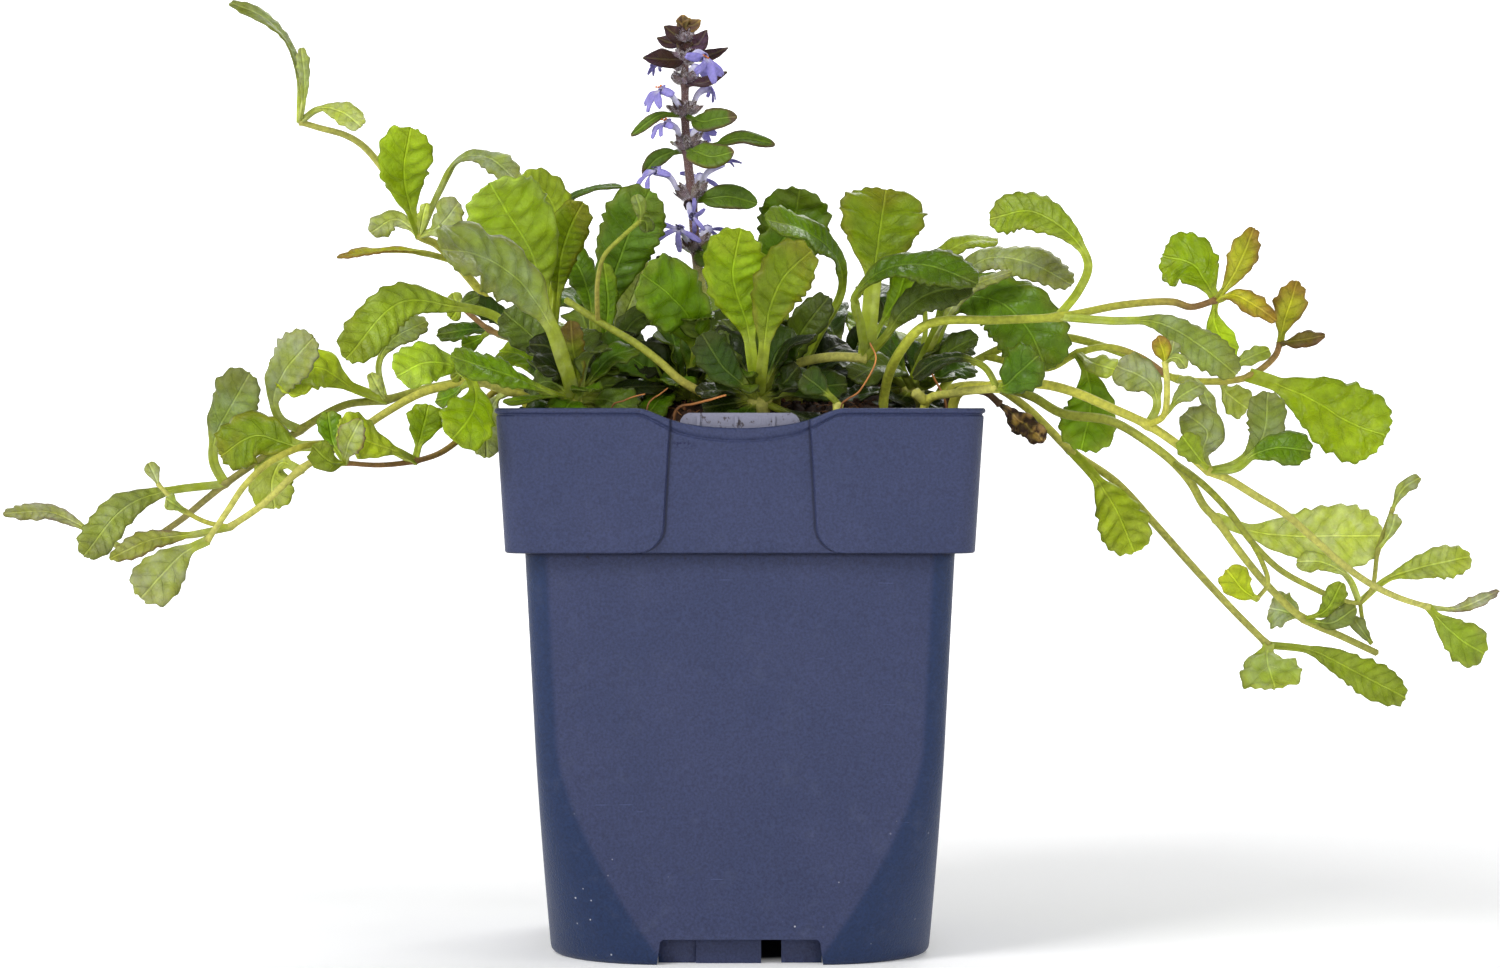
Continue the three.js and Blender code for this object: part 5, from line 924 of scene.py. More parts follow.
def leaf_tints(tone, edge, along, points, draws):
    """Tints of a leaf's upper and under side, each with its edge colour and its pale stalk"""
    upper, lower, rim, reach, _ = TONES[tone]
    light = draws.uniform(0.82, 1.08) * (1 + 0.12 * ripple(points, 7, draws.integers(1 << 30)))
    warm = np.array([1.12, 1.0, 0.86]) ** draws.normal(0, 0.25)
    edge_part = smooth(1 - reach, 1.0, np.maximum(np.abs(edge), 1.25 * along - 0.25)
                       + 0.18 * ripple(points, 3, draws.integers(1 << 30)))
    stalk_part = 1 - smooth(0.0, 0.3, along)
    if tone == 'dead':
        edge_part = smooth(-0.1, 0.5, ripple(points, 0.8, draws.integers(1 << 30)))
    sides = []
    for base in (upper, lower):
        tint = mix(base * warm, rim, edge_part[..., None] * 0.85)
        stalk = mix(STALK_TINT, base, 0.25) if tone not in PLAIN_STALKED else base
        sides.append(mix(tint, stalk, stalk_part[..., None] * 0.8) * light[..., None])
    return sides


def rings_along(centres, tangents, radii, angles, shape=1):
    """Rings round a line's points, each turned as little as possible from the one before"""
    normal = np.array([1, 0.3, 0.2])
    rings = []
    for centre, tangent, radius in zip(centres, tangents, radii):
        normal = unit(normal - tangent * normal.dot(tangent))
        other = np.cross(tangent, normal)
        round_way = np.cos(angles)[:, None] * normal + np.sin(angles)[:, None] * other
        rings.append(centre + radius * shape * round_way)
    return rings


def tube(batch, points, radii, tints, sides, squareness=2.6):
    """A closed tube along dense points"""
    tangents = unit(np.gradient(points, axis=0))
    angles = turns(sides)
    shape = np.abs(np.cos(angles)) ** squareness + np.abs(np.sin(angles)) ** squareness
    rings = rings_along(points, tangents, radii, angles, shape[:, None] ** (-1 / squareness))
    ends = [points[0] - tangents[0] * radii[0] * 0.4, points[-1] + tangents[-1] * radii[-1] * 0.6]
    steps = np.concatenate([[0], np.cumsum(np.linalg.norm(np.diff(points, axis=0), axis=1))])
    round_places = np.tile(np.arange(sides) * radii.mean() * 6 / sides, len(points))
    place = np.stack([np.repeat(steps, sides), round_places, 0 * round_places], axis=-1)
    batch.add_stack(rings, ends, STEM, with_ends(np.repeat(tints, sides, axis=0)),
                    place=with_ends(place), skin=STEM_SKIN)


def soil_height(x, y):
    """The soil's height, with its broad lumps and the mound at the right"""
    from_wall = SOIL_WALL - np.maximum(np.abs(x), np.abs(y))
    mound = MOUND_HEIGHT * np.exp(-((x - MOUND_X) / 9) ** 2 - ((y - MOUND_Y) / 13) ** 2)
    lumps = 0.8 * np.sin(0.55 * x + 1.3) * np.cos(0.47 * y - 0.6) + 0.4 * np.sin(1.1 * x - 0.7 * y)
    return SOIL_LOW + SOIL_RISE * smooth(0, 26, from_wall) + (mound + lumps) * smooth(0, 8, from_wall)


def rooted_way(way):
    """A stem's points in space, after its foot in the soil"""
    points = np.array([seen(point) for point in way])
    ground = soil_height(points[0, 0], points[0, 1])
    points[0, 2] = max(points[0, 2], ground + LOWEST_START)
    return np.vstack([[*points[0, :2], ground - ROOT_DEPTH], points])


def stem(batch, points, radii, colours, draws, knots=(), sides=10, slim=SLIM, turning=TURNING):
    """A smooth stem through its points, swollen at the knots where its leaves grow"""
    spans = len(points) - 1
    curve = Curve(points)
    pieces = [curve.place(np.linspace(i, i + 1, SPAN_STEPS + 1)[:-1] / spans)[0] for i in range(spans)]
    path = np.vstack(pieces + [points[-1:]])
    position = np.linspace(0, spans, len(path))
    thick = mix(*radii, position / spans) * slim
    for knot in knots:
        thick = thick * (1 + KNOT_SWELL * np.exp(-((position - knot) / KNOT_LENGTH) ** 2))
    shares = (position / spans)[:, None]
    light = 1 + 0.18 * ripple(path, 6, draws.integers(1 << 30))[:, None]
    tube(batch, path, thick, mix(*colours, smooth(*turning, shares)) * light, sides)


def blade_on(batch, point, radius, leaf, draws):
    """A leaf whose midrib starts inside the stem that it grows from"""
    way = np.array([seen(place) for place in leaf['way']])
    foot = point - unit(way[0] - point) * radius * 0.3
    blade(batch, np.vstack([foot, way]), leaf, draws)


def low_leaves(batch, crown, draws):
    """Small dark leaves that spread low round a crown, over the soil"""
    first = draws.uniform(0, 2 * math.pi)
    for i in range(FLAT_LEAVES + LOW_LEAVES + STANDING_LEAVES):
        angle = first + i * GOLDEN_TURN + draws.uniform(-0.3, 0.3)
        standing = i >= FLAT_LEAVES + LOW_LEAVES
        reach = draws.uniform(*(STANDING_REACH if standing else LOW_REACH))
        end = crown[:2] + reach * np.array([math.cos(angle), math.sin(angle)])
        end = np.clip(end, -LOW_LIMIT, LOW_LIMIT)
        middle = mix(crown[:2], end, 0.55)
        rise = draws.uniform(*(STANDING_RISE if standing else LOW_RISE))
        if i < FLAT_LEAVES:
            rise = draws.uniform(*FLAT_RISE)
        points = np.array([crown, [*middle, soil_height(*middle) + 0.8 * rise + 1.5],
                           [*end, soil_height(*end) + rise]])
        tone = LOW_TONES[int(draws.integers(len(LOW_TONES)))]
        low = leaf(tone, draws.uniform(6, 10.5), face=draws.uniform(25, 75), stalk=0.22)
        blade(batch, points, low, draws)


def grow(name, stem_tone, stems, leaves, leaf_skin, stem_skin):
    """A plant's stems and leaves as one piece. A rosette has its low leaves too."""
    batch = Batch()
    draws = np.random.default_rng(sum(name.encode()))
    slim = CREAM_SLIM if stem_tone == 'cream_stem' else SLIM
    turning = LATE_TURNING if stem_tone == 'browning_stem' else TURNING
    grown = {}
    for stem_name, part in stems.items():
        if 'on' in part:
            points = np.vstack([grown[part['on']][0][part['at']], [seen(point) for point in part['way']]])
        else:
            points = rooted_way(part['way'])
        shift = 0 if 'on' in part else 1
        knots = {leaf['at'] + shift for leaf in leaves if leaf['on'] == stem_name}
        stem(batch, points, part['radii'], STEM_TINTS[stem_tone], draws, sorted(knots),
             slim=slim, turning=turning)
        grown[stem_name] = (points[shift:], part['radii'][1])
    for leaf in leaves:
        points, radius = grown[leaf['on']]
        blade_on(batch, points[leaf['at']], radius, leaf, draws)
    if name.startswith('rosette'):
        low_leaves(batch, grown['main'][0][0], draws)
    slot = 'dead_leaf_brown' if name == 'dead_leaf' else 'leaf_green'
    finish_piece(batch, name, slot, leaf_skin, stem_skin)


# The flower spike. A profile lists shares of a piece's length with shares of its radius. A circle of buds
# has its count and its rise. The top bracts have their whorl and their length.
CALYX_RADIUS = 1.45
CALYX_SIDES = 30
CALYX_PROFILE = [(0.06, 0.3), (0.14, 0.62), (0.3, 0.86), (0.5, 0.97), (0.7, 0.95), (0.86, 0.93)]
THROAT_RADIUS = 0.65
BUD_SIDES = 15
BUD_PROFILE = [(0.14, 0.4), (0.26, 0.75), (0.42, 1.0), (0.58, 0.94), (0.74, 0.66), (0.87, 0.34),
               (0.95, 0.14)]
RIBS = 5
HAIR_WIDTH = 0.03
CALYX_HAIRS = 220
BUD_HAIRS = 120
STEM_HAIRS = 2400
FIRST_WHORL = 4
LAST_WHORL = 10
BUD_CIRCLES = ((8, 0.45), (7, 1.1))
TOP_BRACTS = ((9, 4.6), (10, 4.4), (10.5, 3.6))
BUD_ROOM = 0.45
SPIKE_TURNING = (0.28, 0.4)
HAIRY_SKIN = (0.35, 1, 0)
SPIKE_SEED = 41

# The flowers and straws. Some of a tube's rings return down its inside. A lobe's outline lists shares
# of its length with shares of its width, and its turn from the middle comes with its share of the reach.
COROLLA_SEED = 500
STRAW_SEED = 700
TUBE_SIDES = 16
TUBE_RINGS = 12
INSIDE_RINGS = 6
# The last rings inside a tube are darker: painted shade inside the tube
SHADED_INSIDE_RINGS = 5
TUBE_WALL = 0.22
PETAL_ROWS = 12
PETAL_COLUMNS = 9
PETAL_THICK = 0.1
PETAL_OUTLINE = ([0, 0.2, 0.45, 0.7, 0.88, 1], [0.5, 0.62, 0.85, 1, 0.86, 0.5])
PETAL_TURNS = ((-0.33, 1.0), (0.33, 0.97), (-1.02, 0.86), (1.02, 0.84))
STARRY_WHORL = 5
STAMEN_RANKS = (0.35, 0.75)
STAMEN_RADIUS = 0.11
ANTHER_HALF = 0.24
ANTHER_RADII = (0.16, 0.26, 0.16)

CALYX_TINT = srgb(136, 118, 124)
CALYX_TIP = srgb(74, 54, 44)
BUD_TINT = srgb(142, 122, 136)
BUD_TIP = srgb(72, 52, 44)
OLIVE_BUD = srgb(112, 112, 62)
HAIR_TINT = srgb(226, 220, 226)
PETAL_TINT = srgb(146, 138, 206)
PETAL_EDGE = srgb(120, 110, 192)
PETAL_THROAT = srgb(206, 202, 230)
ANTHER_TINT = srgb(206, 116, 30)
SPENT_ANTHER = srgb(66, 58, 92)
STRAW_TINTS = (srgb(120, 78, 40), srgb(190, 124, 66))


def round_ways(direction, angles):
    """Directions away from a line, at angles round it"""
    side = unit(np.cross(direction, [0.31, 0.17, 0.93]))
    other = np.cross(direction, side)
    return np.cos(angles)[:, None] * side + np.sin(angles)[:, None] * other


def hairs(batch, roots, ways, length, draws):
    """Thin spikes that stand on a surface, each a little bent"""
    count = len(roots)
    ways = unit(ways + draws.normal(0, 0.28, (count, 3)))
    reach = (length * draws.uniform(0.55, 1.15, count))[:, None]
    side = unit(np.cross(ways, draws.normal(size=(count, 3))))
    other = np.cross(ways, side)
    spread = [side, -0.5 * side + 0.87 * other, -0.5 * side - 0.87 * other]
    base = [roots - ways * 0.1 + part * HAIR_WIDTH for part in spread]
    points = np.stack(base + [roots + ways * reach], axis=1)
    first = np.arange(count)[:, None] * 4
    faces = [np.concatenate([first + [0, 1, 3], first + [1, 2, 3], first + [2, 0, 3], first + [0, 2, 1]])]
    batch.add(points, faces, STEM, HAIR_TINT)


def calyx(batch, root, mouth, draws):
    """A hairy cup with ribs and pointed teeth, hollow where the corolla stands in it"""
    direction = unit(mouth - root)
    angles = turns(CALYX_SIDES)
    outward = round_ways(direction, angles)
    ribs = np.cos(angles * RIBS)[:, None]
    length = np.linalg.norm(mouth - root)
    teeth = np.maximum(0, ribs) ** 0.8
    rows = [root + direction * length * share + outward * CALYX_RADIUS * wide * (1 + 0.06 * ribs * share)
            for share, wide in CALYX_PROFILE]
    rim = root + direction * (length * (0.9 + 0.26 * teeth)) + outward * CALYX_RADIUS * (0.96 - 0.1 * teeth)
    inner_rim = rim - outward * 0.22 - direction * 0.05
    inner = root + direction * length * 0.68 + outward * (THROAT_RADIUS + 0.4)
    ends = [root + direction * 0.1, root + direction * length * 0.62]
    shares = np.repeat([share for share, _ in CALYX_PROFILE] + [1, 1, 0.6], CALYX_SIDES)[:, None]
    tints = mix(CALYX_TINT, CALYX_TIP, smooth(0.5, 1.05, shares)) * draws.uniform(0.85, 1.15)
    batch.add_stack([*rows, rim, inner_rim, inner], ends, STEM, with_ends(tints), skin=HAIRY_SKIN)
    spots = draws.integers(0, CALYX_SIDES, CALYX_HAIRS)
    shares = draws.uniform(0.1, 1.0, CALYX_HAIRS)[:, None]
    roots = root + direction * length * shares + outward[spots] * CALYX_RADIUS * 0.9
    hairs(batch, roots, outward[spots] + direction * 0.5, 1.0, draws)


def bud(batch, root, tip, radius, tint, draws):
    """A ribbed pointed bud"""
    direction = unit(tip - root)
    angles = turns(BUD_SIDES)
    outward = round_ways(direction, angles)
    length = np.linalg.norm(tip - root)
    ribs = 1 + 0.08 * np.cos(angles * RIBS)[:, None]
    rows = [root + direction * length * share + outward * radius * 0.95 * wide * ribs
            for share, wide in BUD_PROFILE]
    shares = np.repeat([share for share, _ in BUD_PROFILE], BUD_SIDES)[:, None]
    tints = mix(tint, BUD_TIP, smooth(0.45, 1, shares)) * draws.uniform(0.8, 1.2)
    ends = [root + direction * length * 0.1, tip]
    batch.add_stack(rows, ends, STEM, with_ends(tints), skin=HAIRY_SKIN)
    spots = draws.integers(0, BUD_SIDES, BUD_HAIRS)
    shares = draws.uniform(0.3, 0.95, BUD_HAIRS)[:, None]
    wide = np.interp(shares[:, 0], *zip(*BUD_PROFILE))[:, None]
    roots = root + direction * length * shares + outward[spots] * radius * 0.9 * wide
    hairs(batch, roots, outward[spots] + direction * 0.6, 0.75, draws)


def stem_hairs(batch, points, draws):
    """Hairs on the spike's stem, from above the soil to the top"""
    shares = draws.uniform(0.22, 1, STEM_HAIRS)
    centres, tangents = Curve(points).at(shares)
    around = unit(np.cross(tangents, draws.normal(size=(STEM_HAIRS, 3))))
    radii = mix(*SPIKE['radii'], shares)[:, None]
    hairs(batch, centres + around * radii * 0.9, around, 0.8, draws)


def bud_whorl(batch, whorl, centre, draws):
    """Two circles of buds round the stem, with room left for the whorl's flowers"""
    mouths = [seen(mouth) - centre for at, mouth, *_ in FLOWERS if at == whorl]
    taken = [math.atan2(mouth[1], mouth[0]) for mouth in mouths]
    high = (whorl - FIRST_WHORL) / 7
    for circle, (count, rise) in enumerate(BUD_CIRCLES):
        for i in range(count):
            turn = (i + 0.5 * circle) / count * 2 * math.pi + 0.4 * whorl
            if any(math.cos(other - turn) > math.cos(BUD_ROOM) for other in taken):
                continue
            length = mix(6.2, 3.6, high) * draws.uniform(0.8, 1.1)
            reach = unit(np.array([math.cos(turn), math.sin(turn), rise]))
            tint = mix(BUD_TINT, OLIVE_BUD, draws.uniform(0, 0.7) * (1 - 0.6 * high))
            bud(batch, centre, centre + reach * length, mix(0.95, 0.75, high), tint, draws)


def top_bracts(batch, points, draws):
    """Four small bracts at each of the highest whorls"""
    for whorl, length in TOP_BRACTS:
        shape = leaf('bract_tan' if whorl > LAST_WHORL else 'bract_dark', 2.6,
                     face=88, fold=24, stalk=0.05, teeth=0, point=0.8)
        for i in range(4):
            turn = i / 4 * 2 * math.pi + 2 * whorl
            reach = unit(np.array([math.cos(turn), math.sin(turn), 1.5]))
            foot = mix(points[int(whorl)], points[math.ceil(whorl)], whorl % 1)
            blade(batch, foot + reach * length * np.array([[0.15], [0.55], [1.0]]), shape, draws)


def make_spike(leaf_skin, stem_skin):
    """The spike's stem with its hairs, bracts, calyces and buds as one piece"""
    batch = Batch()
    draws = np.random.default_rng(SPIKE_SEED)
    rooted = rooted_way(SPIKE['way'])
    points = rooted[1:]
    knots = range(FIRST_WHORL + 1, len(rooted))
    stem(batch, rooted, SPIKE['radii'], STEM_TINTS['spike_stem'], draws, knots, sides=12,
         turning=SPIKE_TURNING)
    stem_hairs(batch, points, draws)
    for grown in BRACTS:
        blade_on(batch, points[grown['at']], SPIKE['radii'][1], grown, draws)
    for whorl, mouth, *_ in FLOWERS:
        calyx(batch, points[whorl], seen(mouth), draws)
    for whorl in range(FIRST_WHORL, LAST_WHORL + 1):
        bud_whorl(batch, whorl, points[whorl], draws)
    top_bracts(batch, points, draws)
    finish_piece(batch, 'flower_spike', 'spike_skin', leaf_skin, stem_skin)


def petal(batch, root, tip, wide, toward, draws, notch=0.0, droop=0.18):
    """A petal lobe as a thin shell that widens from its root, with a round or notched tip"""
    along = tip - root
    length = np.linalg.norm(along)
    along = along / length
    across = unit(np.cross(along, toward))
    upper = np.cross(across, along)
    shares = np.linspace(0, 1, PETAL_ROWS)[:, None]
    edge = np.linspace(-1, 1, PETAL_COLUMNS)[None, :]
    flat = 0 * (shares + edge)
    outline = wide / 2 * np.interp(shares, *PETAL_OUTLINE)
    reach = shares * length * (1 - notch * np.exp(-(edge / 0.3) ** 2) * shares - 0.08 * edge ** 2)
    bend = length * (0.14 * np.sin(shares * math.pi) - droop * shares ** 2)
    bend = bend + 0.1 * outline * (1 - edge ** 2)
    flutter = 0.22 * outline * np.sin(shares * 8 + draws.uniform(0, 6)) * edge
    surface = (root + across * (edge * outline)[..., None] + along * reach[..., None]
               + upper * (bend + flutter)[..., None])
    skin = grid_normals(surface) * PETAL_THICK
    tints = mix(PETAL_THROAT, PETAL_TINT, smooth(0.05, 0.4, shares + flat)[..., None])
    tints = mix(tints, PETAL_EDGE, (0.6 * smooth(0.5, 1, np.abs(edge) + flat))[..., None])
    tints = tints * draws.uniform(0.92, 1.08)
    vein = np.stack([edge + flat, shares * 4 + flat, outline + flat], axis=-1)
    batch.add(both(surface + skin, surface - skin), shell_faces(PETAL_ROWS, PETAL_COLUMNS), LEAF,
              both(tints, tints), vein=both(vein, vein))


def flower_tube(batch, seat, opening, bend, gape):
    """The corolla's tube, which widens to its mouth and is open some way down"""
    there = np.linspace(0, 1, TUBE_RINGS)
    back = slice(None, TUBE_RINGS - INSIDE_RINGS - 1, -1)
    shares = np.concatenate([there, there[back]])
    outer = np.interp(there, [0, 0.5, 0.85, 1], [0.6, 0.7, 0.95, 1.15])
    radii = np.concatenate([outer, outer[back] - TUBE_WALL])
    centres, tangents = Curve([seat, opening, bend, gape]).at(shares)
    rings = rings_along(centres, tangents, radii, turns(TUBE_SIDES))
    tints = mix(PETAL_THROAT, PETAL_TINT, 0.7 * smooth(0.3, 1.0, np.repeat(shares, TUBE_SIDES)[:, None]))
    # Painted shade: the rings inside the tube are darker
    tints[-TUBE_SIDES * SHADED_INSIDE_RINGS:] *= 0.7
    batch.add_stack(rings, [seat, centres[-1]], LEAF, with_ends(tints))


def thread(batch, way, radii, tint, sides):
    """A round tube of one tint"""
    tube(batch, way, radii, np.tile(tint, (len(way), 1)), sides, squareness=2)


def make_corolla(number, whorl, places, petal_skin, stem_skin):
    """A flower: its tube, four lobes of the lower lip, two of the upper lip, and four stamens"""
    batch = Batch()
    draws = np.random.default_rng(COROLLA_SEED + number)
    root = seen(SPIKE['way'][whorl])
    opening, bend, gape, tip = (seen(place) for place in places)
    flower_tube(batch, mix(opening, root, 0.2), opening, bend, gape)
    drop = tip - gape
    down = unit(drop)
    outward = unit(gape - bend)
    sideways = unit(np.cross(drop, outward))
    reach = np.linalg.norm(drop)
    inner = gape - outward * 0.25
    starry = whorl <= STARRY_WHORL
    spread, breadth = (1.35, 0.2) if starry else (1.0, 0.31)
    anther_tint = SPENT_ANTHER if starry else ANTHER_TINT
    for turn, share in PETAL_TURNS:
        way = down * math.cos(turn * spread) + sideways * math.sin(turn * spread)
        petal(batch, inner + way * 0.45, gape + way * reach * share, reach * breadth, outward, draws,
              notch=0.08)
    for sign in (1, -1):
        short_tip = gape - down * 1.5 + sideways * sign * 0.5
        petal(batch, inner - down * 0.6 + sideways * sign * 0.2, short_tip, 1.1, outward, draws, droop=-0.1)
        for rank in STAMEN_RANKS:
            end = gape + outward * (0.5 + rank) - down * 0.75 + sideways * sign * rank
            stamen = np.linspace(inner - down * 0.4, end, 5)
            thread(batch, stamen, np.full(5, STAMEN_RADIUS), PETAL_THROAT, 6)
            anther = np.array([end - sideways * ANTHER_HALF, end, end + sideways * ANTHER_HALF])
            thread(batch, anther, np.array(ANTHER_RADII), anther_tint, 7)
    finish_piece(batch, f'corolla_{number}', 'petal_violet', petal_skin, stem_skin)


def make_straw(number, radius, way, straw_skin):
    """A straw that stands in the soil, a little bent"""
    batch = Batch()
    draws = np.random.default_rng(STRAW_SEED + number)
    points = rooted_way(way)[1:]
    foot = points[0] + (points[0] - points[1]) * 0.12
    foot[2] = soil_height(foot[0], foot[1]) - 0.6
    bends = draws.normal(0, 0.25, (2, 3))
    between = mix(points[0], points[1], np.array([[0.3], [0.65]])) + bends
    points = np.vstack([foot, points[:1], between, points[1:]])
    stem(batch, points, (radius * 0.62, radius * 0.4), STRAW_TINTS, draws, sides=8)
    finish_piece(batch, f'straw_{number}', 'straw_tan', straw_skin, straw_skin)


# The pot: half-widths, heights and thicknesses in millimetres
WALL = 1.2
FOOT_HALF = 44
SHOULDER_HALF = 48.7
COLLAR_BOTTOM = 93.6
COLLAR_HALF = 52
RIM_HALF = 55
COLLAR_CORNER = 4.2
CHEEK = 1
CHEEK_ROUND = 6
CHEEK_EDGE_LOW = 17.2
CHEEK_EDGE_HIGH = 15.4
INSIDE_EDGE = 16
FLOOR_UNDER = 5.9
FLOOR_TOP = 7.2
FOOT_RING = 2.6
LIP = 0.25
RIM_DIP = 3
DIP_ENDS = (13, 23.5)
MIDDLE_DIP = 1.5
MIDDLE_DIP_HALF = 14.5
CORNER_STEPS = 12
BEVEL = 0.25
BEVEL_ANGLE = 50
SHARP_ANGLE = 40

# The wall's corners are round at the top and cut off more and more below the chamfer's top
CORNER = 4.8
CHAMFER = 22
CHAMFER_TOP = 50
CHAMFER_BEND = 1.6

# The notch in each side's foot, the slots and round drains in the floor, and the feet below it
NOTCH_HALF = 17.5
NOTCH_DEPTHS = (-46.4, -40.4)
SLOT = ((5.4, 8.8), (-36.5, -28), (-1, FLOOR_TOP + 1))
DRAIN_MIDDLE = 17
DRAIN_RADIUS = 3
DRAIN_SIDES = 24
DRAIN_HEIGHTS = (1, FLOOR_TOP + 2)
FEET = (((-18.6, -9.4), (-39.2, -37.8)), ((-10, 4.8), (-40, -38.2)), ((9.4, 18.6), (-39.2, -37.8)))
FOOT_RISE = FLOOR_UNDER + 0.4

# The label tongue inside the front rim, its foot and its ribs
TONGUE_HALF = 13.8
TONGUE_FOOT = 101
TONGUE_TOP = RIM_HEIGHT - 1.1
TONGUE_ROUND = ((0, 2.9), (0.5, 1.4), (1.2, 0.5), (2.2, 0))
TONGUE_DEPTHS = (-50, -48.9)
TONGUE_LEDGE = ((-TONGUE_HALF, TONGUE_HALF), (-51.8, -49.4), (99.8, 101.2))
TONGUE_RIBS = (-9.3, -0.8, 7.6)
RIB_HALF = 0.35
RIB_DEPTHS = (-50.45, -49.9)

# Tints that the pot's own material doesn't use
RING_TINT = (0.1, 0.1, 0.1)
BLOCK_TINT = (0, 0, 0)

# The collar's rings. Those at its foot have their height above it and how far they stand out. Those at
# its head and inside it have their depth below the rim, how far they stand out, and their share of its dip.
COLLAR_FOOT = ((0, -0.5), (0.15, -0.15), (0.5, 0), (1.2, 0), (2.2, 0), (3.4, 0), (4.6, 0), (6, 0),
               (10, 0), (15, 0))
COLLAR_HEAD = ((9, 0, 0.4), (5, 0, 0.9), (3, 0, 1.2), (1.9, 0, 1.3), (1.6, -0.3, 1.32), (1.35, -0.34, 1.31),
               (1.2, -0.1, 1.29), (1.0, LIP, 1.24), (0.75, LIP * 1.2, 1.15), (0.4, LIP, 1.07),
               (0.12, LIP * 0.4, 1.02), (0, -0.2, 1))
COLLAR_INSIDE = ((0, 0.12, 1), (0.25, 0, 1), (1, 0, 1), (4, 0, 0.9), (9, 0, 0.4), (15, 0, 0))


def body_corner(z):
    """The radius of the wall's corners, which grows towards the foot"""
    return CORNER + CHAMFER * max(0, 1 - z / CHAMFER_TOP) ** CHAMFER_BEND


def body_half(z):
    return mix(FOOT_HALF, SHOULDER_HALF, z / COLLAR_BOTTOM)


def collar_share(z):
    return (z - COLLAR_BOTTOM) / (RIM_HEIGHT - COLLAR_BOTTOM)


def collar_half(z):
    return mix(COLLAR_HALF, RIM_HALF - CHEEK, collar_share(z))


def cheek_edge(z):
    """How far from the middle a cheek begins, rounded off at its foot"""
    below = max(0, CHEEK_ROUND - (z - COLLAR_BOTTOM))
    edge = mix(CHEEK_EDGE_LOW, CHEEK_EDGE_HIGH, collar_share(z))
    return edge + CHEEK_ROUND - math.sqrt(CHEEK_ROUND ** 2 - below ** 2)


def rim_dip(x):
    """How far the front rim dips at a distance from the pot's middle"""
    across = np.abs(x)
    dip = RIM_DIP * (1 - smooth(*DIP_ENDS, across))
    return dip + MIDDLE_DIP * np.maximum(0, 1 - (across / MIDDLE_DIP_HALF) ** 2)


def turned(points, side):
    """Points of the front, turned by quarters to another side"""
    cosine, sine = math.cos(side * math.pi / 2), math.sin(side * math.pi / 2)
    return points @ np.array([[cosine, -sine, 0], [sine, cosine, 0], [0, 0, 1]]).T


def pot_ring(z, half, corner, edge=INSIDE_EDGE, lift=0.0, dip=0.0):
    """A ring round the pot, from the front left, with the same stations at every height"""
    beyond = np.concatenate([[edge, edge + 0.05, edge + 0.5, edge + 0.7], np.linspace(edge + 1.6, 24.5, 8)])
    stations = np.concatenate([-beyond[::-1], np.linspace(-edge + 0.4, edge - 0.4, 25), beyond])
    centre = half - corner
    stations = np.clip(stations, -centre, centre)
    angles = np.arange(CORNER_STEPS + 1) / CORNER_STEPS * math.pi / 2
    xs = np.concatenate([stations, centre + (corner + lift) * np.sin(angles)])
    ys = np.concatenate([-half - lift * smooth(edge + 0.02, edge + 0.55, np.abs(stations)),
                         -centre - (corner + lift) * np.cos(angles)])
    dips = dip * rim_dip(np.where(ys < -centre - 0.5 * corner, xs, half))
    fronts = [np.stack([xs, ys, z - dips], axis=-1)] + [np.stack([xs, ys, z + 0 * xs], axis=-1)] * 3
    return np.concatenate([turned(front, side) for side, front in enumerate(fronts)])


def fan(count):
    """Triangles that fill an outline"""
    first = np.arange(1, count - 1)
    return np.stack([0 * first, first, first + 1], axis=-1)


def block(x, y, z):
    """A box between pairs of limits"""
    corners = np.array([[x[i], y[j], z[k]] for i in (0, 1) for j in (0, 1) for k in (0, 1)], float)
    quads = np.array([[0, 1, 3, 2], [4, 6, 7, 5], [0, 4, 5, 1], [2, 3, 7, 6], [0, 2, 6, 4], [1, 5, 7, 3]])
    return corners, [quads]


def plate(outline, depths):
    """An upright outline of [x, z] points between two depths"""
    count = len(outline)
    points = np.array([[x, y, z] for y in depths for x, z in outline], float)
    column = np.arange(count)
    following = (column + 1) % count
    sides = np.stack([following, following + count, column + count, column], axis=-1)
    cap = fan(count)
    return points, [sides, cap, cap[:, ::-1] + count]


def drain():
    """A round bar through the floor"""
    angles = turns(DRAIN_SIDES)
    x = DRAIN_MIDDLE + DRAIN_RADIUS * np.cos(angles)
    y = -DRAIN_MIDDLE + DRAIN_RADIUS * np.sin(angles)
    points = np.vstack([np.stack([x, y, z + 0 * x], axis=-1) for z in DRAIN_HEIGHTS])
    column = np.arange(DRAIN_SIDES)
    following = (column + 1) % DRAIN_SIDES
    walls = np.stack([column, following, following + DRAIN_SIDES, column + DRAIN_SIDES], axis=-1)
    cap = fan(DRAIN_SIDES)[:, [0, 2, 1]]
    return points, [walls, cap, cap[:, ::-1] + DRAIN_SIDES]


def add_block(batch, shape, side=0):
    """Adds points and faces that are made for the front, turned to a side"""
    points, faces = shape
    batch.add(turned(points, side), faces, 0, BLOCK_TINT)


def apply_modifiers(target):
    """Replaces the target's mesh by what its modifiers make of it"""
    graph = bpy.context.evaluated_depsgraph_get()
    mesh = bpy.data.meshes.new_from_object(target.evaluated_get(graph))
    target.modifiers.clear()
    target.data = mesh


def cut(target, tool):
    """Takes the tool's body out of the target's mesh"""
    modifier = target.modifiers.new('cut', 'BOOLEAN')
    modifier.operation = 'DIFFERENCE'
    modifier.solver = 'EXACT'
    modifier.use_self = False
    modifier.object = tool
    apply_modifiers(target)
    bpy.data.objects.remove(tool)


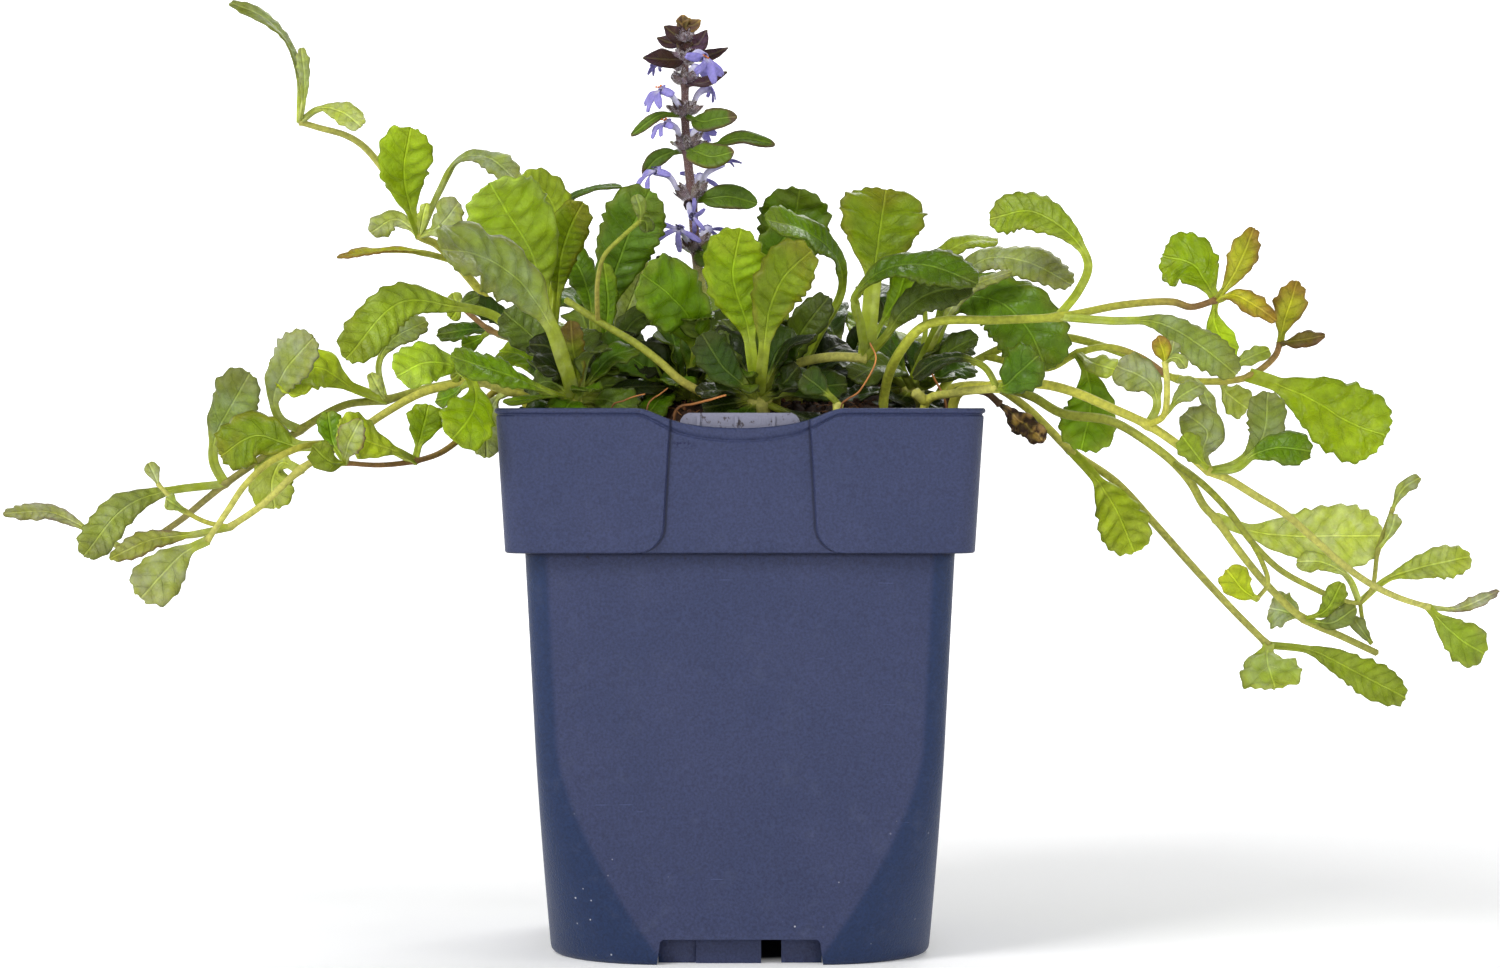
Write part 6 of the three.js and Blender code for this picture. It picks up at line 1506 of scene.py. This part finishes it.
def bevel_edges(target):
    """Rounds the target's sharp edges"""
    modifier = target.modifiers.new('edge', 'BEVEL')
    modifier.width = BEVEL * MM
    modifier.segments = 2
    modifier.limit_method = 'ANGLE'
    modifier.angle_limit = math.radians(BEVEL_ANGLE)
    apply_modifiers(target)


def body_rings():
    """From the floor's underside down and out round the foot, up the wall, and down inside to the floor"""
    inner_half = FOOT_HALF - FOOT_RING
    inner_corner = body_corner(0) - FOOT_RING
    levels = np.concatenate([np.linspace(2, 50, 17), np.linspace(56, COLLAR_BOTTOM + WALL, 7)])
    rings = [
        pot_ring(FLOOR_UNDER, inner_half, inner_corner),
        pot_ring(0.4, inner_half, inner_corner),
        pot_ring(0, inner_half + 0.4, inner_corner),
        pot_ring(0, FOOT_HALF - 1.1, body_corner(0) - 1.1),
        pot_ring(0.3, FOOT_HALF - 0.55, body_corner(0) - 0.5),
        pot_ring(1.0, FOOT_HALF - 0.1, body_corner(1) - 0.1),
    ]
    rings += [pot_ring(z, body_half(z), body_corner(z)) for z in levels]
    inside = np.concatenate([levels[::-1][:-2], [FLOOR_TOP]])
    inside = inside[inside >= FLOOR_TOP]
    return rings + [pot_ring(z, body_half(z) - WALL, body_corner(z) - WALL) for z in inside]


def collar_rings():
    """From the shoulder out under the collar, up to its lip and bead, and down inside"""
    def outer(z, out, dip=0.0):
        return pot_ring(z, collar_half(z) + out, COLLAR_CORNER, cheek_edge(z), CHEEK, dip)

    def inner(z, out=0.0, dip=0.0):
        return pot_ring(z, collar_half(z) - WALL + out, 3, dip=dip)

    def shoulder(z):
        return pot_ring(z, SHOULDER_HALF - WALL / 2, COLLAR_CORNER)

    rings = [shoulder(COLLAR_BOTTOM)]
    rings += [outer(COLLAR_BOTTOM + up, out) for up, out in COLLAR_FOOT]
    rings += [outer(RIM_HEIGHT - down, out, dip) for down, out, dip in COLLAR_HEAD]
    rings += [inner(RIM_HEIGHT - down, out, dip) for down, out, dip in COLLAR_INSIDE]
    return rings + [inner(COLLAR_BOTTOM + WALL), shoulder(COLLAR_BOTTOM + WALL)]


def make_body(skin):
    """The wall, the floor and the foot, with the notches, slots and drains cut out"""
    body = Batch()
    body.add_stack(body_rings(), [[0, 0, FLOOR_UNDER], [0, 0, FLOOR_TOP]], 0, RING_TINT)
    pot = body.build('pot_fine', [skin])
    cutters = Batch()
    notch = [(-19, -1), (19, -1), (NOTCH_HALF + 0.6, FLOOR_UNDER - 0.6), (NOTCH_HALF, FLOOR_UNDER),
             (-NOTCH_HALF, FLOOR_UNDER), (-NOTCH_HALF - 0.6, FLOOR_UNDER - 0.6)]
    for side in range(4):
        add_block(cutters, plate(notch, NOTCH_DEPTHS), side)
        add_block(cutters, block(*SLOT), side)
        add_block(cutters, drain(), side)
    cut(pot, cutters.build('pot_cutters', []))
    return pot


def make_collar(skin):
    """The collar with its rim, the label tongue inside it, and the feet below the floor"""
    rings = collar_rings()
    size = len(rings[0])
    collar = Batch()
    loop = grid_faces(len(rings) + 1, size, closed=True) % (len(rings) * size)
    collar.add(np.concatenate(rings), [loop], 0, RING_TINT)
    for side in range(4):
        for x, y in FEET:
            add_block(collar, block(x, y, (0, FOOT_RISE)), side)
    right = [(TONGUE_HALF, TONGUE_FOOT)]
    right += [(TONGUE_HALF - across, TONGUE_TOP - down) for across, down in TONGUE_ROUND]
    left = [(-x, z) for x, z in right[::-1]]
    add_block(collar, plate(left[-1:] + right + left[:-1], TONGUE_DEPTHS))
    add_block(collar, block(*TONGUE_LEDGE))
    for x in TONGUE_RIBS:
        add_block(collar, block((x - RIB_HALF, x + RIB_HALF), RIB_DEPTHS, (102, TONGUE_TOP - 0.8)))
    return collar.build('pot_collar', [skin])


def make_pot(skin):
    """The body and the collar as one piece"""
    pot = make_body(skin)
    collar = make_collar(skin)
    bevel_edges(pot)
    bevel_edges(collar)
    with bpy.context.temp_override(active_object=pot, selected_editable_objects=[pot, collar]):
        bpy.ops.object.join()
    pot.data.set_sharp_from_angle(angle=math.radians(SHARP_ANGLE))
    stand_for(pot, 'pot')


# The soil, and the pot's inside that it keeps within, level by level
SOIL_EDGE = 52.3
SOIL_STEPS = 110
SOIL_CORNER = 2.6
SOIL_LEVELS = ((97, 51.4), (95.2, 47.0), (60, 45.0), (30, 43.4), (8, 39))
SOIL_BOTTOM = 8
TONGUE_SOIL = 103
TONGUE_SOIL_HALF = 14.4
TONGUE_SOIL_BACK = -48.3
PLACE_LIMIT = 50.5
SOIL_SEED = 90
PEAT = srgb(58, 38, 26)
RUSTY_CRUMB = srgb(124, 82, 50)
FIBRE = srgb(150, 104, 62)
CRUMBS = 1500
RUSTY_SHARE = 0.1
FIBRES = 320
FIBRE_LIMIT = 51

# An icosahedron: its corners, all at distance 1 from its middle, and its faces
GOLDEN = (1 + 5 ** 0.5) / 2
CRUMB_CORNERS = unit(np.array([
    [-1, GOLDEN, 0], [1, GOLDEN, 0], [-1, -GOLDEN, 0], [1, -GOLDEN, 0],
    [0, -1, GOLDEN], [0, 1, GOLDEN], [0, -1, -GOLDEN], [0, 1, -GOLDEN],
    [GOLDEN, 0, -1], [GOLDEN, 0, 1], [-GOLDEN, 0, -1], [-GOLDEN, 0, 1]]))
CRUMB_FACES = np.array([
    [0, 11, 5], [0, 5, 1], [0, 1, 7], [0, 7, 10], [0, 10, 11], [1, 5, 9], [5, 11, 4], [11, 10, 2],
    [10, 7, 6], [7, 1, 8], [3, 9, 4], [3, 4, 2], [3, 2, 6], [3, 6, 8], [3, 8, 9], [4, 9, 5],
    [2, 4, 11], [6, 2, 10], [8, 6, 7], [9, 8, 1]])


def soil_surface(x, y):
    """The soil's height with its roughness"""
    points = np.stack([x, y, 0 * x], axis=-1)
    rough = 0.7 * ripple(points, 4.5, 11) + 0.45 * ripple(points, 1.7, 12)
    return soil_height(x, y) + rough - 0.3


def soil_side(edge, level, half):
    """The edge of the soil's top, brought in to the pot's inside at a level below it"""
    limit = half - 0.25 * body_corner(level)
    flat = edge[:, :2] * half / SOIL_EDGE
    far = np.abs(flat).sum(axis=1, keepdims=True) / (2 * limit)
    return np.hstack([flat / np.maximum(1, far), np.full((len(edge), 1), level)])


def make_soil(skin, straw_skin):
    """The soil with its rough top, its sides within the pot, its crumbs and its root litter"""
    batch = Batch()
    draws = np.random.default_rng(SOIL_SEED)
    steps = np.linspace(-1, 1, SOIL_STEPS) * SOIL_EDGE
    x, y = np.meshgrid(steps, steps)
    over = np.maximum(0, np.minimum(np.abs(x), np.abs(y)) - (SOIL_EDGE - SOIL_CORNER)) * 0.4
    x, y = x - np.sign(x) * over, y - np.sign(y) * over
    top = np.stack([x, y, np.where(by_tongue(x, y), TONGUE_SOIL, soil_surface(x, y))], axis=-1)
    batch.add(top, [grid_faces(SOIL_STEPS, SOIL_STEPS)], 0, PEAT)
    edge = np.concatenate([top[0, :-1], top[:-1, -1], top[-1, ::-1][:-1], top[::-1, 0][:-1]])
    rings = [edge] + [soil_side(edge, level, half) for level, half in SOIL_LEVELS]
    batch.add(np.vstack([*rings, [0, 0, SOIL_BOTTOM]]),
              [grid_faces(len(rings), len(edge), closed=True, flip=True)], 0, PEAT)
    add_crumbs(batch, draws)
    add_fibres(batch, draws)
    finish_piece(batch, 'soil', 'peat_soil', skin, straw_skin)


def by_tongue(x, y, more_half=0.0, more_back=0.0):
    """Whether a place is in the gap that the soil leaves at the tongue, or so much beside and behind it"""
    return (np.abs(x) < TONGUE_SOIL_HALF + more_half) & (y < TONGUE_SOIL_BACK + more_back)


def free_places(draws, count):
    """Random places on the soil, away from the tongue and the walls"""
    places = draws.uniform(-PLACE_LIMIT, PLACE_LIMIT, (count * 2, 2))
    return places[~by_tongue(*places.T, 1.1, 1.8)][:count]


def add_crumbs(batch, draws):
    """Lumps of peat, some of them rusty"""
    for x, y in free_places(draws, CRUMBS):
        radius = draws.uniform(0.3, 0.8) * draws.choice([1, 1, 1.7])
        shape = CRUMB_CORNERS * draws.uniform(0.6, 1.25, (12, 1)) * draws.uniform(0.6, 1.2, 3) * radius
        z = soil_surface(np.array([x]), np.array([y]))[0] + radius * 0.25
        tint = PEAT * draws.uniform(0.5, 1.7)
        if draws.uniform() < RUSTY_SHARE:
            tint = RUSTY_CRUMB * draws.uniform(0.6, 1.1)
        batch.add(shape + [x, y, z], [CRUMB_FACES], 0, tint)


def add_fibres(batch, draws):
    """Root litter: thin bent strands that lie on the soil"""
    for x, y in free_places(draws, FIBRES):
        length = draws.uniform(2.5, 9)
        angle = draws.uniform(0, 2 * math.pi)
        turn = draws.uniform(-0.9, 0.9)
        steps = np.linspace(-0.5, 0.5, 7)
        xs = x + length * steps * np.cos(angle + turn * steps)
        ys = y + length * steps * np.sin(angle + turn * steps)
        xs, ys = np.clip([xs, ys], -FIBRE_LIMIT, FIBRE_LIMIT)
        if np.any(by_tongue(xs, ys, 0.6, 0.8)):
            continue
        zs = soil_surface(xs, ys) + 0.35 + draws.uniform(0, 1.3) * (0.25 - steps ** 2)
        radius = draws.uniform(0.07, 0.2)
        tint = FIBRE * draws.uniform(0.35, 1.1)
        thread(batch, np.stack([xs, ys, zs], axis=-1), np.full(7, radius), tint, 5)


# Materials

class Value:
    """A shader node's output, which can be added to, taken from, multiplied and made positive"""

    def __init__(self, shading, socket):
        self.shading = shading
        self.socket = socket

    def __add__(self, other):
        return self.shading.math('ADD', self, other)

    def __sub__(self, other):
        return self.shading.math('SUBTRACT', self, other)

    def __mul__(self, other):
        return self.shading.math('MULTIPLY', self, other)

    def __abs__(self):
        return self.shading.math('ABSOLUTE', self)


class Shading:
    """A material's nodes, with short calls for the kinds that are used here"""

    def __init__(self, name):
        self.material = bpy.data.materials.new(name)
        self.material.use_nodes = True
        self.tree = self.material.node_tree
        self.shader = self.tree.nodes['Principled BSDF']

    def put(self, socket, value):
        """Links a value to an input, or writes it there"""
        if isinstance(value, Value):
            self.tree.links.new(value.socket, socket)
        else:
            socket.default_value = value

    def node(self, kind, values, output, **settings):
        """One output of a new node. values holds the node's inputs by name or number."""
        made = self.tree.nodes.new('ShaderNode' + kind)
        for key, value in settings.items():
            setattr(made, key, value)
        for key, value in values.items():
            self.put(made.inputs[key], value)
        return Value(self, made.outputs[output])

    def math(self, operation, *values):
        return self.node('Math', dict(enumerate(values)), 0, operation=operation)

    def most(self, first, second):
        return self.math('MAXIMUM', first, second)

    def ramp(self, value, low, high, start=0.0, end=1.0):
        """A smooth change from start, where the value is low, to end, where it is high"""
        values = {'Value': value, 'From Min': low, 'From Max': high, 'To Min': start, 'To Max': end}
        return self.node('MapRange', values, 'Result', interpolation_type='SMOOTHSTEP')

    def mix(self, share, first, second, blend='MIX'):
        return self.node('Mix', {0: share, 6: first, 7: second}, 2, data_type='RGBA', blend_type=blend)

    def noise(self, place, scale, detail=2.0, roughness=0.5):
        values = {'Vector': place, 'Scale': scale, 'Detail': detail, 'Roughness': roughness}
        return self.node('TexNoise', values, 'Fac')

    def cells(self, place, scale, feature='F1'):
        return self.node('TexVoronoi', {'Vector': place, 'Scale': scale}, 'Distance', feature=feature)

    def layer(self, name, output='Vector'):
        return self.node('Attribute', {}, output, attribute_name=name)

    def parts(self, vector):
        separate = self.tree.nodes.new('ShaderNodeSeparateXYZ')
        self.put(separate.inputs[0], vector)
        return [Value(self, output) for output in separate.outputs]

    def vector(self, operation, output, *values):
        return self.node('VectorMath', dict(enumerate(values)), output, operation=operation)

    def length(self, vector):
        return self.vector('LENGTH', 'Value', vector)

    def scaled(self, colour, factor):
        return self.node('VectorMath', {0: colour, 3: factor}, 0, operation='SCALE')

    def place(self):
        """The place in the object's own space, in millimetres"""
        return self.scaled(self.node('TexCoord', {}, 'Object'), 1 / MM)

    def stretched(self, place, scale, rotation=(0, 0, 0)):
        return self.node('Mapping', {'Vector': place, 'Rotation': rotation, 'Scale': scale}, 0)

    def bump(self, height, distance, strength=1.0):
        values = {'Height': height, 'Distance': distance * MM, 'Strength': strength}
        return self.node('Bump', values, 'Normal')

    def finish(self, colour, roughness, normal, specular, **inputs):
        """The material, with further inputs of its shader by their names in small letters"""
        given = {'Base Color': colour, 'Roughness': roughness, 'Normal': normal,
                 'Specular IOR Level': specular}
        given.update({key.replace('_', ' ').title(): value for key, value in inputs.items()})
        for key, value in given.items():
            self.put(self.shader.inputs[key], value)
        return self.material


def paint(red, green, blue):
    """A screen colour as a material takes it"""
    return (*srgb(red, green, blue), 1)


# Colours. A leaf's tint is multiplied by the deep colour in some parts and by a painted sheen in others.
LEAF_DEEP = (0.95, 0.98, 0.4, 1)
LEAF_PAINTED_SHEEN = (1.4, 1.32, 3.0, 1)
LEAF_VEIN = (0.42, 0.48, 0.12, 1)
POT_SLATE = paint(51, 58, 91)
POT_BLOTCH = paint(47, 55, 88)
# Painted shade on the pot's corners
POT_CORNER_SHADE = paint(20, 41, 78)
POT_DUST = paint(104, 110, 134)
# Painted shade in the pot's creases and under its collar
POT_CREASE_SHADE = paint(22, 26, 48)
POT_DIRT = paint(34, 30, 34)
POT_SCUFF = paint(16, 26, 62)
POT_SPOT = paint(196, 200, 210)
POT_SCRATCH = paint(98, 114, 166)
TONGUE_COLOUR = paint(148, 148, 166)
TONGUE_CRUMB = paint(52, 36, 28)
SOIL_RUST = paint(98, 62, 38)
FLOOR_LIGHT = (0.93, 0.93, 0.93, 1)
FLOOR_PALE = (0.9, 0.9, 0.9, 1)
# Painted shadow under the pot
FLOOR_PAINTED_SHADOW = (0.06, 0.06, 0.07, 1)
WHITE = (1, 1, 1, 1)

# Where the pot's dirt, its tongue's colour and its spots begin or end, as two heights, depths or distances
DIRT_RISE = (90.6, 93.4)
DIRT_END = (94, 93.6)
RIM_DIRT_RISE = (117, 125)
TONGUE_FRONT = (-50.9, -50.6)
TONGUE_BACK = (-48.2, -48.6)
TONGUE_START = (100, 101)
TONGUE_SIDE = (14.6, 14.2)
SPOT_FADE = (40, 12)
SCUFF_PLACE = (-12.8, -53.6, 118.2)
SCUFF_SHAPE = (0.3, 0.5, 0.8)


def leaf_material():
    """Veins, a painted sheen in patches, a darker fringe and specks over the tint of each leaf"""
    s = Shading('leaf')
    tint = s.layer('tint', 'Color')
    place = s.layer('place')
    edge, phase, half = s.parts(s.layer('vein'))
    gloss, face, blade_part = s.parts(s.layer('skin'))
    offset = abs(edge) * half
    midrib = s.ramp(offset, 0.12, 0.42, 1, 0)
    wander = s.noise(place, 0.3, 1) * 0.5 + phase
    nearest = abs(s.math('FRACT', wander) - 0.5)
    side_vein = s.ramp(nearest, 0.04, 0.0, 0, 1) * s.ramp(offset, 7, 1, 0.3, 0.75)
    mesh = s.cells(place, 0.7, 'DISTANCE_TO_EDGE')
    lines = s.most(s.most(midrib, side_vein), s.ramp(mesh, 0.06, 0.0, 0, 0.14)) * blade_part
    mottle = s.ramp(s.noise(place, 0.35, 4, 0.6), 0.25, 0.75, 0.8, 1.2)
    # Painted shade: darker along the side veins, where the quilted blade dips, lighter between them
    between = s.ramp(nearest, 0.0, 0.42, 0.94, 1.03)
    colour = s.scaled(s.scaled(tint, mottle), (between - 1.0) * blade_part + 1.0)
    # Painted sheen: pale patches that stand in for the gloss of the leaves
    painted_sheen = s.ramp(s.noise(place, 0.24, 3, 0.6), 0.35, 0.75, 0.05, 0.5)
    deepened = s.mix(1.0, colour, LEAF_DEEP, 'MULTIPLY')
    colour = s.mix(painted_sheen, deepened, s.mix(1.0, colour, LEAF_PAINTED_SHEEN, 'MULTIPLY'))
    pale = s.mix(0.12, s.scaled(colour, 1.6), LEAF_VEIN)
    colour = s.mix(lines * 0.8, colour, pale)
    fringe = s.ramp(abs(edge), 0.93, 0.99) * blade_part
    colour = s.mix(fringe * 0.45, colour, s.scaled(colour, 0.55))
    specks = s.ramp(s.noise(place, 1.7, 3, 0.7), 0.66, 0.8, 0, 0.5)
    colour = s.mix(specks, colour, s.scaled(colour, 0.5))
    rough = s.noise(place, 1.1, 2) * 0.22 + (s.ramp(gloss, 0.0, 1.0, 0.55, 0.28) - 0.06)
    relief = s.noise(place, 3.0, 3, 0.6) * 0.2 + s.ramp(mesh, 0.0, 0.35, 0, 0.14) - lines * face
    return s.finish(colour, rough, s.bump(relief, 0.28), 0.2, subsurface_weight=0.25,
                    subsurface_radius=(0.8, 1.0, 0.1), subsurface_scale=0.7 * MM)


def stem_material():
    """Streaks and dark flecks over the tint of each stem"""
    s = Shading('stem')
    place = s.place()
    streaks = s.ramp(s.noise(place, 0.9, 3, 0.6), 0.25, 0.75, 0.76, 1.24)
    colour = s.scaled(s.layer('tint', 'Color'), streaks)
    flecks = s.ramp(s.noise(place, 3.1, 2), 0.62, 0.75, 0, 0.35)
    colour = s.mix(flecks, colour, s.scaled(colour, 0.55))
    relief = s.noise(place, 2.4, 4, 0.65)
    return s.finish(colour, s.ramp(relief, 0.3, 0.7, 0.42, 0.6), s.bump(relief, 0.16, 0.6), 0.25,
                    subsurface_weight=0.2, subsurface_radius=(0.8, 0.9, 0.3), subsurface_scale=0.7 * MM)


def petal_material():
    """Fine dark lines along each lobe"""
    s = Shading('petal')
    tint = s.layer('tint', 'Color')
    edge = s.parts(s.layer('vein'))[0]
    place = s.place()
    lines = s.ramp(abs(s.math('FRACT', edge * 3.5) - 0.5), 0.16, 0.02, 0, 0.6)
    colour = s.mix(lines, tint, s.scaled(tint, 0.5))
    colour = s.scaled(colour, s.ramp(s.noise(place, 1.2, 3), 0.3, 0.7, 0.88, 1.12))
    relief = s.noise(place, 3.5, 2) - lines * 0.8
    return s.finish(colour, s.ramp(relief, 0.0, 1.0, 0.5, 0.62), s.bump(relief, 0.08, 0.6), 0.35,
                    subsurface_weight=0.3, subsurface_radius=(0.7, 0.6, 1.0), subsurface_scale=0.5 * MM)


def painted_crease_shade(s, aside, z):
    """Painted shade in the pot's creases along its cheeks' edges and, less, under its collar"""
    up = z - COLLAR_BOTTOM
    below = s.most(up * -1 + CHEEK_ROUND, 0.0)
    bend = s.math('SQRT', s.most(below * below * -1 + CHEEK_ROUND ** 2, 0.0))
    lean = (CHEEK_EDGE_HIGH - CHEEK_EDGE_LOW) / (RIM_HEIGHT - COLLAR_BOTTOM)
    edge = up * lean + (CHEEK_EDGE_LOW + CHEEK_ROUND) - bend
    crease_shade = s.ramp(abs(aside - (edge - 0.1)), 0.5, 0.05) * s.ramp(up, 0, 0.6, 0, 0.75)
    ledge_shade = s.ramp(up, -1.2, -0.2) * s.ramp(up, 0.4, 0)
    return s.most(crease_shade, ledge_shade * 0.7)


def corner_shade_band(s, aside, z):
    """Where the wall below the collar is one of the pot's corners, which get a painted shade"""
    fade = s.math('POWER', s.most(z * (-1 / CHAMFER_TOP) + 1.0, 0.0), CHAMFER_BEND)
    corner = fade * CHAMFER + CORNER
    half = z * ((SHOULDER_HALF - FOOT_HALF) / COLLAR_BOTTOM) + FOOT_HALF
    return s.ramp(aside - half + corner, -1.2, 0.6) * s.ramp(z, COLLAR_BOTTOM, COLLAR_BOTTOM - 0.6)


def pot_material():
    """Dark plastic with grain, dust, painted shade, dirt under the collar and at the rim, and scratches"""
    s = Shading('pot_plastic')
    place = s.place()
    x, y, z = s.parts(place)
    aside = s.math('MINIMUM', abs(x), abs(y))
    colour = s.mix(s.ramp(s.noise(place, 0.05, 4, 0.6), 0.3, 0.7), POT_SLATE, POT_BLOTCH)
    # Painted shade: the corners are darker, as they turn from the light
    colour = s.mix(corner_shade_band(s, aside, z) * 0.9, colour, POT_CORNER_SHADE)
    grain = s.noise(place, 1.7, 3, 0.65)
    colour = s.scaled(colour, s.ramp(grain, 0.25, 0.75, 0.74, 1.26))
    dust = s.ramp(s.noise(place, 0.16, 5, 0.7), 0.52, 0.78, 0, 0.14) * s.ramp(z, 130, 0, 0.3, 1)
    colour = s.mix(dust, colour, POT_DUST)
    # Painted shade along the cheeks' creases and under the collar
    colour = s.mix(painted_crease_shade(s, aside, z), colour, POT_CREASE_SHADE)
    dirt = s.ramp(z, *DIRT_RISE) * s.ramp(s.noise(place, 0.5, 4, 0.75), 0.58, 0.68, 0, 0.8)
    rim_dirt = s.ramp(z, *RIM_DIRT_RISE) * s.ramp(s.noise(place, 0.5, 5, 0.75), 0.6, 0.7, 0, 0.5)
    colour = s.mix(s.most(dirt * s.ramp(z, *DIRT_END), rim_dirt), colour, POT_DIRT)
    inside = s.ramp(y, *TONGUE_FRONT) * s.ramp(y, *TONGUE_BACK)
    tongue = inside * (s.ramp(z, *TONGUE_START) * s.ramp(aside, *TONGUE_SIDE))
    colour = s.mix(tongue * 0.75, colour, TONGUE_COLOUR)
    crumbs = tongue * s.ramp(s.noise(place, 0.55, 4, 0.7), 0.57, 0.66, 0, 0.8)
    colour = s.mix(crumbs, colour, TONGUE_CRUMB)
    to_scuff = s.vector('SUBTRACT', 0, place, SCUFF_PLACE)
    near = s.ramp(s.length(s.vector('MULTIPLY', 0, to_scuff, SCUFF_SHAPE)), 1.1, 0.5)
    colour = s.mix(near * s.ramp(s.noise(place, 1.6, 3, 0.7), 0.5, 0.6, 0, 0.9), colour, POT_SCUFF)
    low = s.ramp(z, *SPOT_FADE) * s.ramp(s.noise(place, 0.08, 2), 0.5, 0.6)
    colour = s.mix(s.ramp(s.cells(place, 0.32), 0.09, 0.05, 0, 1) * (low * 0.8), colour, POT_SPOT)
    along = s.stretched(place, (0.05, 0.6, 0.9), (0, 0.7, 0.3))
    scratches = s.ramp(s.noise(along, 1.1, 3, 0.6), 0.72, 0.76, 0, 0.3)
    colour = s.mix(scratches, colour, POT_SCRATCH)
    rough = s.ramp(grain, 0.2, 0.8, 0.36, 0.5) + dust * 0.4
    return s.finish(colour, rough, s.bump(grain - scratches * 0.6, 0.2, 0.9), 0.3)


def soil_material():
    """Peat with grain and rusty patches"""
    s = Shading('peat')
    place = s.place()
    grain = s.noise(place, 0.9, 6, 0.72)
    colour = s.scaled(s.layer('tint', 'Color'), s.ramp(grain, 0.3, 0.7, 0.55, 1.6))
    rust = s.ramp(s.noise(place, 0.45, 4, 0.7), 0.58, 0.7, 0, 0.5)
    colour = s.mix(rust, colour, SOIL_RUST)
    return s.finish(colour, s.ramp(grain, 0.3, 0.7, 0.8, 0.98), s.bump(grain, 0.9), 0.25)


def straw_material():
    """Streaks along each straw"""
    s = Shading('straw')
    streaks = s.noise(s.stretched(s.layer('place'), (0.25, 2.5, 1)), 1.6, 3)
    colour = s.scaled(s.layer('tint', 'Color'), s.ramp(streaks, 0.25, 0.75, 0.6, 1.35))
    return s.finish(colour, s.ramp(streaks, 0.2, 0.8, 0.6, 0.8), s.bump(streaks, 0.12, 0.8), 0.35)


def floor_material():
    """A pale floor that glows a little more the farther it is, with a painted shadow under the pot"""
    s = Shading('pale_floor')
    place = s.place()
    cloud = s.noise(place, 0.004, 3)
    far = s.length(place)
    open_floor = s.ramp(far, 30, 38)
    # Painted shadow: near black where the pot stands, and no glow there
    colour = s.mix(open_floor, FLOOR_PAINTED_SHADOW, s.mix(s.ramp(cloud, 0.2, 0.8), FLOOR_PALE, FLOOR_LIGHT))
    glow = open_floor * s.ramp(far, 250, 1600, 0.15, 0.8)
    return s.finish(colour, s.ramp(cloud, 0.2, 0.8, 0.85, 0.95), s.bump(cloud, 0.01, 0.1), 0.1,
                    emission_color=WHITE, emission_strength=glow)


# The stage: the floor's flat part and its bend up, in millimetres, and the lights in metres
FLAT_FLOOR = (0.001, 300, 900, 1800, 2300)
FLOOR_BEND = 700
WALL_TOP = (3000, 900)
FLOOR_SIDES = 96
FLOOR_TINT = (0.9, 0.9, 0.9)
LIGHT_TARGET = (0, 0, 0.12)
SKY = (0.97, 0.98, 1.0, 1)
SKY_STRENGTH = 0.25


def make_stage():
    """A round floor that curves up into a low wall"""
    profile = [(radius, 0) for radius in FLAT_FLOOR]
    profile += [(FLAT_FLOOR[-1] + FLOOR_BEND * math.sin(a), FLOOR_BEND - FLOOR_BEND * math.cos(a))
                for a in np.linspace(0.15, math.pi / 2, 12)]
    profile.append(WALL_TOP)
    angles = turns(FLOOR_SIDES)
    rings = [np.stack([radius * np.cos(angles), radius * np.sin(angles), z + 0 * angles], axis=-1)
             for radius, z in profile]
    batch = Batch()
    faces = grid_faces(len(rings), FLOOR_SIDES, closed=True, flip=True)
    batch.add(np.concatenate(rings), [faces], 0, FLOOR_TINT)
    batch.build('floor', [floor_material()])


def area_light(name, place, size, power):
    """A soft light that looks at the plant"""
    data = bpy.data.lights.new(name, 'AREA')
    data.shape = 'RECTANGLE'
    data.size, data.size_y = size
    data.energy = power
    lamp = bpy.data.objects.new(name, data)
    lamp.location = place
    lamp.rotation_euler = (Vector(LIGHT_TARGET) - Vector(place)).to_track_quat('-Z', 'Y').to_euler()
    bpy.context.scene.collection.objects.link(lamp)


def make_lights():
    """Soft light from the front left, with weaker light from the right and from behind"""
    area_light('key', (-0.85, -0.95, 1.05), (0.6, 0.6), 15)
    area_light('fill', (1.25, -0.7, 0.8), (0.8, 0.8), 4)
    area_light('back', (0.35, 1.2, 1.2), (0.9, 0.6), 12)
    world = bpy.data.worlds.new('studio')
    world.use_nodes = True
    sky = world.node_tree.nodes['Background'].inputs
    sky['Color'].default_value = SKY
    sky['Strength'].default_value = SKY_STRENGTH
    bpy.context.scene.world = world
    bpy.context.scene.view_settings.view_transform = 'Standard'


# Making
make_stage()
make_lights()
leaf_skin = leaf_material()
stem_skin = stem_material()
petal_skin = petal_material()
straw_skin = straw_material()
for plant in PLANTS:
    grow(*plant, leaf_skin, stem_skin)
make_spike(leaf_skin, stem_skin)
for number, (whorl, *places) in enumerate(FLOWERS, 1):
    make_corolla(number, whorl, places, petal_skin, stem_skin)
for number, (radius, *way) in enumerate(STRAWS, 1):
    make_straw(number, radius, way, straw_skin)
make_pot(pot_material())
make_soil(soil_material(), straw_skin)
